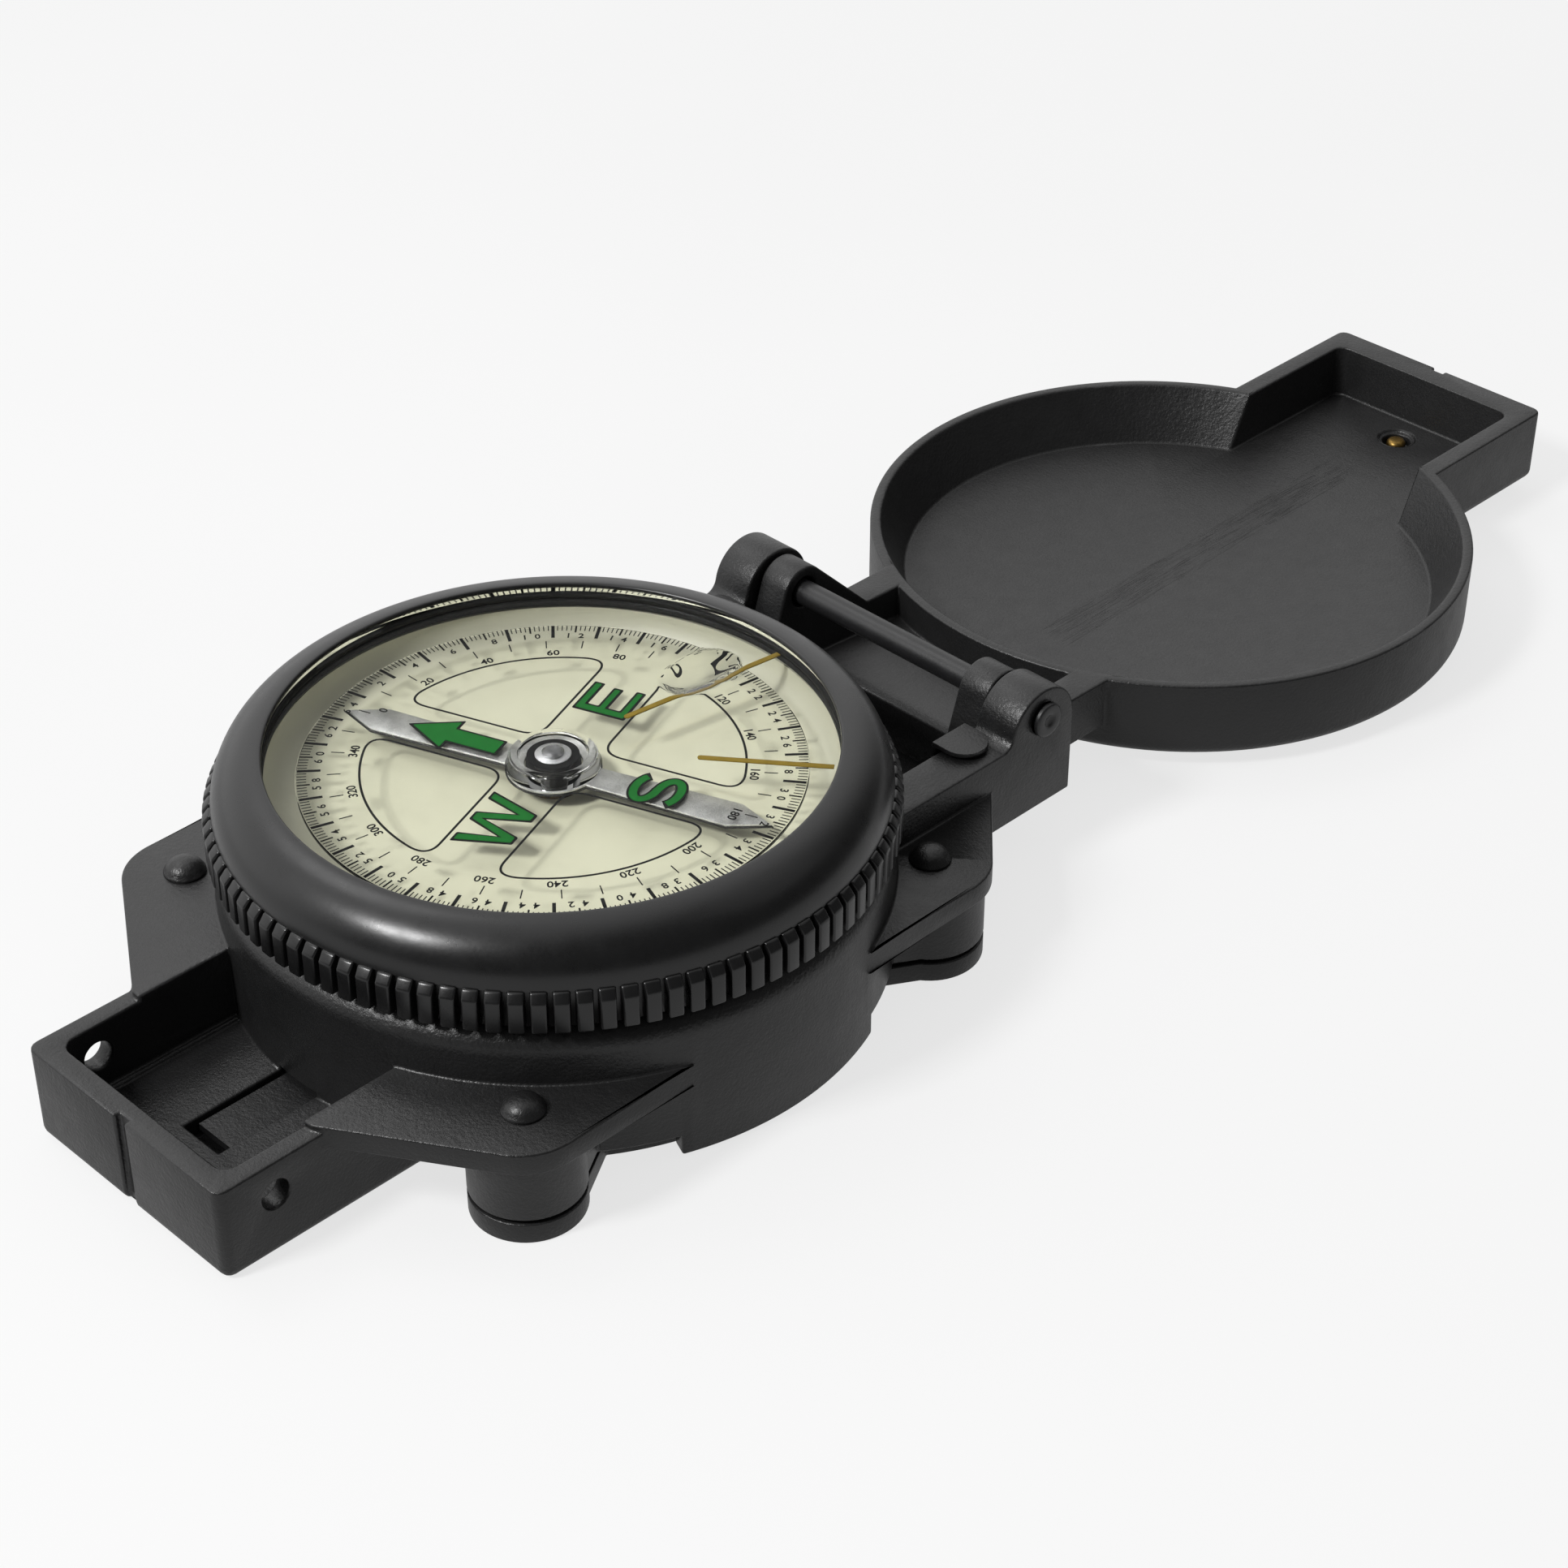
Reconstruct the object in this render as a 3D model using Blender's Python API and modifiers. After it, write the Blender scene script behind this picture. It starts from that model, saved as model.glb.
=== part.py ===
"""Folding magnetic compass with a turning bezel, modelled open on a table.

Units are metres. X runs along the hinge pin, Y from the sighting box to the lid and Z up. The origin lies
on the dial's axis, in the plane that the compass stands on. The lid is laid open, as it is carried in use
on a map, and it closes by half a turn about the hinge pin.
"""
import math

import bmesh
import bpy
from mathutils import Matrix, Vector

MM = 0.001

# Clearances
GAP = 0.30 * MM                   # between neighbours that move or are cut to fit
LAYER_GAP = 0.10 * MM             # between thin layers that lie on each other
OVERSHOOT = 1.0 * MM              # how far a cutter runs past the face that it opens
FACETS = 56                       # flat sides of a large turned surface
INNER_FACETS = 40                 # flat sides of a turned piece inside the case
SMALL_FACETS = 16                 # flat sides of a pin, post or hole

# Case bowl
BOWL_RADIUS = 26.6 * MM
BOWL_WALL = 1.6 * MM
SKIRT_BOTTOM = 0.30 * MM
SHOULDER_TOP = 13.45 * MM
SHOULDER_ROUND = 1.4 * MM
DECK_RISE = 1.65 * MM             # dial deck above the shoulder
DECK_THICKNESS = 1.6 * MM
CAVITY_LEAN_DROP = 2.85 * MM      # how far under the shoulder the cavity's wall starts to lean in
NECK_INSET = 2.6 * MM             # neck inside the bowl's outer face
NECK_WALL = 1.1 * MM
NECK_FOOT_WALL = 1.4 * MM
NECK_CLEARANCE = 0.35 * MM        # between the neck's top and the crystal's retainer

# Ears, foot bosses and rivets
RIVET_ANGLE = math.radians(46.62)
RIVET_OFFSET = 2.665 * MM         # rivet centres outside the bowl
BOSS_RADIUS = 4.43 * MM
EAR_MARGIN = 0.50 * MM            # ear material outside the boss
EAR_TOP = 8.82 * MM
EAR_THICKNESS = 1.95 * MM
FRONT_EAR_ANGLE = math.radians(-57.7)   # direction that the front ear's slanted edge faces
REAR_EAR_ANGLE = math.radians(42.6)     # direction that the rear ear's slanted edge faces
NOTCH_START = math.radians(22.3)        # where the skirt is cut back for the cover's lobes
RIVET_SHANK_RADIUS = 0.80 * MM
RIVET_HEAD_RADIUS = 1.70 * MM
RIVET_HEAD_HEIGHT = 1.05 * MM
RIVET_TAIL_RADIUS = 1.50 * MM
RIVET_TAIL_HEIGHT = 0.45 * MM
RIVET_TAIL_BOTTOM = 0.15 * MM

# Bottom cover
COVER_THICKNESS = 1.8 * MM
LOBE_FLARE = math.radians(11.0)
TAIL_PAST_PIN = 0.35 * MM

# Sighting box in front of the bowl
BOX_HALF_WIDTH = 11.55 * MM
BOX_REACH = 15.4 * MM             # box in front of the bowl
BOX_STEP = 0.53 * MM              # box's top below the ears' top
BOX_SIDE_WALL = 1.70 * MM
BOX_FRONT_WALL = 1.90 * MM
BOX_FLOOR = 2.40 * MM
BOX_ROUND = 0.90 * MM
BOX_CORNER_ROUND = 1.20 * MM      # inside corners of both boxes
EYEPIECE_HOLE_RADIUS = 1.20 * MM
EYEPIECE_HOLE_INSET = 4.9 * MM
EYEPIECE_HOLE_RISE = 3.0 * MM     # above the box's floor
SIGHT_GROOVE_WIDTH = 1.20 * MM
SIGHT_GROOVE_DEPTH = 0.55 * MM

# Hinge
PIN_OFFSET = 10.95 * MM           # pin behind the bowl
PIN_Z = 13.20 * MM
PIN_RADIUS = 1.10 * MM
PIN_HEAD_RADIUS = 1.50 * MM
PIN_HEAD_HEIGHT = 0.45 * MM
PIN_DIMPLE_RADIUS = 0.70 * MM
PIN_DIMPLE_DEPTH = 0.25 * MM
ARM_RIVET_SPACE = 2.65 * MM       # from a rivet's centre to the arm's outer face
ARM_THICKNESS = 4.05 * MM
ARM_TOP_DROP = 1.30 * MM          # arm's flat top below the pin
ARM_BOTTOM = 4.50 * MM
ARM_KNUCKLE_RADIUS = 3.70 * MM
ARM_KNUCKLE_DROP = 1.05 * MM      # centre of the arm's round top below the pin
ARM_FILLET = 1.20 * MM

# Lid
LID_SET_BACK = 0.09 * MM          # tray's centre behind the bezel's mirror image
LID_OVERHANG = 0.55 * MM          # tray's rim outside the knurled band
LID_CLEARANCE = 0.51 * MM         # rim above the knurled band when the lid is shut
LID_DEPTH = 7.29 * MM
LID_FLOOR_THICKNESS = 2.0 * MM
LID_RIM_WIDTH = 0.93 * MM
LID_FLOOR_INSET = 3.2 * MM        # floor's edge inside the outer wall
LID_EDGE_ROUND = 1.2 * MM
LID_BOX_MARGIN = 0.50 * MM        # lid's box wider than the sighting box, on each side
LID_BOX_SIDE_WALL = 1.95 * MM
LID_BOX_OVERHANG = 0.24 * MM      # lid's box past the sighting box when shut
LID_BOX_END_WALL = 2.85 * MM
LID_BOX_ROUND = 0.90 * MM
LID_ARM_THICKNESS = 3.04 * MM
LID_KNUCKLE_RADIUS = 2.40 * MM
LID_ARM_TOE_REACH = 4.80 * MM     # toe in front of the pin
LID_ARM_TOE_DROP = 7.0 * MM       # toe below the pin
LID_ARM_HEEL_REACH = 1.25 * MM    # heel in front of the pin
LID_ARM_FOOT = 2.6 * MM           # arm's underside above the lid's
LID_RAMP_LENGTH = 8.05 * MM
LID_WEB_SET_BACK = 0.85 * MM      # web's front behind the pin
LID_WEB_DROP = 2.39 * MM          # web's top below the rim
LID_WEB_FALL = 1.0 * MM
LID_WEB_CHAMFER = 0.8 * MM
LID_NOTCH_WIDTH = 1.2 * MM
LID_NOTCH_DEPTH = 0.5 * MM
STUD_INSET = 6.34 * MM            # stud's centre before the box's end
STUD_RADIUS = 0.95 * MM
STUD_HEIGHT = 1.0 * MM
STUD_HOLE_RADIUS = 1.35 * MM
STUD_HOLE_DEPTH = 1.2 * MM
STUD_RING_RADIUS = 1.8 * MM
STUD_RING_DEPTH = 0.25 * MM

# Bezel
KNURL_OVERHANG = 0.40 * MM        # knurled band outside the bowl
BEZEL_LIFT = 0.31 * MM            # band's underside above the shoulder
KNURL_FACE_HEIGHT = 2.74 * MM
TOOTH_COUNT = 102
TOOTH_DEPTH = 0.85 * MM
TOOTH_CHAMFER_HEIGHT = 0.70 * MM
TOOTH_CHAMFER_WIDTH = 0.55 * MM
TOOTH_ROOT_SHARE = 0.39           # half a tooth's width at its root, as a share of the pitch
TOOTH_TIP_SHARE = 0.31            # half a tooth's width at its tip, as a share of the pitch
BAND_OVERLAP = 0.50 * MM          # how far the band's ring reaches inside the teeth's roots
DOME_INSET = 0.70 * MM            # dome's edge inside the knurled band
DOME_DIP = 0.05 * MM              # dome's edge below the top of the teeth
DOME_HEIGHT = 4.0 * MM
LIP_REACH = 1.9 * MM              # lip over the crystal inside the neck's outer face
DOME_POINTS = 6
LIP_THICKNESS = 0.35 * MM
SNAP_GROOVE_RISE = 1.54 * MM      # groove above the band's underside
SNAP_RING_HEIGHT = 0.6 * MM
SNAP_RING_BITE = 0.28 * MM        # ring inside the neck's outer face
SNAP_RING_WIDTH = 0.90 * MM
SNAP_RING_OPENING = math.radians(14.0)
CLICK_SPRING_OFFSET = 0.65 * MM   # spring outside the neck
CLICK_SPRING_WIDTH = 0.30 * MM
CLICK_SPRING_HEIGHT = 0.55 * MM
CLICK_SPRING_SPAN = math.radians(30.0)

# Crystal and what holds it
CRYSTAL_LAP = 0.75 * MM           # crystal under the bezel's lip
SEAT_CLEARANCE = 0.25 * MM
CRYSTAL_THICKNESS = 1.0 * MM
MAGNIFIER_X = 1.1 * MM
MAGNIFIER_Y = 14.6 * MM
MAGNIFIER_HALF_WIDTH = 2.2 * MM
MAGNIFIER_HALF_LENGTH = 3.7 * MM
MAGNIFIER_HEIGHT = 0.30 * MM
GASKET_THICKNESS = 0.40 * MM
RETAINER_THICKNESS = 0.55 * MM
LINE_WIDTH = 0.45 * MM
LINE_THICKNESS = 0.12 * MM
LINE_END_SPACE = 0.40 * MM
LONG_LINE_ANGLE = math.radians(82.2)
LONG_LINE_START = 6.7 * MM
SHORT_LINE_ANGLE = math.radians(38.0)
SHORT_LINE_START = 11.2 * MM

# Dial liner, pivot and moving card
LINER_THICKNESS = 0.6 * MM
LINER_COVE_WIDTH = 2.4 * MM
LINER_COVE_POINTS = 4
CARD_CLEARANCE = 0.45 * MM        # card inside the liner's flat floor
CARD_DROP = 0.15 * MM             # card's top below the neck's
CARD_THICKNESS = 0.30 * MM
NORTH_ANGLE = math.radians(200.36)      # where the card's north points in the photo
NEEDLE_MARGIN = 1.1 * MM          # needle's tip inside the card's edge
NEEDLE_TIP_LENGTH = 3.25 * MM
NEEDLE_HALF_WIDTH = 1.60 * MM
NEEDLE_WAIST = 1.35 * MM
NEEDLE_THICKNESS = 0.30 * MM
NEEDLE_EYE_RADIUS = 3.88 * MM
HUB_RADIUS = 3.70 * MM            # clear hub moulded on the card
HUB_HEIGHT = 0.80 * MM            # hub's floor above the card
HUB_RIM_HEIGHT = 0.40 * MM
HUB_RIM_INNER = 2.72 * MM
HUB_GAP = 0.05 * MM               # between the layers in the hub
BUSH_RADIUS = 2.15 * MM
HUB_WASHER_RADIUS = 1.50 * MM
HUB_WASHER_THICKNESS = 0.10 * MM
HUB_BUTTON_RADIUS = 0.87 * MM
HUB_BUTTON_HEIGHT = 0.28 * MM
CUP_RADIUS = 1.50 * MM
CUP_STEM_RADIUS = 1.20 * MM
CUP_BORE_RADIUS = 1.0 * MM
CUP_DROP = 1.0 * MM               # how far the jewel cup reaches below the card's top
POST_RADIUS = 0.80 * MM
POST_CONE_HEIGHT = 0.90 * MM
POST_TIP_RADIUS = 0.12 * MM
PRINT_GAP = 0.03 * MM             # between the card and its raised print
PRINT_THICKNESS = 0.05 * MM
EAST_LETTER_CENTRE = 9.39 * MM
EAST_LETTER_WIDTH = 4.08 * MM
WEST_LETTER_CENTRE = 8.71 * MM
WEST_LETTER_WIDTH = 6.92 * MM
SOUTH_LETTER_CENTRE = 8.93 * MM
SOUTH_LETTER_WIDTH = 4.2 * MM
LETTER_HEIGHT = 4.6 * MM
LETTER_STROKE = 0.95 * MM
ARROW_TIP = 12.83 * MM
ARROW_HEAD_LENGTH = 3.97 * MM
ARROW_HEAD_HALF_WIDTH = 2.17 * MM
ARROW_SHAFT_HALF_WIDTH = 1.03 * MM
ARROW_BASE = 4.55 * MM

# Needle lock
SLOT_HALF_WIDTH = 2.15 * MM
SLOT_INSET = 6.5 * MM             # slot's front end behind the box's front
SLOT_FLOOR = 0.60 * MM
SLOT_ROOF = 2.65 * MM
LEVER_HALF_WIDTH = 1.90 * MM
LEVER_TIP_SPACE = 1.2 * MM
LEVER_THICKNESS = 0.60 * MM
LEVER_FRONT_BOTTOM = 1.40 * MM
LEVER_REAR_BOTTOM = 4.10 * MM
LEVER_JOG_INSET = 0.80 * MM       # jog inside the bowl's inner face
LEVER_JOG_LENGTH = 3.0 * MM
LEVER_END = 2.6 * MM
FORK_HALF_WIDTH = 1.15 * MM
FORK_START = -3.2 * MM
LEVER_PIVOT_SET_BACK = 3.7 * MM   # pivot behind the jog
LEVER_PIVOT_Z = 3.30 * MM
LEVER_PIN_RADIUS = 0.50 * MM
LEVER_PIN_HALF_LENGTH = 3.6 * MM
LEVER_EYE_RADIUS = 1.15 * MM
LUG_THICKNESS = 1.0 * MM
LUG_LENGTH = 2.6 * MM
LUG_TOP = 4.5 * MM
LIFTER_RADIUS = 1.85 * MM
LIFTER_BORE_RADIUS = 1.15 * MM
LIFTER_COLLAR_RADIUS = 2.90 * MM
LIFTER_COLLAR_HEIGHT = 0.60 * MM
LOCK_TRAVEL = 0.65 * MM           # how far the lever lifts the sleeve
COVER_BOSS_RADIUS = 2.40 * MM
COVER_BOSS_TOP = 3.30 * MM
POST_FOOT = 0.80 * MM
SPRING_WIRE_RADIUS = 0.20 * MM
SPRING_RADIUS = 2.40 * MM
SPRING_TURNS = 6
SPRING_POINTS_PER_TURN = 9

# Leaf springs beside the lid's knuckles
LEAF_THICKNESS = 0.40 * MM
LEAF_OFFSET = 2.6 * MM            # spring behind the bowl
LEAF_TAB_WIDTH = 4.0 * MM
LEAF_BLADE_WIDTH = 2.8 * MM
LEAF_TAB_INSET = 1.0 * MM         # tab's end inside the arm's outer face
LEAF_FOOT_REACH = 2.5 * MM        # foot's end inside the arm's inner face

# Case sizes worked out from the ones above
DECK_TOP = SHOULDER_TOP + DECK_RISE
DECK_BOTTOM = DECK_TOP - DECK_THICKNESS
CAVITY_SHOULDER = SHOULDER_TOP - CAVITY_LEAN_DROP
CAVITY_RADIUS = BOWL_RADIUS - BOWL_WALL
NECK_RADIUS = BOWL_RADIUS - NECK_INSET
CAVITY_TOP_RADIUS = NECK_RADIUS - NECK_FOOT_WALL
RECESS_RADIUS = NECK_RADIUS - NECK_WALL
RIVET_X = (BOWL_RADIUS + RIVET_OFFSET) * math.cos(RIVET_ANGLE)
RIVET_Y = (BOWL_RADIUS + RIVET_OFFSET) * math.sin(RIVET_ANGLE)
EAR_RADIUS = BOSS_RADIUS + EAR_MARGIN
EAR_BOTTOM = EAR_TOP - EAR_THICKNESS
BOSS_BOTTOM = COVER_THICKNESS + GAP
COVER_RADIUS = CAVITY_RADIUS - GAP
PIN_Y = BOWL_RADIUS + PIN_OFFSET
TAIL_END = PIN_Y + TAIL_PAST_PIN
ARM_OUTER = RIVET_X - ARM_RIVET_SPACE
ARM_INNER = ARM_OUTER - ARM_THICKNESS
ARM_TOP = PIN_Z - ARM_TOP_DROP
BOX_FRONT = -BOWL_RADIUS - BOX_REACH
BOX_TOP = EAR_TOP - BOX_STEP
EYEPIECE_HOLE_Y = BOX_FRONT + EYEPIECE_HOLE_INSET
EYEPIECE_HOLE_Z = BOX_FLOOR + EYEPIECE_HOLE_RISE
LEAF_FRONT = BOWL_RADIUS + LEAF_OFFSET
LEAF_TAB_END = ARM_OUTER - LEAF_TAB_INSET
LEAF_FOOT_INNER = ARM_INNER - LEAF_FOOT_REACH

# Bezel and crystal sizes worked out from the ones above
KNURL_RADIUS = BOWL_RADIUS + KNURL_OVERHANG
KNURL_BOTTOM = SHOULDER_TOP + BEZEL_LIFT
KNURL_FACE_TOP = KNURL_BOTTOM + KNURL_FACE_HEIGHT
KNURL_TOP = KNURL_FACE_TOP + TOOTH_CHAMFER_HEIGHT
BAND_ROOT = KNURL_RADIUS - TOOTH_DEPTH - BAND_OVERLAP
DOME_RADIUS = KNURL_RADIUS - DOME_INSET
DOME_BASE = KNURL_TOP - DOME_DIP
DOME_TOP = DOME_BASE + DOME_HEIGHT
OPENING_RADIUS = NECK_RADIUS - LIP_REACH
BORE_RADIUS = NECK_RADIUS + GAP
SNAP_GROOVE_BOTTOM = KNURL_BOTTOM + SNAP_GROOVE_RISE
SNAP_RING_INNER = NECK_RADIUS - SNAP_RING_BITE
SNAP_RING_OUTER = SNAP_RING_INNER + SNAP_RING_WIDTH
CLICK_SPRING_RADIUS = NECK_RADIUS + CLICK_SPRING_OFFSET
CRYSTAL_RADIUS = OPENING_RADIUS + CRYSTAL_LAP
SEAT_RADIUS = CRYSTAL_RADIUS + SEAT_CLEARANCE
CRYSTAL_TOP = DOME_TOP - LIP_THICKNESS - LAYER_GAP
CRYSTAL_BOTTOM = CRYSTAL_TOP - CRYSTAL_THICKNESS
GASKET_TOP = CRYSTAL_BOTTOM - LAYER_GAP
RETAINER_TOP = GASKET_TOP - GASKET_THICKNESS - LAYER_GAP
RETAINER_BOTTOM = RETAINER_TOP - RETAINER_THICKNESS
NECK_TOP = RETAINER_BOTTOM - NECK_CLEARANCE
LINE_OUTER_RADIUS = OPENING_RADIUS - LINE_END_SPACE

# Lid sizes worked out from the ones above
LID_CENTRE_Y = 2.0 * PIN_Y + LID_SET_BACK
LID_RADIUS = KNURL_RADIUS + LID_OVERHANG
LID_RIM = 2.0 * PIN_Z - KNURL_TOP - LID_CLEARANCE
LID_BOTTOM = LID_RIM - LID_DEPTH
LID_FLOOR = LID_BOTTOM + LID_FLOOR_THICKNESS
LID_FLOOR_RADIUS = LID_RADIUS - LID_FLOOR_INSET
LID_BOX_HALF_WIDTH = BOX_HALF_WIDTH + LID_BOX_MARGIN
LID_BOX_END = 2.0 * PIN_Y - BOX_FRONT + LID_BOX_OVERHANG
LID_ARM_OUTER = ARM_INNER - GAP
LID_ARM_INNER = LID_ARM_OUTER - LID_ARM_THICKNESS
LID_ARM_BOTTOM = LID_BOTTOM + LID_ARM_FOOT
LID_WEB_FRONT = PIN_Y + LID_WEB_SET_BACK
LID_WEB_TOP = LID_RIM - LID_WEB_DROP
STUD_Y = LID_BOX_END - STUD_INSET

# Dial and needle lock sizes worked out from the ones above
LINER_BOTTOM = DECK_TOP + GAP
LINER_FLOOR = LINER_BOTTOM + LINER_THICKNESS
LINER_RADIUS = RECESS_RADIUS - GAP
LINER_FLAT_RADIUS = LINER_RADIUS - LINER_COVE_WIDTH
CARD_RADIUS = LINER_FLAT_RADIUS - CARD_CLEARANCE
CARD_TOP = NECK_TOP - CARD_DROP
CARD_BOTTOM = CARD_TOP - CARD_THICKNESS
PRINT_BOTTOM = CARD_TOP + PRINT_GAP
NEEDLE_TOP = CARD_BOTTOM - LAYER_GAP
NEEDLE_BOTTOM = NEEDLE_TOP - NEEDLE_THICKNESS
NEEDLE_HALF_LENGTH = CARD_RADIUS - NEEDLE_MARGIN
NEEDLE_SHOULDER = NEEDLE_HALF_LENGTH - NEEDLE_TIP_LENGTH
HUB_FLOOR = CARD_TOP + HUB_HEIGHT
WASHER_TOP = HUB_FLOOR + HUB_GAP + HUB_WASHER_THICKNESS
CUP_BOTTOM = CARD_TOP - CUP_DROP
SLOT_END = BOX_FRONT + SLOT_INSET
LEVER_TIP = SLOT_END + LEVER_TIP_SPACE
LEVER_JOG_START = LEVER_JOG_INSET - CAVITY_RADIUS
LEVER_JOG_END = LEVER_JOG_START + LEVER_JOG_LENGTH
LEVER_PIVOT_Y = LEVER_JOG_END + LEVER_PIVOT_SET_BACK
LIFTER_HOLE_RADIUS = LIFTER_RADIUS + GAP
LIFTER_BOTTOM = LEVER_REAR_BOTTOM + LEVER_THICKNESS + GAP
LIFTER_TOP = CUP_BOTTOM - LOCK_TRAVEL - LAYER_GAP
SPRING_BOTTOM = LIFTER_BOTTOM + LIFTER_COLLAR_HEIGHT + GAP + SPRING_WIRE_RADIUS
SPRING_TOP = DECK_BOTTOM - GAP - SPRING_WIRE_RADIUS

# Colours and surface values
FINISHES = {
    "cast_black": ((0.022, 0.022, 0.024), 0.55, 0.0),
    "bezel_black": ((0.018, 0.018, 0.020), 0.38, 0.0),
    "gasket_black": ((0.010, 0.010, 0.010), 0.70, 0.0),
    "clear_glass": ((0.85, 0.90, 0.88), 0.02, 0.0),
    "clear_plastic": ((0.90, 0.92, 0.90), 0.05, 0.0),
    "liner_cream": ((0.80, 0.79, 0.66), 0.50, 0.0),
    "bright_steel": ((0.70, 0.70, 0.72), 0.25, 1.0),
    "magnet_silver": ((0.55, 0.55, 0.57), 0.45, 1.0),
    "spring_steel": ((0.50, 0.50, 0.52), 0.30, 1.0),
    "blackened_steel": ((0.030, 0.030, 0.032), 0.45, 0.6),
    "brass": ((0.60, 0.42, 0.16), 0.35, 1.0),
    "line_gold": ((0.45, 0.34, 0.06), 0.45, 0.0),
    "signal_green": ((0.02, 0.22, 0.04), 0.45, 0.0),
}


def clear_scene():
    """Remove what the file opens with."""
    for old in list(bpy.data.objects):
        bpy.data.objects.remove(old, do_unlink=True)


def new_collection(name):
    """Make a collection under the scene's own."""
    collection = bpy.data.collections.new(name)
    bpy.context.scene.collection.children.link(collection)
    return collection


def finish(name):
    """Return the material of that name, made the first time it is asked for."""
    found = bpy.data.materials.get(name)
    if found:
        return found
    colour, roughness, metallic = FINISHES[name]
    material = bpy.data.materials.new(name)
    material.use_nodes = True
    shader = material.node_tree.nodes["Principled BSDF"]
    shader.inputs["Base Color"].default_value = (*colour, 1.0)
    shader.inputs["Roughness"].default_value = roughness
    shader.inputs["Metallic"].default_value = metallic
    if name.startswith("clear"):
        shader.inputs["Transmission Weight"].default_value = 1.0
    return material


def add_object(name, data):
    """Put new mesh or curve data in the parts collection."""
    made = bpy.data.objects.new(name, data)
    PARTS.objects.link(made)
    return made


def take_primitive(name, smooth=False):
    """Name the primitive that an operator has just added, and bake its scale and turn into its mesh."""
    made = bpy.context.active_object
    made.name = name
    made.data.name = name
    made.data.transform(made.matrix_basis)
    made.matrix_basis = Matrix.Identity(4)
    for collection in list(made.users_collection):
        collection.objects.unlink(made)
    PARTS.objects.link(made)
    if smooth:
        made.data.shade_smooth()
    return made


def block(name, low, high, rounding=0.0, segments=2):
    """Make a box between two corners, with its edges rounded if a rounding is given."""
    low = Vector(low)
    high = Vector(high)
    bpy.ops.mesh.primitive_cube_add(size=1.0)
    made = take_primitive(name)
    made.data.transform(Matrix.Diagonal((*(high - low), 1.0)))
    made.data.transform(Matrix.Translation((low + high) / 2.0))
    if rounding:
        bevel = made.modifiers.new("rounded edges", "BEVEL")
        bevel.width = rounding
        bevel.segments = segments
        bevel.limit_method = "ANGLE"
    return made


def rod(name, start, end, radius, sides=SMALL_FACETS):
    """Make a cylinder between two points."""
    start = Vector(start)
    end = Vector(end)
    bpy.ops.mesh.primitive_cylinder_add(vertices=sides, radius=radius, depth=(end - start).length)
    made = take_primitive(name)
    turn = (end - start).to_track_quat("Z", "X").to_matrix().to_4x4()
    made.data.transform(Matrix.Translation((start + end) / 2.0) @ turn)
    return made


def turned(name, profile, steps=FACETS, centre=(0.0, 0.0), closed=True):
    """Turn a profile of (radius, height) points about a vertical axis through centre.

    The points run down the outer side. A closed profile makes a ring, an open one starts and ends on the
    axis.
    """
    mesh = bpy.data.meshes.new(name)
    edges = [(i, i + 1) for i in range(len(profile) - 1)]
    if closed:
        edges.append((len(profile) - 1, 0))
    mesh.from_pydata([(radius, 0.0, height) for radius, height in profile], edges, [])
    made = add_object(name, mesh)
    made.location = (centre[0], centre[1], 0.0)
    screw = made.modifiers.new("turn", "SCREW")
    screw.axis = "Z"
    screw.angle = math.tau
    screw.steps = steps
    screw.render_steps = steps
    screw.use_merge_vertices = True
    screw.merge_threshold = 0.00001
    screw.use_smooth_shade = True
    return made


def arc(centre, radius, start, end, points):
    """List points along an arc, with both of its ends."""
    angles = [start + (end - start) * i / (points - 1) for i in range(points)]
    return [(centre[0] + radius * math.cos(a), centre[1] + radius * math.sin(a)) for a in angles]


def plate(name, outlines, bottom, top):
    """Fill flat outlines in the XY plane and thicken them from bottom to top."""
    curve = bpy.data.curves.new(name, "CURVE")
    curve.dimensions = "2D"
    curve.fill_mode = "BOTH"
    curve.extrude = (top - bottom) / 2.0
    for outline in outlines:
        spline = curve.splines.new("POLY")
        spline.points.add(len(outline) - 1)
        for point, (x, y) in zip(spline.points, outline):
            point.co = (x, y, 0.0, 1.0)
        spline.use_cyclic_u = True
    guide = add_object(name + "_outline", curve)
    guide.location.z = (top + bottom) / 2.0
    return to_mesh(guide, name)


def to_mesh(guide, name):
    """Turn a curve object into a mesh object with welded caps, and remove the curve."""
    bpy.context.view_layer.update()
    evaluated = guide.evaluated_get(bpy.context.evaluated_depsgraph_get())
    mesh = bpy.data.meshes.new_from_object(evaluated)
    welded = bmesh.new()
    welded.from_mesh(mesh)
    bmesh.ops.remove_doubles(welded, verts=welded.verts, dist=0.000002)
    bmesh.ops.recalc_face_normals(welded, faces=welded.faces)
    welded.to_mesh(mesh)
    welded.free()
    made = add_object(name, mesh)
    made.matrix_world = guide.matrix_world
    curve = guide.data
    bpy.data.objects.remove(guide, do_unlink=True)
    bpy.data.curves.remove(curve)
    bake_place(made)
    return made


def bake_place(made):
    """Move an object's place into its mesh, so that its origin is the model's."""
    made.data.transform(made.matrix_basis)
    made.matrix_basis = Matrix.Identity(4)
    made.data.update()


def rounded_rectangle(low, high, radius):
    """Outline a rectangle between two corners, with round corners."""
    corners = ((high[0] - radius, high[1] - radius), (low[0] + radius, high[1] - radius))
    corners += ((low[0] + radius, low[1] + radius), (high[0] - radius, low[1] + radius))
    outline = []
    for index, corner in enumerate(corners):
        start = math.pi / 2.0 * index
        outline += arc(corner, radius, start, start + math.pi / 2.0, 5)
    return outline


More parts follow.
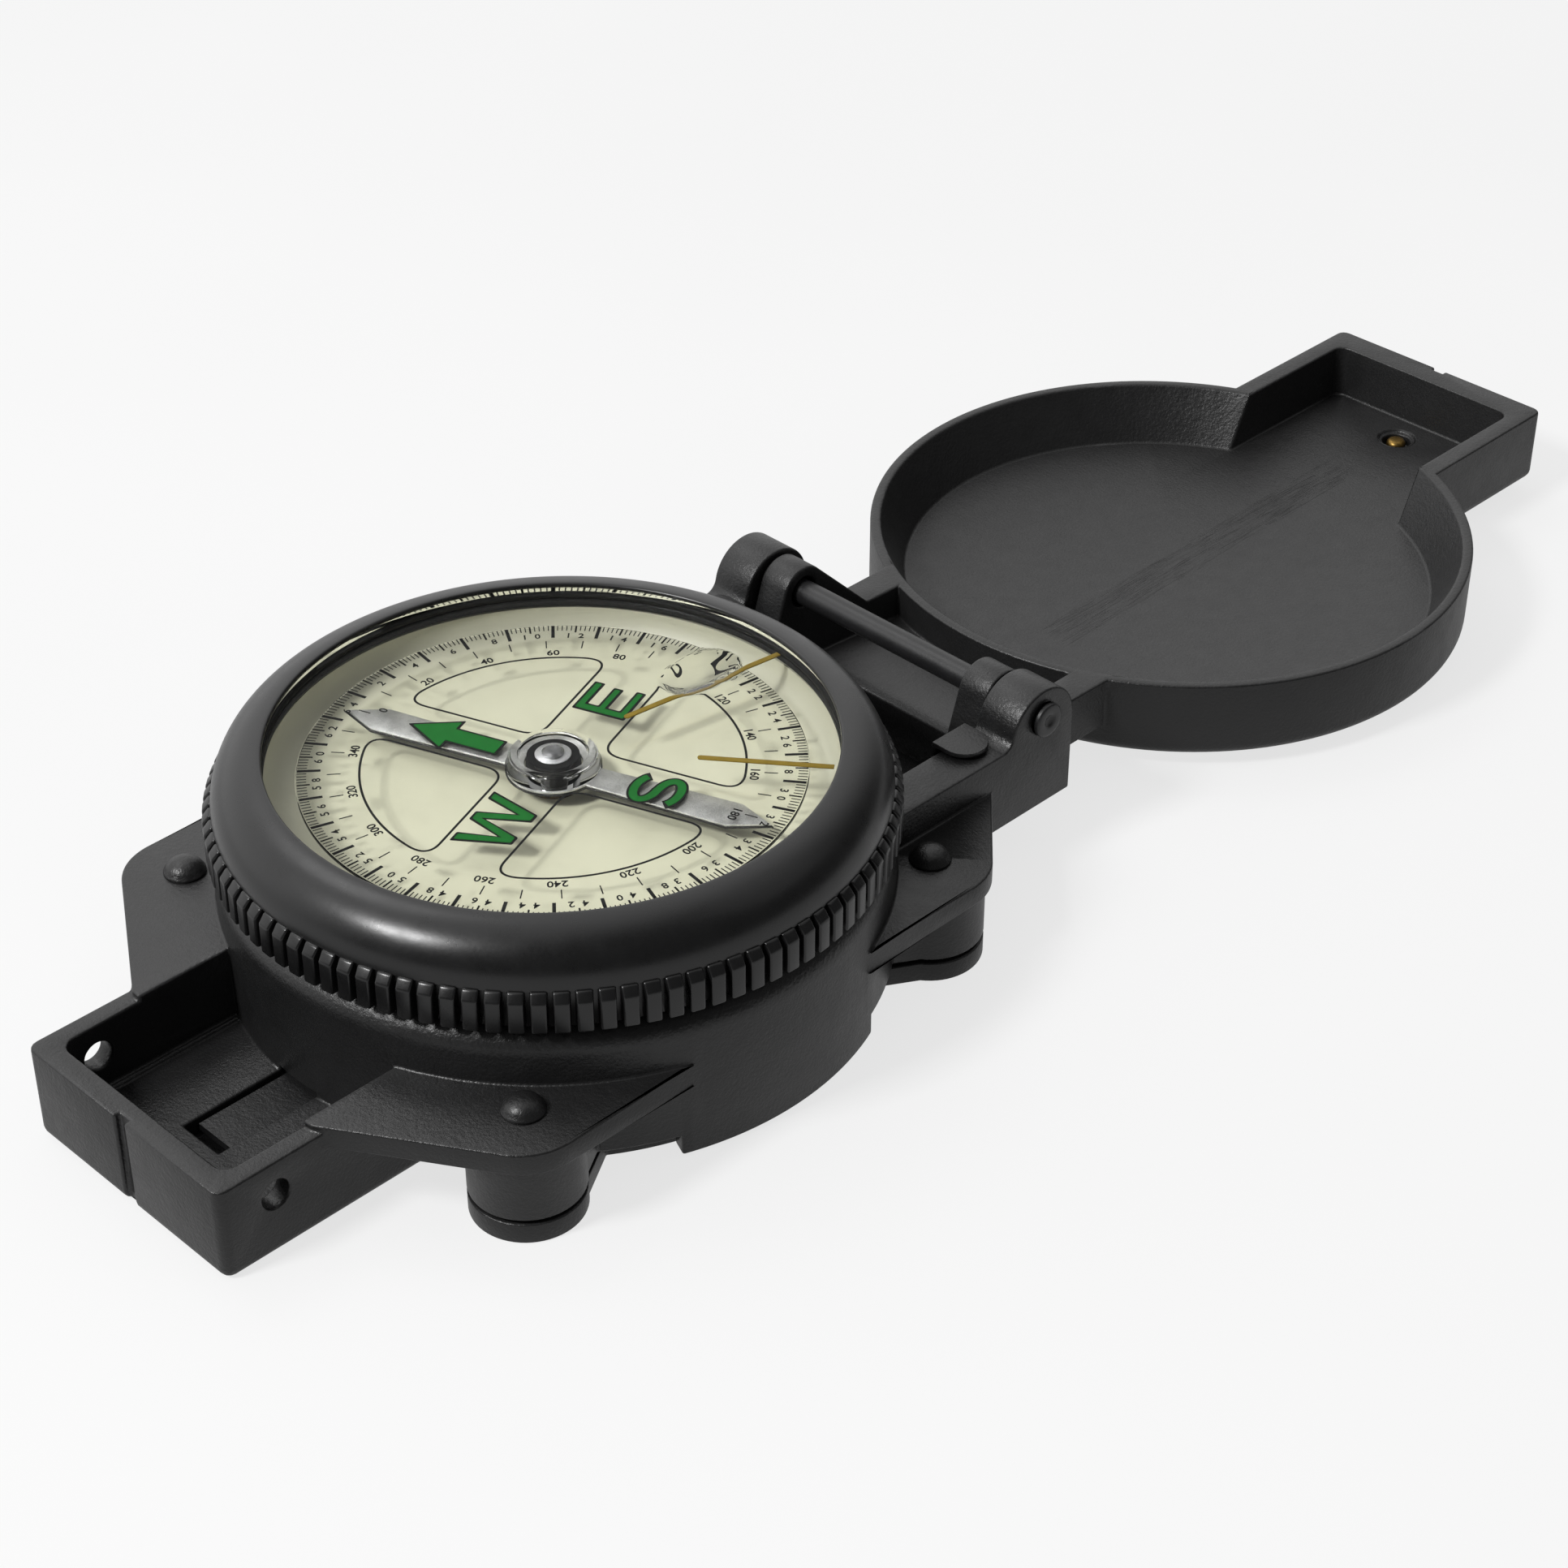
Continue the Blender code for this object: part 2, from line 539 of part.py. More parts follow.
def open_box(name, low, high, rounding):
    """Make a block with round upright and bottom edges and a sharp top."""
    past = high[2] + 3.0 * rounding
    made = block(name, low, (high[0], high[1], past), rounding, 3)
    trim_low = (low[0] - OVERSHOOT, low[1] - OVERSHOOT, high[2])
    cut(made, block(name + "_trim", trim_low, (high[0] + OVERSHOOT, high[1] + OVERSHOOT, past + OVERSHOOT)))
    return fix_shape(made)


def side_plate(name, outline, start, end):
    """Make a plate whose outline of (y, z) points is thickened along X from start to end."""
    made = plate(name, [outline], start, end)
    stand_up = Matrix(((0, 0, 1, 0), (1, 0, 0, 0), (0, 1, 0, 0), (0, 0, 0, 1)))
    made.data.transform(stand_up)
    return made


def mirrored_x(source, name):
    """Copy a mesh object to the other side of the YZ plane."""
    mesh = source.data.copy()
    mesh.transform(Matrix.Scale(-1.0, 4, (1.0, 0.0, 0.0)))
    mesh.flip_normals()
    return add_object(name, mesh)


def combine(target, tool, operation):
    """Join a tool to the target, cut it away or keep what both share, and put the tool aside."""
    step = target.modifiers.new(tool.name, "BOOLEAN")
    step.operation = operation
    step.solver = "EXACT"
    step.object = tool
    PARTS.objects.unlink(tool)
    TOOLS.objects.link(tool)
    tool.hide_render = True
    tool.display_type = "WIRE"


def join(target, tool):
    """Unite a tool with the target."""
    combine(target, tool, "UNION")


def cut(target, tool):
    """Cut a tool out of the target."""
    combine(target, tool, "DIFFERENCE")


def dress(made, finish_name, sharp_angle=math.radians(35.0)):
    """Fix a part's shape, and give it its material and smooth shading on its round faces."""
    if made.modifiers:
        fix_shape(made)
    made.data.materials.clear()
    made.data.materials.append(finish(finish_name))
    made.data.shade_smooth()
    made.data.set_sharp_from_angle(angle=sharp_angle)
    return made


def fix_shape(made):
    """Replace an object's modifiers by the mesh that they give, and remove the tools that they used."""
    tools = [step.object for step in made.modifiers if step.type == "BOOLEAN"]
    bpy.context.view_layer.update()
    evaluated = made.evaluated_get(bpy.context.evaluated_depsgraph_get())
    made.data = bpy.data.meshes.new_from_object(evaluated)
    made.modifiers.clear()
    bake_place(made)
    for tool in tools:
        bpy.data.objects.remove(tool, do_unlink=True)
    return made


def set_origin(made, point):
    """Move an object's origin to a point without moving its mesh in the world."""
    made.data.transform(Matrix.Translation(-Vector(point)))
    made.location = point


def merged(name, pieces):
    """Gather separate solids in one object."""
    gathered = bmesh.new()
    for piece in pieces:
        gathered.from_mesh(piece.data)
    mesh = bpy.data.meshes.new(name)
    gathered.to_mesh(mesh)
    gathered.free()
    for piece in pieces:
        bpy.data.objects.remove(piece, do_unlink=True)
    return add_object(name, mesh)


def line_at(direction, x, centre):
    """Return y where an ear's slanted edge, which faces direction, crosses x."""
    normal = Vector((math.cos(direction), math.sin(direction)))
    return centre[1] + (EAR_RADIUS - normal.x * (x - centre[0])) / normal.y


def ear_outline():
    """Outline the plate of the four ears: round corners about the rivets, with slanted edges."""
    front = (RIVET_X, -RIVET_Y)
    rear = (RIVET_X, RIVET_Y)
    inside_box = BOX_HALF_WIDTH - BOX_SIDE_WALL / 2.0
    inside_arm = (ARM_INNER + ARM_OUTER) / 2.0
    half = [(inside_box, line_at(FRONT_EAR_ANGLE, inside_box, front))]
    half += arc(front, EAR_RADIUS, FRONT_EAR_ANGLE, 0.0, 7)
    half += arc(rear, EAR_RADIUS, 0.0, REAR_EAR_ANGLE, 6)
    half.append((inside_arm, line_at(REAR_EAR_ANGLE, inside_arm, rear)))
    return half + [(-x, y) for x, y in reversed(half)]


def arm_outline():
    """Outline a hinge arm from the side: flat top, fillet, round knuckle and square heel."""
    knuckle = (PIN_Y, PIN_Z - ARM_KNUCKLE_DROP)
    rise = ARM_TOP + ARM_FILLET - knuckle[1]
    reach = math.sqrt((ARM_KNUCKLE_RADIUS + ARM_FILLET) ** 2 - rise ** 2)
    fillet = (knuckle[0] - reach, ARM_TOP + ARM_FILLET)
    meet = math.atan2(-rise, reach)
    root = BOWL_RADIUS - BOWL_WALL * 4.0
    points = [(root, ARM_BOTTOM), (knuckle[0] + ARM_KNUCKLE_RADIUS, ARM_BOTTOM)]
    points += arc(knuckle, ARM_KNUCKLE_RADIUS, 0.0, math.pi + meet, 12)
    points += arc(fillet, ARM_FILLET, meet, -math.pi / 2.0, 5)[1:]
    points.append((root, ARM_TOP))
    return points


def bowl_solid():
    """Turn the bowl without its hollow: skirt, rounded shoulder and neck with its snap ring groove."""
    groove = SNAP_RING_INNER - GAP
    groove_top = SNAP_GROOVE_BOTTOM + SNAP_RING_HEIGHT + 2.0 * GAP
    shoulder = (BOWL_RADIUS - SHOULDER_ROUND, SHOULDER_TOP - SHOULDER_ROUND)
    profile = [(0.0, NECK_TOP), (NECK_RADIUS, NECK_TOP), (NECK_RADIUS, groove_top), (groove, groove_top)]
    profile += [(groove, SNAP_GROOVE_BOTTOM), (NECK_RADIUS, SNAP_GROOVE_BOTTOM), (NECK_RADIUS, SHOULDER_TOP)]
    profile += arc(shoulder, SHOULDER_ROUND, math.pi / 2.0, 0.0, 4)
    profile += [(BOWL_RADIUS, SKIRT_BOTTOM), (0.0, SKIRT_BOTTOM)]
    return turned("bowl_solid", profile, closed=False)


def bowl_cavity():
    """Turn the cutter of the hollow under the deck."""
    lean_top = (CAVITY_SHOULDER + DECK_BOTTOM) / 2.0
    profile = [(0.0, DECK_BOTTOM), (CAVITY_TOP_RADIUS, DECK_BOTTOM), (CAVITY_TOP_RADIUS, lean_top)]
    profile += [(CAVITY_RADIUS, CAVITY_SHOULDER), (CAVITY_RADIUS, -OVERSHOOT), (0.0, -OVERSHOOT)]
    return turned("bowl_cavity", profile, closed=False)


def skirt_notch(name, start, end):
    """Make the cutter that raises the skirt's edge between two angles."""
    outer = arc((0.0, 0.0), BOWL_RADIUS + OVERSHOOT, start, end, 18)
    inner = arc((0.0, 0.0), CAVITY_RADIUS - OVERSHOOT, end, start, 18)
    return plate(name, [outer + inner], -OVERSHOOT, BOSS_BOTTOM)


def ring_pocket(name, inner, outer, middle, span, bottom, top):
    """Make a solid that is a piece of a flat ring, centred on the angle middle."""
    start = middle - span / 2.0
    end = middle + span / 2.0
    outline = arc((0.0, 0.0), outer, start, end, 9) + arc((0.0, 0.0), inner, end, start, 9)
    return plate(name, [outline], bottom, top)


def rivet_places():
    """List the four rivets' places."""
    return [(x, y) for x in (-RIVET_X, RIVET_X) for y in (-RIVET_Y, RIVET_Y)]


def case_body():
    """Model the cast case: bowl, ears, foot bosses, sighting box and hinge arms in one piece."""
    body = plate("case_body", [ear_outline()], EAR_BOTTOM, EAR_TOP)
    box_low = (-BOX_HALF_WIDTH, BOX_FRONT, 0.0)
    box_high = (BOX_HALF_WIDTH, -BOWL_RADIUS / 2.0, BOX_TOP)
    join(body, open_box("box_block", box_low, box_high, BOX_ROUND))
    right_arm = side_plate("right_arm", arm_outline(), ARM_INNER, ARM_OUTER)
    left_arm = mirrored_x(right_arm, "left_arm")
    join(body, right_arm)
    join(body, left_arm)
    for index, (x, y) in enumerate(rivet_places()):
        join(body, plate("foot_boss_%d" % index, [lobe_outline(x, y)], BOSS_BOTTOM, EAR_TOP - GAP))
    inner = BOX_HALF_WIDTH - BOX_SIDE_WALL
    hollow_low = (-inner, BOX_FRONT + BOX_FRONT_WALL)
    hollow = rounded_rectangle(hollow_low, (inner, -BOWL_RADIUS / 2.0 + OVERSHOOT), BOX_CORNER_ROUND)
    cut(body, plate("box_hollow", [hollow], BOX_FLOOR, EAR_TOP + OVERSHOOT))
    well_high = (ARM_INNER, PIN_Y + ARM_KNUCKLE_RADIUS + OVERSHOOT, EAR_TOP + OVERSHOOT)
    cut(body, block("hinge_well", (-ARM_INNER, 0.0, EAR_BOTTOM - OVERSHOOT), well_high))
    join(body, bowl_solid())
    cut(body, bowl_cavity())
    recess = [(0.0, NECK_TOP + OVERSHOOT), (RECESS_RADIUS, NECK_TOP + OVERSHOOT), (RECESS_RADIUS, DECK_TOP)]
    cut(body, turned("dial_recess", recess + [(0.0, DECK_TOP)], closed=False))
    low = (0.0, 0.0, DECK_BOTTOM - OVERSHOOT)
    cut(body, rod("lifter_hole", low, (0.0, 0.0, DECK_TOP + OVERSHOOT), LIFTER_HOLE_RADIUS))
    front_end = math.acos((BOX_HALF_WIDTH + GAP) / BOWL_RADIUS)
    cut(body, skirt_notch("right_front_notch", -front_end, -NOTCH_START))
    cut(body, skirt_notch("left_front_notch", math.pi + NOTCH_START, math.pi + front_end))
    cut(body, skirt_notch("rear_notch", NOTCH_START, math.pi - NOTCH_START))
    slot_low = (-SLOT_HALF_WIDTH, SLOT_END, SLOT_FLOOR)
    cut(body, block("lever_slot", slot_low, (SLOT_HALF_WIDTH, -CAVITY_RADIUS + OVERSHOOT, SLOT_ROOF)))
    hole_radius = RIVET_SHANK_RADIUS + GAP
    holes = [rod("hole", (x, y, 0.0), (x, y, EAR_TOP + OVERSHOOT), hole_radius, 16) for x, y in rivet_places()]
    cut(body, merged("rivet_holes", holes))
    reach = ARM_OUTER + OVERSHOOT
    cut(body, rod("pin_hole", (-reach, PIN_Y, PIN_Z), (reach, PIN_Y, PIN_Z), PIN_RADIUS + GAP))
    hole_left = (-BOX_HALF_WIDTH - OVERSHOOT, EYEPIECE_HOLE_Y, EYEPIECE_HOLE_Z)
    hole_right = (BOX_HALF_WIDTH + OVERSHOOT, EYEPIECE_HOLE_Y, EYEPIECE_HOLE_Z)
    cut(body, rod("eyepiece_holes", hole_left, hole_right, EYEPIECE_HOLE_RADIUS))
    half = SIGHT_GROOVE_WIDTH / 2.0
    groove_low = (-half, BOX_FRONT - OVERSHOOT, -OVERSHOOT)
    groove_high = (half, BOX_FRONT + SIGHT_GROOVE_DEPTH, BOX_TOP + OVERSHOOT)
    cut(body, block("sight_groove", groove_low, groove_high))
    inner = CLICK_SPRING_RADIUS - CLICK_SPRING_WIDTH / 2.0 - GAP
    outer = CLICK_SPRING_RADIUS + CLICK_SPRING_WIDTH / 2.0 + GAP
    span = CLICK_SPRING_SPAN + 2.0 * GAP / CLICK_SPRING_RADIUS
    bottom = SHOULDER_TOP - CLICK_SPRING_HEIGHT - GAP
    top = SHOULDER_TOP + GAP / 2.0
    cut(body, ring_pocket("spring_pocket", inner, outer, -math.pi / 2.0, span, bottom, top))
    return dress(body, "cast_black")


def lobe_outline(x, y):
    """Outline one lobe of the cover: a round foot under the ear that widens towards the middle."""
    outward = math.atan2(y, x)
    distance = math.hypot(x, y)
    start = -math.pi / 2.0 - LOBE_FLARE
    round_end = arc((distance, 0.0), BOSS_RADIUS, start, -start, 15)
    run = distance - COVER_RADIUS + 2.0 * BOWL_WALL
    half = round_end[-1][1] + run * math.tan(LOBE_FLARE)
    outline = [(distance - run, -half)] + round_end + [(distance - run, half)]
    turn = Matrix.Rotation(outward, 2)
    return [tuple(turn @ Vector(point)) for point in outline]


def bottom_cover():
    """Model the bottom cover: disc, four lobes, tail under the hinge, lever lugs and post boss."""
    disc = arc((0.0, 0.0), COVER_RADIUS, 0.0, math.tau * (FACETS - 1) / FACETS, FACETS)
    cover = plate("bottom_cover", [disc], 0.0, COVER_THICKNESS)
    for index, (x, y) in enumerate(rivet_places()):
        join(cover, plate("cover_lobe_%d" % index, [lobe_outline(x, y)], 0.0, COVER_THICKNESS))
    tail_half = ARM_INNER - GAP
    join(cover, block("cover_tail", (-tail_half, PIN_Y / 2.0, 0.0), (tail_half, TAIL_END, COVER_THICKNESS)))
    lug_inner = LEVER_HALF_WIDTH + GAP
    for name, x in (("left_lug", -lug_inner - LUG_THICKNESS), ("right_lug", lug_inner)):
        low = (x, LEVER_PIVOT_Y - LUG_LENGTH / 2.0, COVER_THICKNESS / 2.0)
        join(cover, block(name, low, (x + LUG_THICKNESS, LEVER_PIVOT_Y + LUG_LENGTH / 2.0, LUG_TOP)))
    join(cover, rod("post_boss", (0.0, 0.0, COVER_THICKNESS / 2.0), (0.0, 0.0, COVER_BOSS_TOP), COVER_BOSS_RADIUS))
    bore_top = COVER_BOSS_TOP + OVERSHOOT
    cut(cover, rod("post_bore", (0.0, 0.0, POST_FOOT - GAP), (0.0, 0.0, bore_top), POST_RADIUS + GAP))
    notch_half = SLOT_HALF_WIDTH + GAP
    notch_low = (-notch_half, -COVER_RADIUS - OVERSHOOT, -OVERSHOOT)
    notch_high = (notch_half, LEVER_JOG_END + OVERSHOOT, COVER_THICKNESS + OVERSHOOT)
    cut(cover, block("lever_notch", notch_low, notch_high))
    shank = RIVET_SHANK_RADIUS + GAP
    sink = RIVET_TAIL_RADIUS + GAP
    sink_top = RIVET_TAIL_BOTTOM + RIVET_TAIL_HEIGHT + GAP
    top = COVER_THICKNESS + OVERSHOOT
    holes = [rod("hole", (x, y, sink_top / 2.0), (x, y, top), shank, 16) for x, y in rivet_places()]
    cut(cover, merged("shank_holes", holes))
    sinks = [rod("sink", (x, y, -OVERSHOOT), (x, y, sink_top), sink, 20) for x, y in rivet_places()]
    cut(cover, merged("tail_sinks", sinks))
    lug_reach = lug_inner + LUG_THICKNESS + OVERSHOOT
    left = (-lug_reach, LEVER_PIVOT_Y, LEVER_PIVOT_Z)
    right = (lug_reach, LEVER_PIVOT_Y, LEVER_PIVOT_Z)
    cut(cover, rod("lever_pin_hole", left, right, LEVER_PIN_RADIUS + GAP, 16))
    return dress(cover, "cast_black")


def dome_points(radius, base, height, points):
    """List the points of a low dome's profile from its top on the axis down to its edge."""
    angles = [math.pi / 2.0 * (1.0 - i / (points - 1)) for i in range(points)]
    return [(radius * math.cos(a), base + height * math.sin(a)) for a in angles]


def cover_rivet(name, place):
    """Model one of the four rivets that hold the cover, domed on the ear and set flush below."""
    head = EAR_TOP + 2.0 * LAYER_GAP
    profile = dome_points(RIVET_HEAD_RADIUS, head, RIVET_HEAD_HEIGHT, 5)
    profile[0] = (0.0, profile[0][1])
    tail_top = RIVET_TAIL_BOTTOM + RIVET_TAIL_HEIGHT
    profile += [(RIVET_SHANK_RADIUS, head), (RIVET_SHANK_RADIUS, tail_top), (RIVET_TAIL_RADIUS, tail_top)]
    profile += [(RIVET_TAIL_RADIUS, RIVET_TAIL_BOTTOM), (0.0, RIVET_TAIL_BOTTOM)]
    return dress(turned(name, profile, 12, place, closed=False), "cast_black")


def turned_along_pin(name, profile, sides):
    """Turn a profile about the hinge pin's axis: its heights run along X."""
    made = fix_shape(turned(name, profile, sides, closed=False))
    lay_down = Matrix.Translation((0.0, PIN_Y, PIN_Z)) @ Matrix.Rotation(math.pi / 2.0, 4, "Y")
    made.data.transform(lay_down)
    return made


def hinge_pin():
    """Model the hinge pin, riveted over at both ends, with a dimple in each head."""
    under_head = ARM_OUTER + 2.0 * LAYER_GAP
    end = under_head + PIN_HEAD_HEIGHT
    half = [(0.0, end - PIN_DIMPLE_DEPTH), (PIN_DIMPLE_RADIUS / 2.0, end - PIN_DIMPLE_DEPTH)]
    half += [(PIN_DIMPLE_RADIUS, end), (PIN_HEAD_RADIUS - LAYER_GAP, end), (PIN_HEAD_RADIUS, end - LAYER_GAP)]
    half += [(PIN_HEAD_RADIUS, under_head), (PIN_RADIUS, under_head)]
    profile = half + [(radius, -height) for radius, height in reversed(half)]
    pin = turned_along_pin("hinge_pin", profile, 20)
    return dress(pin, "blackened_steel")


def tangent_angle(centre, radius, point, side):
    """Return the angle on a circle where the line from an outside point touches it.

    Side is 1 for the touching point found by turning left from the point's direction, and -1 for the
    other one.
    """
    away = math.atan2(point[1] - centre[1], point[0] - centre[0])
    distance = math.hypot(point[0] - centre[0], point[1] - centre[1])
    return away + side * math.acos(radius / distance)


def lid_arm_outline():
    """Outline a lid arm from the side: knuckle about the pin, ramp to the rim, and toe below."""
    centre = (PIN_Y, PIN_Z)
    toe = (PIN_Y - LID_ARM_TOE_REACH, PIN_Z - LID_ARM_TOE_DROP)
    ramp_end = (PIN_Y + LID_RAMP_LENGTH, LID_RIM)
    ramp_start = tangent_angle(centre, LID_KNUCKLE_RADIUS, ramp_end, 1)
    toe_angle = tangent_angle(centre, LID_KNUCKLE_RADIUS, toe, -1)
    root = LID_CENTRE_Y - LID_FLOOR_RADIUS + 2.0 * BOWL_WALL
    heel = (PIN_Y - LID_ARM_HEEL_REACH, LID_ARM_BOTTOM)
    points = [toe, heel, (root, LID_ARM_BOTTOM), (root, LID_RIM), ramp_end]
    points += arc(centre, LID_KNUCKLE_RADIUS, ramp_start, toe_angle % math.tau, 9)
    return points


def lid_web_outline():
    """Outline the web between the lid's arms from the side: chamfered in front, falling slightly to the rear."""
    rear = LID_CENTRE_Y - LID_FLOOR_RADIUS + BOWL_WALL
    chamfer_top = (LID_WEB_FRONT + LID_WEB_CHAMFER, LID_WEB_TOP)
    chamfer_foot = (LID_WEB_FRONT, LID_WEB_TOP - LID_WEB_CHAMFER / 2.0)
    rear_top = LID_WEB_TOP - LID_WEB_FALL
    return [(LID_WEB_FRONT, LID_BOTTOM), (rear, LID_BOTTOM), (rear, rear_top), chamfer_top, chamfer_foot]


def lid():
    """Model the lid: round tray with a box end, two hinge arms and the web between them."""
    edge = (LID_RADIUS - LID_EDGE_ROUND, LID_BOTTOM + LID_EDGE_ROUND)
    profile = [(0.0, LID_RIM), (LID_RADIUS, LID_RIM)]
    profile += arc(edge, LID_EDGE_ROUND, 0.0, -math.pi / 2.0, 4) + [(0.0, LID_BOTTOM)]
    tray = turned("lid", profile, centre=(0.0, LID_CENTRE_Y), closed=False)
    fix_shape(tray)
    low = (-LID_BOX_HALF_WIDTH, LID_CENTRE_Y + LID_FLOOR_RADIUS / 2.0, LID_BOTTOM)
    join(tray, open_box("lid_box", low, (LID_BOX_HALF_WIDTH, LID_BOX_END, LID_RIM), LID_BOX_ROUND))
    right_arm = side_plate("lid_right_arm", lid_arm_outline(), LID_ARM_INNER, LID_ARM_OUTER)
    left_arm = mirrored_x(right_arm, "lid_left_arm")
    join(tray, right_arm)
    join(tray, left_arm)
    web_half = LID_ARM_INNER + GAP
    join(tray, side_plate("lid_web", lid_web_outline(), -web_half, web_half))
    rim_inner = LID_RADIUS - LID_RIM_WIDTH
    slope = (rim_inner - LID_FLOOR_RADIUS) / (LID_RIM - LID_FLOOR)
    top = LID_RIM + OVERSHOOT
    hollow = [(0.0, top), (rim_inner + slope * OVERSHOOT, top), (LID_FLOOR_RADIUS, LID_FLOOR), (0.0, LID_FLOOR)]
    cut(tray, turned("tray_hollow", hollow, centre=(0.0, LID_CENTRE_Y), closed=False))
    inner = LID_BOX_HALF_WIDTH - LID_BOX_SIDE_WALL
    low = (-inner, LID_CENTRE_Y + LID_FLOOR_RADIUS / 2.0 - OVERSHOOT)
    hollow = rounded_rectangle(low, (inner, LID_BOX_END - LID_BOX_END_WALL), BOX_CORNER_ROUND)
    cut(tray, plate("lid_box_hollow", [hollow], LID_FLOOR, LID_RIM + OVERSHOOT))
    for name, radius, depth in (
        ("stud_ring", STUD_RING_RADIUS, STUD_RING_DEPTH),
        ("stud_hole", STUD_HOLE_RADIUS, STUD_HOLE_DEPTH),
    ):
        cut(tray, rod(name, (0.0, STUD_Y, LID_FLOOR - depth), (0.0, STUD_Y, LID_RIM), radius, 24))
    reach = LID_ARM_OUTER + OVERSHOOT
    cut(tray, rod("lid_pin_hole", (-reach, PIN_Y, PIN_Z), (reach, PIN_Y, PIN_Z), PIN_RADIUS + GAP))
    half = LID_NOTCH_WIDTH / 2.0
    low = (-half, LID_BOX_END - LID_NOTCH_DEPTH, LID_BOTTOM - OVERSHOOT)
    cut(tray, block("lid_notch", low, (half, LID_BOX_END + OVERSHOOT, LID_RIM + OVERSHOOT)))
    dress(tray, "cast_black")
    set_origin(tray, (0.0, PIN_Y, PIN_Z))
    return tray


def sight_stud():
    """Model the brass stud in the lid's box end."""
    base = LID_FLOOR - STUD_HOLE_DEPTH + LAYER_GAP
    shoulder = base + STUD_HEIGHT - STUD_RADIUS / 3.0
    profile = dome_points(STUD_RADIUS, shoulder, STUD_RADIUS / 3.0, 4) + [(STUD_RADIUS, base), (0.0, base)]
    profile[0] = (0.0, profile[0][1])
    stud = turned("sight_stud", profile, 20, (0.0, STUD_Y), closed=False)
    return dress(stud, "brass")


def bezel_profile():
    """List the bezel's section: dome outside, bore and crystal seat inside."""
    quarter = [math.pi / 2.0 * (1.0 - i / (DOME_POINTS - 1)) for i in range(DOME_POINTS)]
    width = DOME_RADIUS - OPENING_RADIUS
    dome = [(OPENING_RADIUS + width * math.cos(a), DOME_BASE + DOME_HEIGHT * math.sin(a)) for a in quarter]
    groove = SNAP_RING_OUTER + GAP
    groove_top = SNAP_GROOVE_BOTTOM + SNAP_RING_HEIGHT + 2.0 * GAP
    seat_bottom = RETAINER_BOTTOM - LAYER_GAP
    lip = DOME_TOP - LIP_THICKNESS
    inside = [(BAND_ROOT, DOME_BASE), (BAND_ROOT, KNURL_BOTTOM), (BORE_RADIUS, KNURL_BOTTOM)]
    inside += [(BORE_RADIUS, SNAP_GROOVE_BOTTOM), (groove, SNAP_GROOVE_BOTTOM), (groove, groove_top)]
    inside += [(BORE_RADIUS, groove_top), (BORE_RADIUS, seat_bottom), (SEAT_RADIUS, seat_bottom)]
    return dome + inside + [(SEAT_RADIUS, lip), (OPENING_RADIUS, lip)]


def knurl_outline():
    """Outline the knurled band: flat-topped teeth that narrow outwards."""
    pitch = math.tau / TOOTH_COUNT
    root = KNURL_RADIUS - TOOTH_DEPTH
    corners = ((root, -TOOTH_ROOT_SHARE), (KNURL_RADIUS, -TOOTH_TIP_SHARE))
    corners += ((KNURL_RADIUS, TOOTH_TIP_SHARE), (root, TOOTH_ROOT_SHARE))
    outline = []
    for tooth in range(TOOTH_COUNT):
        for radius, share in corners:
            angle = (tooth + 0.5 + share) * pitch
            outline.append((radius * math.cos(angle), radius * math.sin(angle)))
    return outline


def bezel():
    """Model the turning bezel with its knurled band."""
    ring = turned("bezel", bezel_profile())
    hole_radius = (BAND_ROOT + SNAP_RING_OUTER + GAP) / 2.0
    hole = arc((0.0, 0.0), hole_radius, 0.0, math.tau * (FACETS - 1) / FACETS, FACETS)
    top = KNURL_TOP
    band = plate("knurl_band", [knurl_outline(), hole], KNURL_BOTTOM + LAYER_GAP, top)
    slope = TOOTH_CHAMFER_WIDTH / TOOTH_CHAMFER_HEIGHT
    past = KNURL_RADIUS + slope * OVERSHOOT
    chamfer = [(0.0, top + OVERSHOOT), (KNURL_RADIUS - TOOTH_CHAMFER_WIDTH - slope * OVERSHOOT, top + OVERSHOOT)]
    chamfer += [(past, KNURL_FACE_TOP - OVERSHOOT), (past, KNURL_BOTTOM - OVERSHOOT), (0.0, KNURL_BOTTOM - OVERSHOOT)]
    combine(band, turned("tooth_chamfer", chamfer, TOOTH_COUNT, closed=False), "INTERSECT")
    join(ring, band)
    return dress(ring, "bezel_black")


def bezel_snap_ring():
    """Model the open spring ring that keeps the bezel on the neck."""
    bottom = SNAP_GROOVE_BOTTOM + GAP
    half_open = SNAP_RING_OPENING / 2.0
    outer = arc((0.0, 0.0), SNAP_RING_OUTER, half_open, math.tau - half_open, 60)
    inner = arc((0.0, 0.0), SNAP_RING_INNER, math.tau - half_open, half_open, 60)
    ring = plate("bezel_snap_ring", [outer + inner], bottom, bottom + SNAP_RING_HEIGHT)
    return dress(ring, "spring_steel")


def bezel_click_spring():
    """Model the curved leaf that clicks under the bezel."""
    inner = CLICK_SPRING_RADIUS - CLICK_SPRING_WIDTH / 2.0
    outer = CLICK_SPRING_RADIUS + CLICK_SPRING_WIDTH / 2.0
    bottom = SHOULDER_TOP - CLICK_SPRING_HEIGHT
    top = SHOULDER_TOP - LAYER_GAP
    leaf = ring_pocket("bezel_click_spring", inner, outer, -math.pi / 2.0, CLICK_SPRING_SPAN, bottom, top)
    return dress(leaf, "spring_steel")


def flat_ring(name, inner, outer, bottom, top, steps=INNER_FACETS):
    """Turn a plain flat ring."""
    return turned(name, [(inner, top), (outer, top), (outer, bottom), (inner, bottom)], steps)


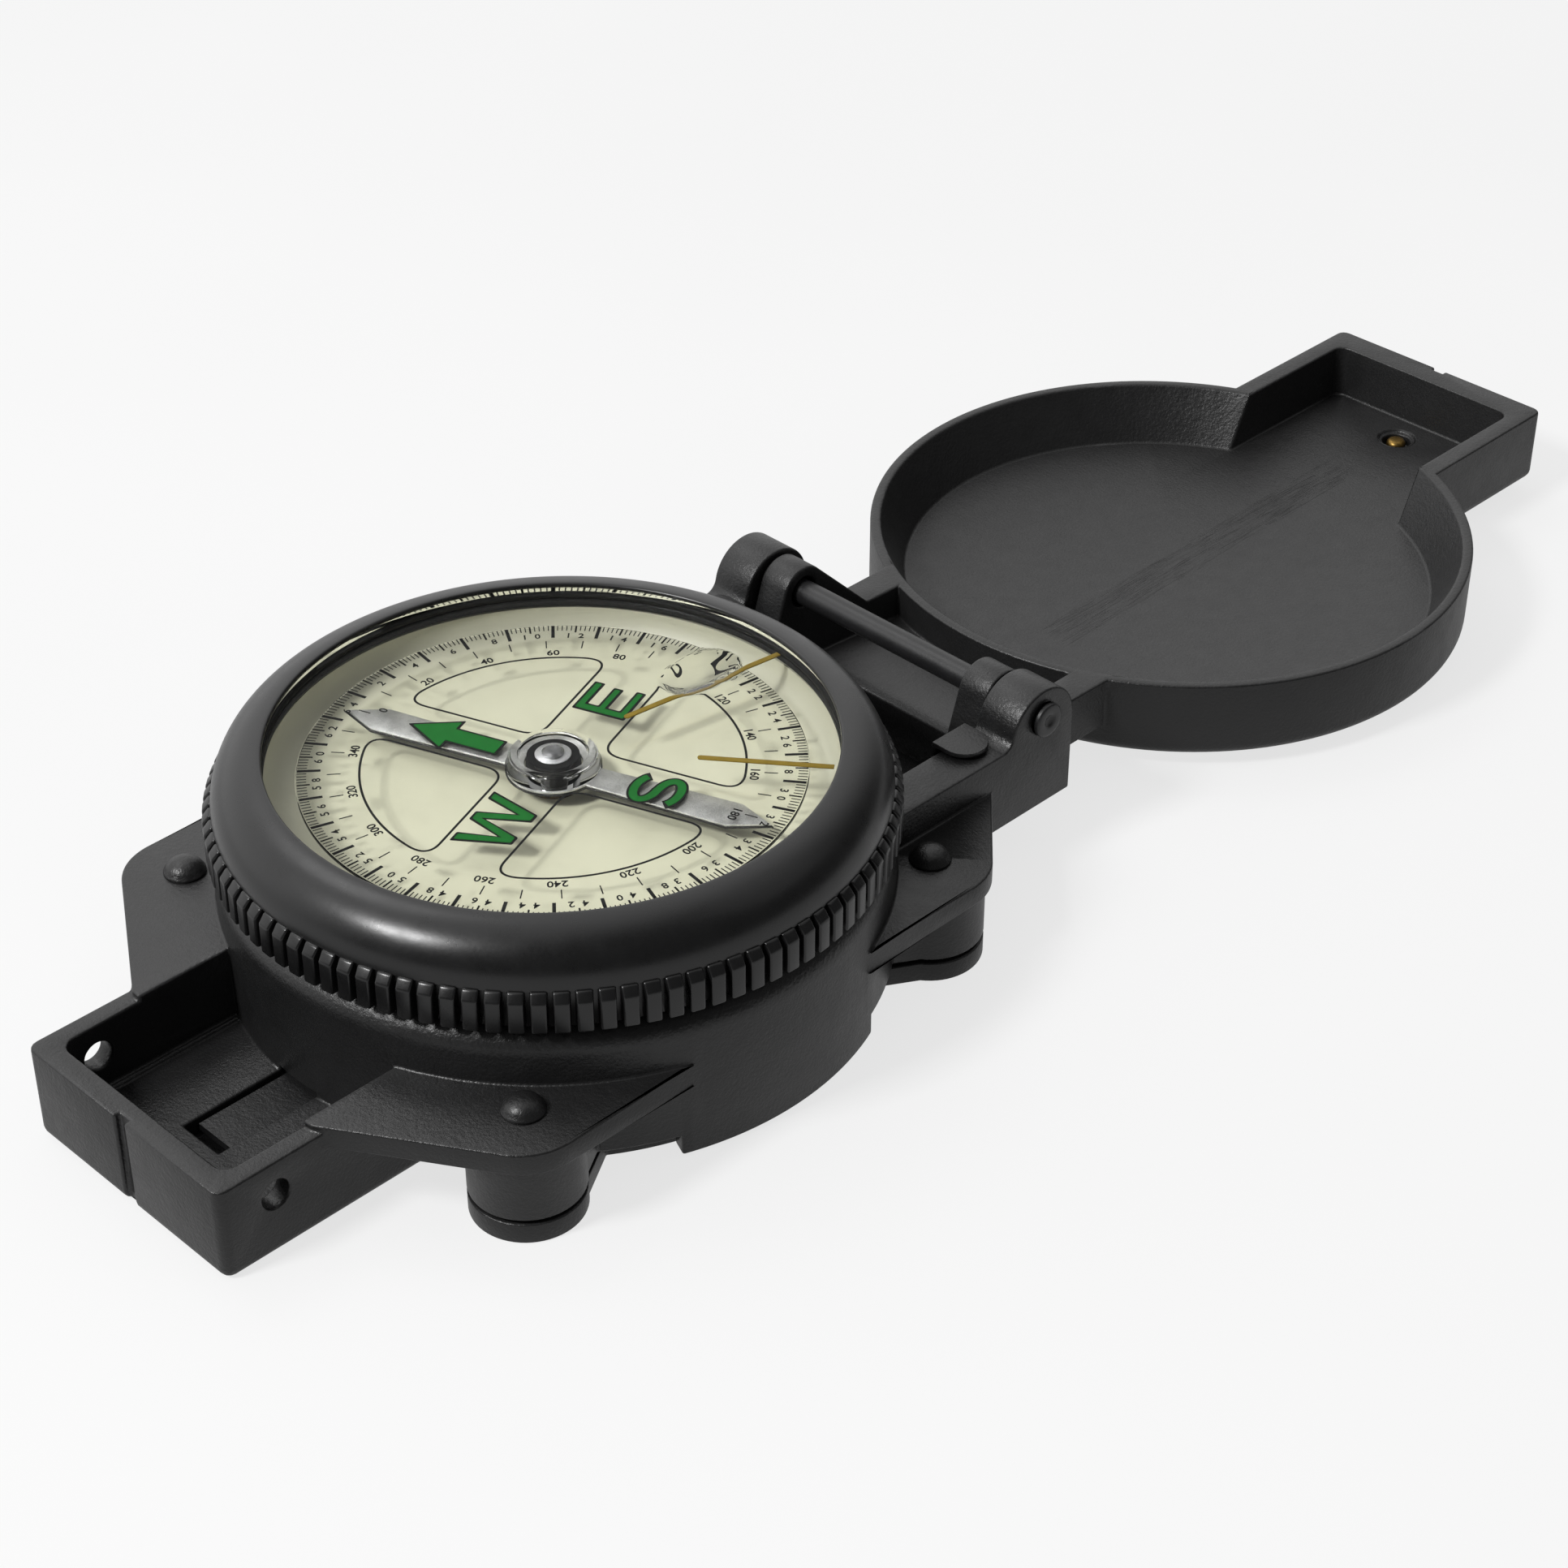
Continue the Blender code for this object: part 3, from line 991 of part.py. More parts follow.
def crystal():
    """Model the glass with its edge bevel and the magnifying blister moulded on top."""
    bevel = 2.0 * LAYER_GAP
    profile = [(0.0, CRYSTAL_TOP), (CRYSTAL_RADIUS - bevel, CRYSTAL_TOP), (CRYSTAL_RADIUS, CRYSTAL_TOP - bevel)]
    profile += [(CRYSTAL_RADIUS, CRYSTAL_BOTTOM), (0.0, CRYSTAL_BOTTOM)]
    disc = turned("crystal", profile, closed=False)
    bpy.ops.mesh.primitive_uv_sphere_add(segments=28, ring_count=16, radius=1.0)
    blister = take_primitive("magnifier_blister")
    depth = MAGNIFIER_HEIGHT + CRYSTAL_THICKNESS / 2.0
    blister.data.transform(Matrix.Diagonal((MAGNIFIER_HALF_WIDTH, MAGNIFIER_HALF_LENGTH, depth, 1.0)))
    centre = (MAGNIFIER_X, MAGNIFIER_Y, CRYSTAL_TOP - CRYSTAL_THICKNESS / 2.0)
    blister.data.transform(Matrix.Translation(centre))
    floor = CRYSTAL_BOTTOM + CRYSTAL_THICKNESS / 3.0
    low = (-MAGNIFIER_Y, 0.0, CRYSTAL_BOTTOM - OVERSHOOT)
    trim = block("blister_trim", low, (MAGNIFIER_Y, CRYSTAL_RADIUS, floor))
    cut(blister, trim)
    join(disc, blister)
    return dress(disc, "clear_glass")


def bearing_line(name, angle, inner):
    """Model one luminous line under the crystal, from an inner radius out to the bezel's lip."""
    top = CRYSTAL_BOTTOM - LAYER_GAP
    half = LINE_WIDTH / 2.0
    outline = arc((inner + half, 0.0), half, math.pi / 2.0, math.pi * 1.5, 5)
    outline += [(LINE_OUTER_RADIUS, -half), (LINE_OUTER_RADIUS, half)]
    strip = plate(name, [outline], top - LINE_THICKNESS, top)
    strip.data.transform(Matrix.Rotation(angle, 4, "Z"))
    return dress(strip, "line_gold")


def dial_liner():
    """Model the cream bowl under the card, with a cove up to the bezel and the lifter's hole."""
    cove = (LINER_FLAT_RADIUS, NECK_TOP)
    top_run = NECK_TOP - LINER_FLOOR
    width = LINER_RADIUS - LINER_THICKNESS / 2.0 - LINER_FLAT_RADIUS
    points = []
    for i in range(LINER_COVE_POINTS):
        a = math.pi / 2.0 * i / (LINER_COVE_POINTS - 1)
        points.append((cove[0] + width * math.cos(a), cove[1] - top_run * math.sin(a)))
    inner = [(LIFTER_HOLE_RADIUS, LINER_BOTTOM), (LIFTER_HOLE_RADIUS, LINER_FLOOR)] + list(reversed(points))
    liner = turned("dial_liner", inner + [(LINER_RADIUS, NECK_TOP), (LINER_RADIUS, LINER_BOTTOM)])
    return dress(liner, "liner_cream")


def pivot_post():
    """Model the steel post with its pointed tip, seated in the cover's boss."""
    tip = CARD_TOP - GAP
    profile = [(0.0, tip), (POST_TIP_RADIUS, tip), (POST_RADIUS, tip - POST_CONE_HEIGHT), (POST_RADIUS, POST_FOOT)]
    post = turned("pivot_post", profile + [(0.0, POST_FOOT)], 16, closed=False)
    return dress(post, "bright_steel")


def jewel_cup():
    """Model the brass cup that turns on the post's tip, with the stem that holds the card."""
    step = CARD_BOTTOM - HUB_GAP
    top = HUB_FLOOR - HUB_GAP
    profile = [(0.0, top), (CUP_STEM_RADIUS, top), (CUP_STEM_RADIUS, step), (CUP_RADIUS, step)]
    profile += [(CUP_RADIUS, CUP_BOTTOM), (CUP_BORE_RADIUS, CUP_BOTTOM)]
    cup = turned("jewel_cup", profile + [(0.0, CARD_TOP)], 20, closed=False)
    return dress(cup, "brass")


def card_frame(made):
    """Turn a piece of the moving card so that its own +Y, the north, points where the photo has it."""
    made.data.transform(Matrix.Rotation(NORTH_ANGLE - math.pi / 2.0, 4, "Z"))
    return made


def compass_card():
    """Model the clear card that carries the printed scales, with the rimmed hub moulded on it."""
    bore = CUP_STEM_RADIUS + LAYER_GAP
    rim_top = HUB_FLOOR + HUB_RIM_HEIGHT
    profile = [(bore, HUB_FLOOR), (HUB_RIM_INNER, HUB_FLOOR), (HUB_RIM_INNER, rim_top), (HUB_RADIUS, rim_top)]
    profile += [(HUB_RADIUS, CARD_TOP), (CARD_RADIUS, CARD_TOP), (CARD_RADIUS, CARD_BOTTOM), (bore, CARD_BOTTOM)]
    return dress(turned("compass_card", profile, INNER_FACETS), "clear_plastic")


def magnet_needle():
    """Model the magnet bar under the card: pointed ends, slightly waisted towards its round eye."""
    corners = [(NEEDLE_WAIST, 0.0), (NEEDLE_HALF_WIDTH, NEEDLE_SHOULDER)]
    tip = (0.0, NEEDLE_HALF_LENGTH)
    outline = [(x, -y) for x, y in reversed(corners[1:])] + corners + [tip]
    outline += [(-x, y) for x, y in reversed(corners)] + [(-x, -y) for x, y in corners[1:]] + [(0.0, -tip[1])]
    bar = plate("magnet_needle", [outline], NEEDLE_BOTTOM, NEEDLE_TOP)
    low = (0.0, 0.0, NEEDLE_BOTTOM - OVERSHOOT)
    join(bar, rod("needle_eye", (0.0, 0.0, NEEDLE_BOTTOM), (0.0, 0.0, NEEDLE_TOP), NEEDLE_EYE_RADIUS, INNER_FACETS))
    hole = BUSH_RADIUS + LAYER_GAP
    cut(bar, rod("needle_hole", low, (0.0, 0.0, NEEDLE_TOP + OVERSHOOT), hole, INNER_FACETS))
    card_frame(bar)
    return dress(bar, "magnet_silver")


def hub_parts():
    """Model what sits in the hub: black bush in the needle's eye, washer and the cup's riveted button."""
    bush = flat_ring("hub_bush", CUP_RADIUS + LAYER_GAP, BUSH_RADIUS, NEEDLE_BOTTOM, NEEDLE_TOP, 32)
    dress(bush, "gasket_black")
    low = HUB_FLOOR + HUB_GAP
    washer = turned("hub_washer", [(0.0, WASHER_TOP), (HUB_WASHER_RADIUS, WASHER_TOP), (HUB_WASHER_RADIUS, low),
                                   (0.0, low)], 32, closed=False)
    dress(washer, "magnet_silver")
    low = WASHER_TOP + HUB_GAP
    high = low + HUB_BUTTON_HEIGHT
    profile = [(0.0, high), (HUB_BUTTON_RADIUS - LAYER_GAP, high), (HUB_BUTTON_RADIUS, high - LAYER_GAP)]
    profile += [(HUB_BUTTON_RADIUS, low), (0.0, low)]
    dress(turned("hub_button", profile, 24, closed=False), "bright_steel")


def printed(name, outline):
    """Model one luminous mark printed on the card, from an outline drawn with north up."""
    made = plate(name, [outline], PRINT_BOTTOM, PRINT_BOTTOM + PRINT_THICKNESS)
    return dress(card_frame(made), "signal_green")


def letter_e():
    """Model the luminous letter E, upright when the card's north is up."""
    half = LETTER_HEIGHT / 2.0
    bar = LETTER_STROKE
    left = EAST_LETTER_CENTRE - EAST_LETTER_WIDTH / 2.0
    right = left + EAST_LETTER_WIDTH
    stem = left + bar
    middle = right - bar / 4.0
    outline = [(left, -half), (right, -half), (right, -half + bar), (stem, -half + bar), (stem, -bar / 2.0)]
    outline += [(middle, -bar / 2.0), (middle, bar / 2.0), (stem, bar / 2.0), (stem, half - bar)]
    outline += [(right, half - bar), (right, half), (left, half)]
    return printed("letter_e", outline)


def letter_w():
    """Model the luminous letter W, upright when the card's north is up."""
    half = LETTER_HEIGHT / 2.0
    left = -WEST_LETTER_CENTRE - WEST_LETTER_WIDTH / 2.0
    right = left + WEST_LETTER_WIDTH
    middle = -WEST_LETTER_CENTRE
    foot = LETTER_STROKE / 2.0
    first = left + WEST_LETTER_WIDTH * 0.28
    last = right - WEST_LETTER_WIDTH * 0.28
    valley = half - LETTER_STROKE * 1.2
    crotch = -half + LETTER_STROKE * 1.65
    end = LETTER_STROKE * 1.15
    outline = [(left, half), (first - foot, -half), (first + foot, -half), (middle, valley), (last - foot, -half)]
    outline += [(last + foot, -half), (right, half), (right - end, half), (last, crotch), (middle + foot, half)]
    outline += [(middle - foot, half), (first, crotch), (left + end, half)]
    return printed("letter_w", outline)


def letter_s():
    """Model the luminous letter S over the bar's south end, as a band along two arcs."""
    radius_x = (SOUTH_LETTER_WIDTH - LETTER_STROKE) / 2.0
    radius_y = (LETTER_HEIGHT - LETTER_STROKE) / 4.0
    steps = 9
    spine = []
    for i in range(steps):
        a = math.radians(25.0) + (math.radians(270.0) - math.radians(25.0)) * i / (steps - 1)
        spine.append((radius_x * math.cos(a), radius_y + radius_y * math.sin(a)))
    spine += [(-x, -y) for x, y in reversed(spine[:-1])]
    left_side, right_side = [], []
    for i, point in enumerate(spine):
        before = Vector(spine[max(i - 1, 0)])
        after = Vector(spine[min(i + 1, len(spine) - 1)])
        along = (after - before).normalized()
        across = Vector((-along.y, along.x)) * LETTER_STROKE / 2.0
        left_side.append(tuple(Vector(point) + across))
        right_side.append(tuple(Vector(point) - across))
    outline = left_side + list(reversed(right_side))
    return printed("letter_s", [(x, y - SOUTH_LETTER_CENTRE) for x, y in outline])


def north_arrow():
    """Model the luminous arrow over the bar's north end."""
    neck = ARROW_TIP - ARROW_HEAD_LENGTH
    right = [(ARROW_SHAFT_HALF_WIDTH, ARROW_BASE), (ARROW_SHAFT_HALF_WIDTH, neck), (ARROW_HEAD_HALF_WIDTH, neck)]
    return printed("north_arrow", right + [(0.0, ARROW_TIP)] + [(-x, y) for x, y in reversed(right)])


def lock_lever():
    """Model the needle lock's lever: tongue in the box floor, jog, pivot eye and fork under the lifter."""
    low = LEVER_FRONT_BOTTOM
    high = LEVER_REAR_BOTTOM
    thick = LEVER_THICKNESS
    outline = [(LEVER_TIP, low), (LEVER_JOG_START, low), (LEVER_JOG_END, high), (LEVER_END, high)]
    outline += [(LEVER_END, high + thick), (LEVER_JOG_END - thick / 3.0, high + thick)]
    outline += [(LEVER_JOG_START - thick / 3.0, low + thick), (LEVER_TIP, low + thick)]
    lever = side_plate("lock_lever", outline, -LEVER_HALF_WIDTH, LEVER_HALF_WIDTH)
    left = (-LEVER_HALF_WIDTH + LAYER_GAP, LEVER_PIVOT_Y, LEVER_PIVOT_Z)
    right = (LEVER_HALF_WIDTH - LAYER_GAP, LEVER_PIVOT_Y, LEVER_PIVOT_Z)
    join(lever, rod("lever_eye", left, right, LEVER_EYE_RADIUS))
    reach = LEVER_HALF_WIDTH + OVERSHOOT
    bore = LEVER_PIN_RADIUS + LAYER_GAP
    left = (-reach, LEVER_PIVOT_Y, LEVER_PIVOT_Z)
    cut(lever, rod("lever_bore", left, (reach, LEVER_PIVOT_Y, LEVER_PIVOT_Z), bore, 16))
    fork_low = (-FORK_HALF_WIDTH, FORK_START, high - OVERSHOOT)
    cut(lever, block("lever_fork", fork_low, (FORK_HALF_WIDTH, LEVER_END + OVERSHOOT, high + thick + OVERSHOOT)))
    dress(lever, "blackened_steel")
    set_origin(lever, (0.0, LEVER_PIVOT_Y, LEVER_PIVOT_Z))
    return lever


def lock_lever_pin():
    """Model the pin that the lever turns on."""
    left = (-LEVER_PIN_HALF_LENGTH, LEVER_PIVOT_Y, LEVER_PIVOT_Z)
    pin = rod("lock_lever_pin", left, (LEVER_PIN_HALF_LENGTH, LEVER_PIVOT_Y, LEVER_PIVOT_Z), LEVER_PIN_RADIUS, 16)
    return dress(pin, "bright_steel")


def lock_lifter():
    """Model the sleeve round the post that lifts the card off its point."""
    collar_top = LIFTER_BOTTOM + LIFTER_COLLAR_HEIGHT
    profile = [(LIFTER_BORE_RADIUS, LIFTER_TOP), (LIFTER_RADIUS, LIFTER_TOP), (LIFTER_RADIUS, collar_top)]
    profile += [(LIFTER_COLLAR_RADIUS, collar_top), (LIFTER_COLLAR_RADIUS, LIFTER_BOTTOM)]
    lifter = turned("lock_lifter", profile + [(LIFTER_BORE_RADIUS, LIFTER_BOTTOM)], 24)
    return dress(lifter, "brass")


def lock_spring():
    """Model the coil spring that holds the lifter down, as one unbroken wire."""
    count = SPRING_TURNS * SPRING_POINTS_PER_TURN
    curve = bpy.data.curves.new("lock_spring", "CURVE")
    curve.dimensions = "3D"
    curve.bevel_depth = SPRING_WIRE_RADIUS
    curve.bevel_resolution = 1
    curve.use_fill_caps = True
    wire = curve.splines.new("POLY")
    wire.points.add(count)
    for i, point in enumerate(wire.points):
        angle = math.tau * i / SPRING_POINTS_PER_TURN
        height = SPRING_BOTTOM + (SPRING_TOP - SPRING_BOTTOM) * i / count
        point.co = (SPRING_RADIUS * math.cos(angle), SPRING_RADIUS * math.sin(angle), height, 1.0)
    spring = to_mesh(add_object("lock_spring_path", curve), "lock_spring")
    return dress(spring, "spring_steel")


def lid_spring(name, side):
    """Model the leaf spring before one lid knuckle: tab on the arm, blade down the well and foot."""
    blade = ARM_INNER - GAP
    low_z = COVER_THICKNESS + GAP
    tab_low = ARM_TOP + GAP
    radius = LEAF_TAB_WIDTH / 2.0
    centre = (LEAF_TAB_END - radius, LEAF_FRONT + radius)
    outline = [(blade - LEAF_THICKNESS, LEAF_FRONT)] + arc(centre, radius, -math.pi / 2.0, math.pi / 2.0, 11)
    outline.append((blade - LEAF_THICKNESS, LEAF_FRONT + LEAF_TAB_WIDTH))
    leaf = plate(name, [outline], tab_low, tab_low + LEAF_THICKNESS)
    rear = LEAF_FRONT + LEAF_BLADE_WIDTH
    inset = LAYER_GAP / 2.0
    low = (blade - LEAF_THICKNESS + inset, LEAF_FRONT + inset, low_z)
    upright = block(name + "_blade", low, (blade, rear, tab_low + LEAF_THICKNESS - inset))
    foot_low = (LEAF_FOOT_INNER, LEAF_FRONT + 2.0 * inset, low_z)
    foot = block(name + "_foot", foot_low, (blade - inset, rear - inset, low_z + LEAF_THICKNESS))
    if side < 0:
        for piece in (leaf, upright, foot):
            piece.data.transform(Matrix.Scale(-1.0, 4, (1.0, 0.0, 0.0)))
            piece.data.flip_normals()
    join(leaf, upright)
    join(leaf, foot)
    return dress(leaf, "blackened_steel")


def build():
    """Build the whole compass."""
    case_body()
    bottom_cover()
    for x_name, x in (("left", -RIVET_X), ("right", RIVET_X)):
        for y_name, y in (("front", -RIVET_Y), ("rear", RIVET_Y)):
            cover_rivet("cover_rivet_" + y_name + "_" + x_name, (x, y))
    hinge_pin()
    lid()
    sight_stud()
    lid_spring("lid_spring_right", 1)
    lid_spring("lid_spring_left", -1)
    bezel()
    bezel_snap_ring()
    bezel_click_spring()
    crystal()
    gasket_bottom = GASKET_TOP - GASKET_THICKNESS
    dress(flat_ring("crystal_gasket", OPENING_RADIUS, CRYSTAL_RADIUS, gasket_bottom, GASKET_TOP), "gasket_black")
    retainer = flat_ring("crystal_retainer", OPENING_RADIUS, CRYSTAL_RADIUS, RETAINER_BOTTOM, RETAINER_TOP)
    dress(retainer, "bezel_black")
    bearing_line("bearing_line_long", LONG_LINE_ANGLE, LONG_LINE_START)
    bearing_line("bearing_line_short", SHORT_LINE_ANGLE, SHORT_LINE_START)
    dial_liner()
    pivot_post()
    jewel_cup()
    compass_card()
    magnet_needle()
    hub_parts()
    letter_e()
    letter_w()
    letter_s()
    north_arrow()
    lock_lever()
    lock_lever_pin()
    lock_lifter()
    lock_spring()


clear_scene()
PARTS = new_collection("magnetic_compass")
TOOLS = new_collection("construction_tools")
build()
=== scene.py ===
"""Looks of a folding magnetic compass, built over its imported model.

Every visible piece is modelled here in millimetres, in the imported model's frame, and scaled to metres when
it is finished. X runs along the hinge pin, Y from the sighting box to the lid, and Z up from the table.
"""
import logging
import math
from dataclasses import dataclass, field
from enum import Enum
from typing import Callable, Iterable, Optional, Sequence

import bmesh
import bpy
import numpy as np
from mathutils import Matrix, Vector


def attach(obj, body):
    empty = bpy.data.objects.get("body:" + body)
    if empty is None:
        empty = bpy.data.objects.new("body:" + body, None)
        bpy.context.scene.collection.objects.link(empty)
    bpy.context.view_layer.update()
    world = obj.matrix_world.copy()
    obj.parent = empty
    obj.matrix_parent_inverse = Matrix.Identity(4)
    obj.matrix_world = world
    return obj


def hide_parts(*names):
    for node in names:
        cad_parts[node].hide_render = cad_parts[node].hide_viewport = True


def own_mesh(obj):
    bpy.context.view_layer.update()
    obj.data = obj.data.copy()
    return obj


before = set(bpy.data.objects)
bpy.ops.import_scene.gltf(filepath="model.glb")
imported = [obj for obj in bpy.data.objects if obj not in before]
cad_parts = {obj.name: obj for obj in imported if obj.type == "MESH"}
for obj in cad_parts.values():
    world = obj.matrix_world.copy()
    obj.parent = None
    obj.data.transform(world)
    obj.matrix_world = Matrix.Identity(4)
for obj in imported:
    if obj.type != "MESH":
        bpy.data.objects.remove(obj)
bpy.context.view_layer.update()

LOG = logging.getLogger("compass")
TO_METRES = 0.001
ROUNDED = "rounded_edge"
QUARTER = math.pi / 2.0
CAST_ROUND = 0.22
BOX_CORNER = 0.9
PIN_PLAY = 0.3
PAST = 1.0  # how far a cutter reaches past what it cuts
Point = tuple[float, float]
Point3 = tuple[float, float, float]


class Body(Enum):
    """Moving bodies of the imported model."""

    CASE = "case"
    LID = "lid"
    BEZEL = "bezel"
    DIAL = "dial"
    LEVER = "lock_lever"


class Op(Enum):
    """What a tool does to a solid."""

    JOIN = "UNION"
    CUT = "DIFFERENCE"


@dataclass(frozen=True)
class CaseSizes:
    """Cast case: bowl, ears, feet, sighting box and hinge arms."""

    box_end: float = -13.3
    hollow_end: float = -12.3
    hollow_corner: float = 1.2
    line_inset: float = 0.5
    line_width: float = 0.35
    line_depth: float = 0.22
    line_end: float = -11.8
    slot_front: float = -24.0
    arm_root: float = 20.2
    pin_reach: float = 18.5
    hole_reach: float = 12.6
    bowl: float = 26.6
    cavity: float = 25.0
    cavity_top: float = 22.6
    skirt_bottom: float = 0.3
    shoulder_top: float = 13.45
    shoulder_round: float = 2.2
    cavity_shoulder: float = 10.6
    deck_bottom: float = 13.5
    deck_top: float = 15.1
    neck: float = 24.0
    neck_top: float = 18.2
    recess: float = 22.9
    lifter_hole: float = 2.15
    rivet_x: float = 20.10
    rivet_y: float = 21.27
    ear_radius: float = 4.93
    ear_bottom: float = 6.87
    ear_top: float = 8.82
    front_edge: float = math.radians(-57.7)
    rear_edge: float = math.radians(42.6)
    boss_radius: float = 4.43
    boss_bottom: float = 2.1
    lobe_flare: float = math.radians(11.0)
    notch_start: float = math.radians(22.3)
    box_half: float = 11.55
    box_front: float = -42.0
    box_top: float = 8.29
    box_floor: float = 2.4
    side_wall: float = 1.7
    front_wall: float = 1.9
    hole_radius: float = 1.2
    hole_y: float = -37.1
    hole_z: float = 5.4
    groove_half: float = 0.6
    groove_depth: float = 0.55
    slot_half: float = 2.15
    slot_end: float = -35.5
    slot_floor: float = 0.6
    slot_roof: float = 2.65
    arm_outer: float = 17.45
    arm_inner: float = 13.4
    arm_bottom: float = 4.5
    arm_top: float = 11.9
    arm_fillet: float = 1.2
    knuckle: float = 3.7
    knuckle_z: float = 12.15


@dataclass(frozen=True)
class CoverSizes:
    """Bottom cover with its four lobes, tail and lever lugs."""

    radius: float = 24.7
    thickness: float = 1.8
    tail_half: float = 13.36
    tail_end: float = 38.1
    lug_inner: float = 2.2
    lug_thickness: float = 1.0
    lug_half: float = 1.3
    lug_top: float = 4.5
    lug_y: float = -17.5
    boss_radius: float = 2.4
    boss_top: float = 3.3
    notch_half: float = 2.45
    notch_end: float = -20.2
    sink_radius: float = 1.8
    sink_top: float = 0.9


@dataclass(frozen=True)
class LeverSizes:
    """Lock lever: tongue under the box's floor, crank, tail and the fork round the sleeve."""

    half_width: float = 1.9
    thickness: float = 0.6
    front: float = -34.3
    crank_front: float = -24.2
    crank_rear: float = -21.2
    crank_lean: float = 0.2
    rear: float = 2.6
    tongue_bottom: float = 1.4
    tail_bottom: float = 4.1
    eye_z: float = 3.3
    eye_radius: float = 1.15
    eye_half: float = 1.8
    eye_bore: float = 0.6
    fork_half: float = 1.15
    fork_front: float = -3.2


@dataclass(frozen=True)
class HingeSizes:
    """Hinge pin, its riveted heads and the leaf springs beside the lid's knuckles."""

    y: float = 37.55
    z: float = 13.2
    radius: float = 1.1
    head_radius: float = 1.5
    head_start: float = 17.65
    head_end: float = 18.1
    dimple_depth: float = 0.25
    leaf_front: float = 29.2
    leaf_blade: float = 13.1
    leaf_thickness: float = 0.4
    leaf_tab_width: float = 4.0
    leaf_tab_end: float = 16.45
    leaf_tab_bottom: float = 12.2
    leaf_blade_width: float = 2.8
    leaf_foot_inner: float = 10.9
    leaf_foot_bottom: float = 2.1


@dataclass(frozen=True)
class LidSizes:
    """Lid: round tray, box end, hinge arms and the web between them."""

    pin_reach: float = 14.1
    centre_y: float = 75.19
    radius: float = 27.55
    rim: float = 8.69
    bottom: float = 1.40
    floor: float = 3.40
    floor_radius: float = 24.35
    rim_width: float = 0.93
    edge_round: float = 1.2
    box_half: float = 12.05
    box_end: float = 117.34
    side_wall: float = 1.95
    end_wall: float = 2.85
    corner_round: float = 1.2
    arm_outer: float = 13.1
    arm_inner: float = 10.06
    knuckle: float = 2.4
    toe_reach: float = 4.8
    toe_drop: float = 7.0
    heel_reach: float = 1.25
    arm_bottom: float = 4.0
    ramp: float = 8.05
    web_front: float = 38.2
    web_top: float = 6.3
    web_fall: float = 1.0
    web_chamfer: float = 0.8
    notch_half: float = 0.6
    notch_depth: float = 0.5
    stud_y: float = 111.0
    stud_radius: float = 0.95
    stud_hole: float = 1.35
    stud_hole_depth: float = 1.2
    stud_ring: float = 1.8
    stud_ring_depth: float = 0.25


@dataclass(frozen=True)
class BezelSizes:
    """Turning bezel: dome, bore, crystal seat and knurled band."""

    knurl: float = 27.0
    bottom: float = 13.76
    face_top: float = 16.5
    top: float = 17.2
    teeth: int = 102
    tooth_depth: float = 0.85
    tooth_chamfer: float = 0.55
    root_share: float = 0.42
    tip_share: float = 0.345
    dome: float = 26.3
    dome_base: float = 17.15
    dome_height: float = 4.0
    opening: float = 22.1
    lip: float = 0.35
    seat: float = 23.1
    seat_bottom: float = 18.45
    bore: float = 24.3


@dataclass(frozen=True)
class GlassSizes:
    """Crystal with its magnifying blister, and what lies under its edge."""

    radius: float = 22.85
    edge: float = 22.3
    flange: float = 19.85
    bottom: float = 19.7
    top: float = 20.7
    bevel: float = 0.05
    lens_x: float = 1.1
    lens_y: float = 14.6
    lens_half_width: float = 2.2
    lens_half_length: float = 3.7
    lens_height: float = 0.38
    gasket_bottom: float = 19.2
    gasket_top: float = 19.6
    retainer_bottom: float = 18.55
    retainer_top: float = 19.1
    line_bottom: float = 19.48
    line_top: float = 19.6
    line_width: float = 0.50
    line_outer: float = 21.7
    long_angle: float = math.radians(82.2)
    long_start: float = 6.7
    short_angle: float = math.radians(38.0)
    short_start: float = 11.2


@dataclass(frozen=True)
class DialSizes:
    """Liner, clear card, needle, hub and print."""

    north: float = math.radians(200.36)
    liner_bottom: float = 15.4
    liner_top: float = 18.2
    liner_bore: float = 2.15
    liner_floor: float = 16.0
    liner_radius: float = 22.6
    liner_flat: float = 20.2
    card_radius: float = 19.75
    card_bottom: float = 17.75
    card_top: float = 18.05
    bore: float = 1.3
    hub_radius: float = 3.5
    hub_floor: float = 18.85
    hub_rim: float = 19.1
    hub_rim_inner: float = 2.72
    needle_bottom: float = 17.35
    needle_top: float = 17.65
    needle_half: float = 18.65
    needle_shoulder: float = 15.4
    needle_width: float = 1.6
    needle_waist: float = 1.35
    needle_eye: float = 3.75
    needle_hole: float = 2.25
    bush_inner: float = 1.6
    bush_outer: float = 2.15
    washer_radius: float = 1.42
    washer_bottom: float = 18.9
    washer_top: float = 19.0
    button_radius: float = 0.87
    button_bottom: float = 19.05
    button_top: float = 19.33
    # Radii of a black ring round the washer on the hub floor: painted shade of the washer.
    ring_inner: float = 1.42
    ring_outer: float = 2.05
    print_bottom: float = 18.08
    ink_top: float = 18.10
    border_top: float = 18.105
    print_top: float = 18.13
    letter_border: float = 0.21
    s_centre: float = -8.93
    s_half_length: float = 1.60
    s_radius: float = 0.885
    s_width: float = 1.02
    s_face_width: float = 0.64


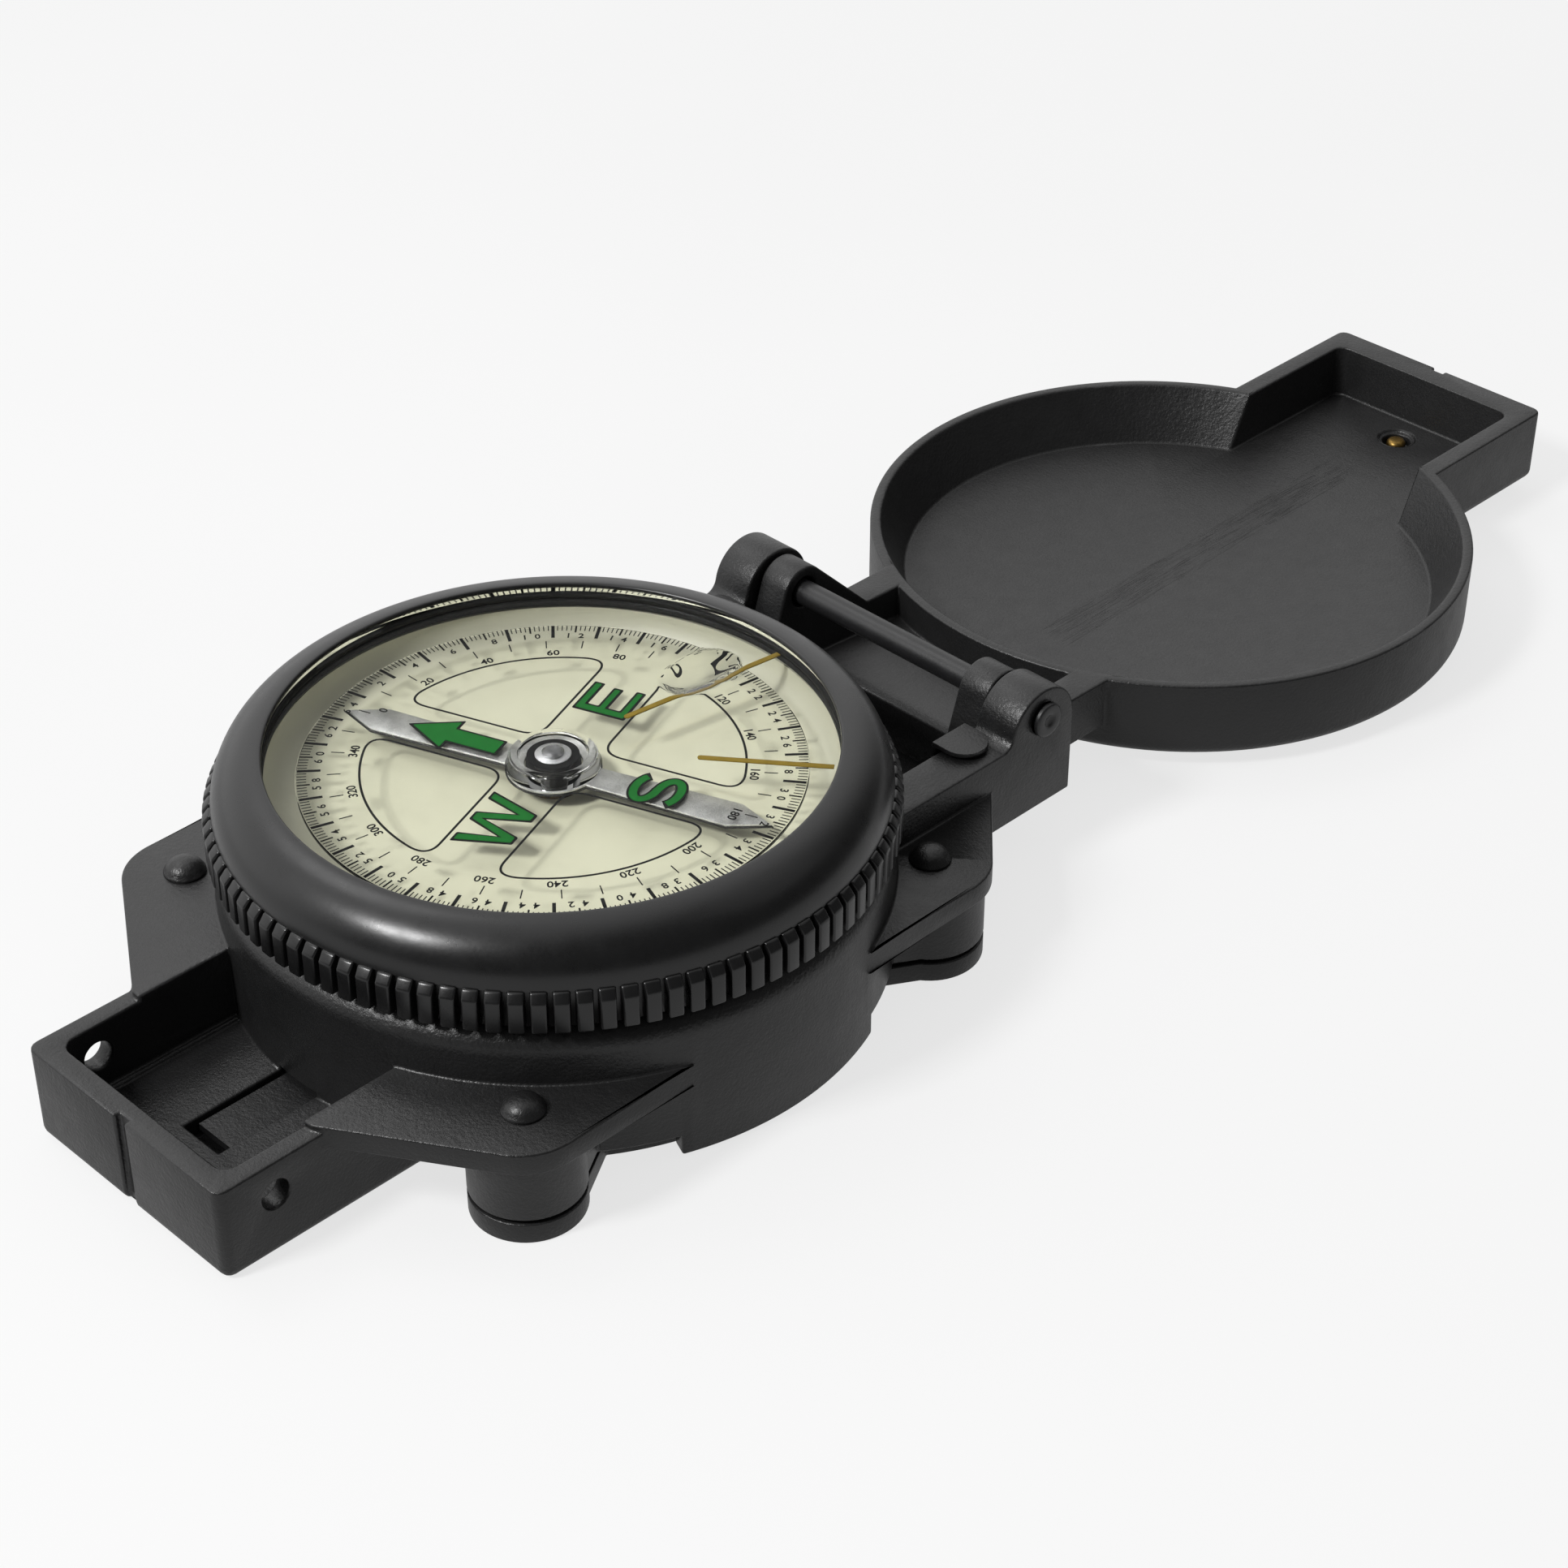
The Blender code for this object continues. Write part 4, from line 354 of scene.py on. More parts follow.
MARKS: dict[str, list[Point]] = {
    "letter_e": [
        (7.35, 2.31), (7.35, -2.31), (11.43, -2.25), (11.43, -1.42), (8.40, -1.42), (8.40, -0.38),
        (11.2, -0.38), (11.2, 0.49), (8.40, 0.49), (8.40, 1.38), (11.43, 1.38), (11.43, 2.29),
    ],
    "letter_w": [
        (-12.17, 2.3), (-11.02, 2.3), (-10.26, -0.78), (-9.17, 2.3), (-8.11, 2.3), (-7.21, -0.69), (-6.29, 2.3),
        (-5.25, 2.3), (-6.67, -2.22), (-7.65, -2.22), (-8.71, 1.16), (-9.76, -2.22), (-10.73, -2.22),
    ],
    "north_arrow": [
        (1.03, 4.55), (1.03, 8.85), (2.17, 8.85), (0.0, 12.83), (-2.17, 8.85), (-1.03, 8.85), (-1.03, 4.55),
    ],
}


@dataclass(frozen=True)
class ScaleSizes:
    """Radii and widths of the printed scales."""

    edge: float = 19.62
    fine_inner: float = 18.88
    medium_inner: float = 18.62
    bold_inner: float = 17.82
    fine_width: float = 0.085
    medium_width: float = 0.15
    bold_width: float = 0.28
    mil_number: float = 18.12
    mil_height: float = 0.68
    mil_split: float = 0.52
    degree_outer: float = 17.32
    degree_inner: float = 16.27
    degree_width: float = 0.10
    degree_number: float = 15.56
    degree_height: float = 0.74
    degree_end: float = 1.05
    sector: float = 14.85
    sector_ns: float = 2.66
    sector_ew: float = 2.72
    sector_round: float = 1.8
    sector_width: float = 0.19


# Mesh tools


def link(name: str, mesh: bpy.types.Mesh) -> bpy.types.Object:
    """Put a mesh in the scene.

    Args:
        name: Name of the new object and of its mesh.
        mesh: Mesh data.

    Returns:
        The new object.
    """
    made = bpy.data.objects.new(name, mesh)
    mesh.name = name
    bpy.context.scene.collection.objects.link(made)
    return made


def mesh_object(name: str, points: Sequence[Point3], faces: Sequence[Sequence[int]]) -> bpy.types.Object:
    """Make an object from points and faces, with its normals turned outwards.

    Args:
        name: Name of the object.
        points: Corners in millimetres.
        faces: Corner numbers of each face.

    Returns:
        The new object.
    """
    mesh = bpy.data.meshes.new(name)
    mesh.from_pydata([tuple(p) for p in points], [], [tuple(f) for f in faces])
    shape = bmesh.new()
    shape.from_mesh(mesh)
    bmesh.ops.remove_doubles(shape, verts=shape.verts, dist=0.0005)
    bmesh.ops.recalc_face_normals(shape, faces=shape.faces)
    shape.to_mesh(mesh)
    shape.free()
    return link(name, mesh)


def lathe(name: str, profile: Sequence[Point], steps: int = 160, closed: bool = False) -> bpy.types.Object:
    """Turn a profile about the Z axis.

    Args:
        name: Name of the object.
        profile: Points of (radius, height). An open profile starts and ends on the axis.
        steps: Number of facets round the axis.
        closed: Whether the profile is a loop, which makes a ring.

    Returns:
        The turned object.
    """
    count = len(profile)
    angles = np.arange(steps) * math.tau / steps
    points = [(r * math.cos(a), r * math.sin(a), z) for a in angles for r, z in profile]
    faces = []
    for step in range(steps):
        here = step * count
        there = ((step + 1) % steps) * count
        for i in range(count if closed else count - 1):
            j = (i + 1) % count
            quad = [here + i, there + i, there + j, here + j]
            if profile[i][0] < 1e-6:
                quad = [here + i, there + j, here + j]
            elif profile[j][0] < 1e-6:
                quad = [here + i, there + i, here + j]
            faces.append(quad)
    return mesh_object(name, points, faces)


def prism(name: str, outline: Sequence[Point], low: float, high: float) -> bpy.types.Object:
    """Thicken a flat outline along Z.

    Args:
        name: Name of the object.
        outline: Points of (x, y), without a hole.
        low: Lower height.
        high: Upper height.

    Returns:
        The new solid.
    """
    count = len(outline)
    points = [(x, y, low) for x, y in outline] + [(x, y, high) for x, y in outline]
    faces = [list(range(count)), list(range(count, 2 * count))]
    faces += [[i, (i + 1) % count, count + (i + 1) % count, count + i] for i in range(count)]
    return mesh_object(name, points, faces)


def side_prism(name: str, outline: Sequence[Point], low: float, high: float) -> bpy.types.Object:
    """Thicken an outline of (y, z) points along X.

    Args:
        name: Name of the object.
        outline: Points of (y, z).
        low: Lower x.
        high: Upper x.

    Returns:
        The new solid.
    """
    made = prism(name, outline, low, high)
    made.data.transform(Matrix(((0, 0, 1, 0), (1, 0, 0, 0), (0, 1, 0, 0), (0, 0, 0, 1))))
    return made


def block(name: str, low: Point3, high: Point3, rounding: float = 0.0, segments: int = 3) -> bpy.types.Object:
    """Make a box, with round edges if a rounding is given.

    Args:
        name: Name of the object.
        low: Lowest corner.
        high: Highest corner.
        rounding: Radius of the edges.
        segments: Number of flats in a round edge.

    Returns:
        The box.
    """
    shape = bmesh.new()
    bmesh.ops.create_cube(shape, size=1.0)
    size = Vector(high) - Vector(low)
    middle = (Vector(high) + Vector(low)) / 2.0
    bmesh.ops.transform(shape, matrix=Matrix.Translation(middle) @ Matrix.Diagonal((*size, 1.0)), verts=shape.verts)
    if rounding:
        bmesh.ops.bevel(shape, geom=shape.edges[:], offset=rounding, segments=segments, affect="EDGES", profile=0.5)
    mesh = bpy.data.meshes.new(name)
    shape.to_mesh(mesh)
    shape.free()
    return link(name, mesh)


def rod(name: str, start: Point3, end: Point3, radius: float, sides: int = 48) -> bpy.types.Object:
    """Make a round bar between two points.

    Args:
        name: Name of the object.
        start: Centre of one end.
        end: Centre of the other end.
        radius: Radius.
        sides: Number of facets.

    Returns:
        The bar.
    """
    length = (Vector(end) - Vector(start)).length
    made = lathe(name, [(0.0, 0.0), (radius, 0.0), (radius, length), (0.0, length)], sides)
    turn = (Vector(end) - Vector(start)).to_track_quat("Z", "X").to_matrix().to_4x4()
    made.data.transform(Matrix.Translation(start) @ turn)
    return made


def arc(centre: Point, radius: float, start: float, end: float, points: int) -> list[Point]:
    """List points on an arc, both ends among them.

    Args:
        centre: Centre of the arc.
        radius: Radius.
        start: First angle.
        end: Last angle.
        points: Number of points.

    Returns:
        Points of (x, y).
    """
    angles = [start + (end - start) * i / (points - 1) for i in range(points)]
    return [(centre[0] + radius * math.cos(a), centre[1] + radius * math.sin(a)) for a in angles]


def mirror_x(source: bpy.types.Object, name: str) -> bpy.types.Object:
    """Copy an object to the other side of the YZ plane.

    Args:
        source: Object to copy.
        name: Name of the copy.

    Returns:
        The copy.
    """
    mesh = source.data.copy()
    mesh.transform(Matrix.Scale(-1.0, 4, (1.0, 0.0, 0.0)))
    mesh.flip_normals()
    return link(name, mesh)


def rounded_rectangle(low: Point, high: Point, radius: float, points: int = 9) -> list[Point]:
    """Outline a rectangle with round corners.

    Args:
        low: Lowest corner.
        high: Highest corner.
        radius: Radius of the corners.
        points: Points in each corner.

    Returns:
        The outline.
    """
    corners = ((high[0] - radius, high[1] - radius), (low[0] + radius, high[1] - radius))
    corners += ((low[0] + radius, low[1] + radius), (high[0] - radius, low[1] + radius))
    outline: list[Point] = []
    for index, corner in enumerate(corners):
        outline += arc(corner, radius, QUARTER * index, QUARTER * (index + 1), points)
    return outline


def inset(outline: Sequence[Point], distance: float) -> list[Point]:
    """Move every side of an outline inwards.

    Args:
        outline: Outline, in either direction.
        distance: How far the sides move.

    Returns:
        The smaller outline.
    """
    count = len(outline)
    area = sum(outline[i][0] * outline[(i + 1) % count][1] - outline[(i + 1) % count][0] * outline[i][1]
               for i in range(count))
    side = 1.0 if area > 0 else -1.0
    moved = []
    for i in range(count):
        before, here, after = (Vector(outline[(i + k) % count]) for k in (-1, 0, 1))
        first = (here - before).normalized()
        second = (after - here).normalized()
        normal_1 = Vector((-first.y, first.x)) * side
        normal_2 = Vector((-second.y, second.x)) * side
        middle = normal_1 + normal_2
        scale = max(middle.length_squared / 2.0, 0.35)
        moved.append(tuple(here + middle * distance / scale))
    return moved


def soft_corners(outline: Sequence[Point], radius: float, points: int = 4) -> list[Point]:
    """Round an outline's corners.

    Args:
        outline: Outline with sharp corners.
        radius: How far from the corner the rounding starts.
        points: Points in each corner.

    Returns:
        The rounded outline.
    """
    count = len(outline)
    result: list[Point] = []
    for i in range(count):
        before, here, after = (Vector(outline[(i + k) % count]) for k in (-1, 0, 1))
        back = min(radius, (before - here).length * 0.4)
        forth = min(radius, (after - here).length * 0.4)
        start = here + (before - here).normalized() * back
        end = here + (after - here).normalized() * forth
        for k in range(points):
            t = k / (points - 1)
            result.append(tuple(start.lerp(here, t).lerp(here.lerp(end, t), t)))
    return result


def apply_tools(target: bpy.types.Object, tools: Iterable[tuple[bpy.types.Object, Op]]) -> bpy.types.Object:
    """Join and cut a solid, one tool after the other.

    Args:
        target: Solid to work on.
        tools: Tools, each with what it does.

    Returns:
        The target, with its new mesh.
    """
    used = []
    for tool, operation in tools:
        step = target.modifiers.new(tool.name, "BOOLEAN")
        step.operation = operation.value
        step.solver = "EXACT"
        step.object = tool
        used.append(tool)
    settle(target)
    for tool in used:
        bpy.data.objects.remove(tool, do_unlink=True)
    return target


def settle(made: bpy.types.Object) -> bpy.types.Object:
    """Replace an object's modifiers by the mesh that they give.

    Args:
        made: Object with modifiers.

    Returns:
        The same object.
    """
    bpy.context.view_layer.update()
    evaluated = made.evaluated_get(bpy.context.evaluated_depsgraph_get())
    made.data = bpy.data.meshes.new_from_object(evaluated)
    made.modifiers.clear()
    return made


def cast_soft(made: bpy.types.Object, voxel: float, passes: int, budget: int) -> bpy.types.Object:
    """Give a solid the soft edges and fillets of a casting.

    Args:
        made: Sharp solid.
        voxel: Size of the remeshed faces.
        passes: Smoothing passes.
        budget: Most triangles that are kept.

    Returns:
        The same object.
    """
    remesh = made.modifiers.new("even skin", "REMESH")
    remesh.mode = "VOXEL"
    remesh.voxel_size = voxel
    smooth = made.modifiers.new("soft edges", "SMOOTH")
    smooth.factor = 0.5
    smooth.iterations = passes
    settle(made)
    triangles = 2 * len(made.data.polygons)
    if triangles > budget:
        fewer = made.modifiers.new("fewer faces", "DECIMATE")
        fewer.ratio = budget / triangles
        settle(made)
    LOG.info("%s: %d faces", made.name, len(made.data.polygons))
    return made


def cast_edges(made: bpy.types.Object, width: float) -> bpy.types.Object:
    """Give a solid the small round edges and fillets of a casting.

    Args:
        made: Sharp solid.
        width: Width of the rounding.

    Returns:
        The same object.
    """
    low, high = (Vector(f(v.co[i] for v in made.data.vertices) for i in range(3)) for f in (min, max))
    shape = bmesh.new()
    shape.from_mesh(made.data)
    bmesh.ops.remove_doubles(shape, verts=shape.verts, dist=0.004)
    bmesh.ops.dissolve_degenerate(shape, dist=0.002, edges=shape.edges)
    bmesh.ops.triangulate(shape, faces=[f for f in shape.faces if len(f.verts) > 4])
    shape.to_mesh(made.data)
    shape.free()
    bevel = made.modifiers.new("round edges", "BEVEL")
    bevel.width = width
    bevel.segments = 3
    bevel.limit_method = "ANGLE"
    bevel.angle_limit = math.radians(26.0)
    bevel.use_clamp_overlap = False
    bevel.loop_slide = False
    bevel.face_strength_mode = "FSTR_ALL"
    normals = made.modifiers.new("even normals", "WEIGHTED_NORMAL")
    normals.keep_sharp = True
    normals.use_face_influence = True
    settle(made)
    for vertex in made.data.vertices:
        vertex.co = [min(max(vertex.co[i], low[i]), high[i]) for i in range(3)]
    strengths = [item.value for item in made.data.attributes["__mod_weightednormals_faceweight"].data]
    rounded = made.data.attributes.new(ROUNDED, "FLOAT", "FACE")
    rounded.data.foreach_set("value", [float(strength <= 0) for strength in strengths])
    LOG.info("%s: %d faces", made.name, len(made.data.polygons))
    return made


def edge_bevel(made: bpy.types.Object, width: float, segments: int = 2, angle: float = 35.0) -> bpy.types.Object:
    """Round a solid's sharp edges.

    Args:
        made: Solid.
        width: Width of the rounding.
        segments: Flats in the rounding.
        angle: Smallest turn, in degrees, that counts as an edge.

    Returns:
        The same object.
    """
    bevel = made.modifiers.new("round edges", "BEVEL")
    bevel.width = width
    bevel.segments = segments
    bevel.limit_method = "ANGLE"
    bevel.angle_limit = math.radians(angle)
    return settle(made)


def gather(name: str, pieces: Sequence[bpy.types.Object]) -> bpy.types.Object:
    """Put several meshes in one object.

    Args:
        name: Name of the new object.
        pieces: Objects to gather, which are removed.

    Returns:
        The new object.
    """
    shape = bmesh.new()
    for piece in pieces:
        shape.from_mesh(piece.data)
    mesh = bpy.data.meshes.new(name)
    shape.to_mesh(mesh)
    shape.free()
    for piece in pieces:
        bpy.data.objects.remove(piece, do_unlink=True)
    return link(name, mesh)


def complete(made: bpy.types.Object, material: bpy.types.Material, body: Body,
             nodes: Sequence[str] = (), sharp: float = 40.0) -> bpy.types.Object:
    """Scale a piece to metres, finish it and hand it to the frame.

    Args:
        made: Piece in millimetres.
        material: Its finish.
        body: Body that it rides on.
        nodes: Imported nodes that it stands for.
        sharp: Turn, in degrees, from which an edge is shaded sharp.

    Returns:
        The finished piece.
    """
    made.data.transform(Matrix.Scale(TO_METRES, 4))
    made.data.materials.clear()
    made.data.materials.append(material)
    made.data.shade_smooth()
    made.data.set_sharp_from_angle(angle=math.radians(sharp))
    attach(made, body.value)
    if nodes:
        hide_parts(*nodes)
    return made


# Geometry Nodes


class PolarArray:
    """Node group that sets copies of one mesh round the Z axis."""

    def __init__(self) -> None:
        """Build the node group."""
        tree = bpy.data.node_groups.new("polar_array", "GeometryNodeTree")
        sockets = {"Geometry": "Geometry", "Count": "Int", "Radius": "Float", "Phase": "Float", "Size": "Vector",
                   "Material": "Material"}
        for name, kind in sockets.items():
            tree.interface.new_socket(name, in_out="INPUT", socket_type=f"NodeSocket{kind}")
        tree.interface.new_socket("Geometry", in_out="OUTPUT", socket_type="NodeSocketGeometry")
        self.tree = tree
        self._wire()

    def _node(self, kind: str, **settings: object) -> bpy.types.Node:
        """Add a node.

        Args:
            kind: Its type.
            settings: Its settings by name.

        Returns:
            The node.
        """
        node = self.tree.nodes.new(kind)
        for key, value in settings.items():
            setattr(node, key, value)
        return node

    def _wire(self) -> None:
        """Connect the nodes: points on a circle, a copy on each, realised and finished."""
        join = self.tree.links.new
        given = self._node("NodeGroupInput")
        result = self._node("NodeGroupOutput")
        points = self._node("GeometryNodePoints")
        join(given.outputs["Count"], points.inputs["Count"])
        index = self._node("GeometryNodeInputIndex")
        share = self._node("ShaderNodeMath", operation="DIVIDE")
        join(index.outputs[0], share.inputs[0])
        join(given.outputs["Count"], share.inputs[1])
        angle = self._node("ShaderNodeMath", operation="MULTIPLY_ADD")
        join(share.outputs[0], angle.inputs[0])
        angle.inputs[1].default_value = math.tau
        join(given.outputs["Phase"], angle.inputs[2])
        place = self._node("ShaderNodeCombineXYZ")
        for axis, operation in ((0, "COSINE"), (1, "SINE")):
            wave = self._node("ShaderNodeMath", operation=operation)
            reach = self._node("ShaderNodeMath", operation="MULTIPLY")
            join(angle.outputs[0], wave.inputs[0])
            join(wave.outputs[0], reach.inputs[0])
            join(given.outputs["Radius"], reach.inputs[1])
            join(reach.outputs[0], place.inputs[axis])
        put = self._node("GeometryNodeSetPosition")
        join(points.outputs[0], put.inputs["Geometry"])
        join(place.outputs[0], put.inputs["Position"])
        turn = self._node("ShaderNodeCombineXYZ")
        join(angle.outputs[0], turn.inputs[2])
        copies = self._node("GeometryNodeInstanceOnPoints")
        join(put.outputs[0], copies.inputs["Points"])
        join(given.outputs["Geometry"], copies.inputs["Instance"])
        join(turn.outputs[0], copies.inputs["Rotation"])
        join(given.outputs["Size"], copies.inputs["Scale"])
        real = self._node("GeometryNodeRealizeInstances")
        join(copies.outputs[0], real.inputs[0])
        coat = self._node("GeometryNodeSetMaterial")
        join(real.outputs[0], coat.inputs["Geometry"])
        join(given.outputs["Material"], coat.inputs["Material"])
        join(coat.outputs[0], result.inputs[0])

    def spread(self, host: bpy.types.Object, count: int, radius: float, phase: float,
               size: Point3, material: bpy.types.Material) -> bpy.types.Object:
        """Replace an object's mesh by copies of it round the axis.

        Args:
            host: Object whose mesh is one copy, at the origin and pointing along X.
            count: Number of copies.
            radius: Distance of the copies' origins from the axis.
            phase: Angle of the first copy.
            size: Scale of each copy.
            material: Finish of the copies.

        Returns:
            The same object.
        """
        modifier = host.modifiers.new("round the axis", "NODES")
        modifier.node_group = self.tree
        values = {"Count": count, "Radius": radius, "Phase": phase, "Size": size, "Material": material}
        for item in self.tree.interface.items_tree:
            if item.in_out == "INPUT" and item.name in values:
                modifier[item.identifier] = values[item.name]
        return settle(host)


# Materials


class NodeKit:
    """Short ways to add and join shader nodes in one tree."""

    def __init__(self, tree: bpy.types.NodeTree) -> None:
        """Keep the tree.

        Args:
            tree: Material's or group's node tree.
        """
        self.tree = tree

    def add(self, kind: str, inputs: Optional[dict] = None, **settings: object) -> bpy.types.Node:
        """Add a node.

        Args:
            kind: Node type.
            inputs: Values or sockets for its inputs, by name or number.
            **settings: Attributes to set.

        Returns:
            The node.
        """
        node = self.tree.nodes.new(kind)
        for key, value in settings.items():
            setattr(node, key, value)
        for key, value in (inputs or {}).items():
            if isinstance(value, bpy.types.NodeSocket):
                self.tree.links.new(value, node.inputs[key])
            else:
                node.inputs[key].default_value = value
        return node

    def math(self, operation: str, first: object, second: object = 0.0, clamp: bool = False) -> bpy.types.NodeSocket:
        """Add a math node.

        Args:
            operation: Its operation.
            first: First value or socket.
            second: Second value or socket.
            clamp: Whether the result stays between 0 and 1.

        Returns:
            Its output.
        """
        return self.add("ShaderNodeMath", {0: first, 1: second}, operation=operation, use_clamp=clamp).outputs[0]

    def ramp(self, value: object, low: float, high: float, to_low: float = 0.0,
             to_high: float = 1.0) -> bpy.types.NodeSocket:
        """Map a range smoothly to another.

        Args:
            value: Value or socket.
            low: Start of the range.
            high: End of the range.
            to_low: Result at the start.
            to_high: Result at the end.

        Returns:
            The mapped value.
        """
        inputs = {"Value": value, "From Min": low, "From Max": high, "To Min": to_low, "To Max": to_high}
        return self.add("ShaderNodeMapRange", inputs, interpolation_type="SMOOTHSTEP").outputs[0]

    def place(self, scale: float = 1000.0, stretch: Point3 = (1.0, 1.0, 1.0)) -> bpy.types.NodeSocket:
        """Give the piece's own coordinates, in millimetres unless scaled otherwise.

        Args:
            scale: Overall scale.
            stretch: Scale along each axis.

        Returns:
            Vector socket.
        """
        own = self.add("ShaderNodeTexCoord").outputs["Object"]
        scaled = {"Vector": own, "Scale": tuple(scale * s for s in stretch)}
        return self.add("ShaderNodeMapping", scaled).outputs[0]

    def noise(self, vector: object, scale: float, detail: float = 2.0, rough: float = 0.5) -> bpy.types.NodeSocket:
        """Add a noise texture.

        Args:
            vector: Coordinates.
            scale: Waves for each unit.
            detail: Layers of detail.
            rough: Strength of the finer layers.

        Returns:
            Its value, from 0 to 1.
        """
        inputs = {"Vector": vector, "Scale": scale, "Detail": detail, "Roughness": rough}
        return self.add("ShaderNodeTexNoise", inputs).outputs[0]


def shader_group(name: str, inputs: dict[str, float], outputs: Sequence[str],
                 fill: Callable[[NodeKit, bpy.types.Node, bpy.types.Node], None]) -> bpy.types.NodeTree:
    """Make a shader node group whose sockets are all plain numbers.

    Args:
        name: Name of the group.
        inputs: Input names with their defaults.
        outputs: Output names.
        fill: Adds the nodes between the group's input and output.

    Returns:
        The group.
    """
    tree = bpy.data.node_groups.new(name, "ShaderNodeTree")
    for label, value in inputs.items():
        tree.interface.new_socket(label, in_out="INPUT", socket_type="NodeSocketFloat").default_value = value
    for label in outputs:
        tree.interface.new_socket(label, in_out="OUTPUT", socket_type="NodeSocketFloat")
    fill(NodeKit(tree), tree.nodes.new("NodeGroupInput"), tree.nodes.new("NodeGroupOutput"))
    return tree


def fill_grain(kit: NodeKit, given: bpy.types.Node, result: bpy.types.Node) -> None:
    """Grain of painted cast metal: fine pebbles, soft waves and pits, coarser on sloping faces."""
    place = kit.place()
    fine = kit.noise(place, 3.8, 3.0, 0.6)
    wave = kit.noise(place, 0.55, 2.0, 0.5)
    coarse = kit.noise(place, 2.3, 2.0, 0.55)
    pits = kit.add("ShaderNodeTexVoronoi", {"Vector": place, "Scale": 1.9}, feature="F1").outputs[0]
    pit = kit.ramp(pits, 0.05, 0.34)
    normal = kit.add("ShaderNodeTexCoord").outputs["Normal"]
    up = kit.add("ShaderNodeSeparateXYZ", {0: normal}).outputs[2]
    tilt = kit.math("ABSOLUTE", up)
    rising = kit.ramp(tilt, 0.12, 0.34)
    falling = kit.ramp(tilt, 0.97, 0.80)
    slope = kit.math("MULTIPLY", rising, falling)
    rough = kit.math("MULTIPLY", slope, given.outputs["Slope"])
    waves = kit.math("MULTIPLY", wave, 0.9)
    pebbles = kit.math("MULTIPLY", kit.math("MULTIPLY", coarse, 1.9), kit.math("ADD", rough, 0.22))
    holes = kit.math("MULTIPLY", pit, kit.math("MULTIPLY", rough, 0.3))
    height = kit.math("ADD", kit.math("ADD", fine, waves), kit.math("ADD", pebbles, holes))
    kit.tree.links.new(kit.math("MULTIPLY", height, given.outputs["Depth"]), result.inputs["Height"])
    tone = kit.math("ADD", kit.math("MULTIPLY", kit.math("SUBTRACT", wave, 0.5), 0.5),
                    kit.math("MULTIPLY", kit.math("SUBTRACT", fine, 0.5), 0.35))
    kit.tree.links.new(tone, result.inputs["Tone"])
    kit.tree.links.new(rough, result.inputs["Coarse"])


def fill_flow(kit: NodeKit, given: bpy.types.Node, result: bpy.types.Node) -> None:
    """Flow mark of the casting: uneven strands along the lid's floor, in its middle."""
    where = kit.add("ShaderNodeSeparateXYZ", {0: kit.place()})
    lean = kit.math("MULTIPLY", kit.math("SUBTRACT", where.outputs[1], 80.0), 0.012)
    across = kit.math("ABSOLUTE", kit.math("ADD", where.outputs[0], lean))
    band = kit.ramp(across, 2.1, 1.6)
    start = kit.ramp(where.outputs[1], 58.0, 60.5)
    end = kit.ramp(where.outputs[1], 105.0, 101.0)
    strands = kit.noise(kit.place(stretch=(4.5, 0.14, 1.0)), 1.0, 2.0, 0.6)
    broken = kit.ramp(kit.noise(kit.place(stretch=(0.8, 0.25, 1.0)), 1.0, 3.0, 0.6), 0.35, 0.6, 0.4, 1.0)
    mask = kit.math("MULTIPLY", kit.math("MULTIPLY", band, start), kit.math("MULTIPLY", end, broken))
    height = kit.math("MULTIPLY", kit.ramp(strands, 0.36, 0.64, -0.5, 0.5), mask)
    kit.tree.links.new(kit.math("MULTIPLY", height, given.outputs["Depth"]), result.inputs["Height"])


def fill_wear(kit: NodeKit, given: bpy.types.Node, result: bpy.types.Node) -> None:
    """Rubbed edges: where a rounded edge is convex, broken up by noise."""
    bend = kit.add("ShaderNodeNewGeometry").outputs["Pointiness"]
    rounded = kit.add("ShaderNodeAttribute", attribute_name=ROUNDED)
    edge = kit.math("MULTIPLY", kit.ramp(bend, 0.53, 0.62), rounded.outputs["Fac"])
    break_up = kit.ramp(kit.noise(kit.place(), 1.3, 4.0, 0.65), 0.32, 0.68, 0.35, 1.0)
    worn = kit.math("MULTIPLY", kit.math("MULTIPLY", edge, break_up), given.outputs["Amount"], True)
    kit.tree.links.new(worn, result.inputs["Worn"])


def fill_dust(kit: NodeKit, given: bpy.types.Node, result: bpy.types.Node) -> None:
    """Faint dust: more on faces that look up, in soft specks."""
    normal = kit.add("ShaderNodeTexCoord").outputs["Normal"]
    up = kit.add("ShaderNodeSeparateXYZ", {0: normal}).outputs[2]
    upward = kit.ramp(up, 0.3, 1.0, 0.15, 1.0)
    specks = kit.ramp(kit.noise(kit.place(), 7.0, 4.0, 0.7), 0.56, 0.78)
    film = kit.noise(kit.place(), 0.22, 3.0, 0.55)
    both = kit.math("ADD", kit.math("MULTIPLY", specks, 0.7), kit.math("MULTIPLY", film, 0.5))
    amount = kit.math("MULTIPLY", kit.math("MULTIPLY", both, upward), given.outputs["Amount"], True)
    kit.tree.links.new(amount, result.inputs["Dust"])


@dataclass(frozen=True)
class PaintFinish:
    """Painted cast metal."""

    colour: Point3
    roughness: float
    depth: float
    slope: float
    wear: float
    dust: float
    worn_colour: Point3 = (0.075, 0.075, 0.077)
    flow: float = 0.0


@dataclass(frozen=True)
class MetalFinish:
    """Bare or plated metal."""

    colour: Point3
    roughness: float
    sparkle: float
    brushed: Point3 = (1.0, 1.0, 1.0)
    metallic: float = 1.0


@dataclass(frozen=True)
class SatinFinish:
    """Moulded or printed surface."""

    colour: Point3
    second: Point3
    roughness: float
    scale: float
    depth: float
    blend: float = 0.5
    gloss: float = 0.5
    # Radii over which the colour darkens towards the edge: painted shade of the wall round it.
    rim: Optional[Point] = None


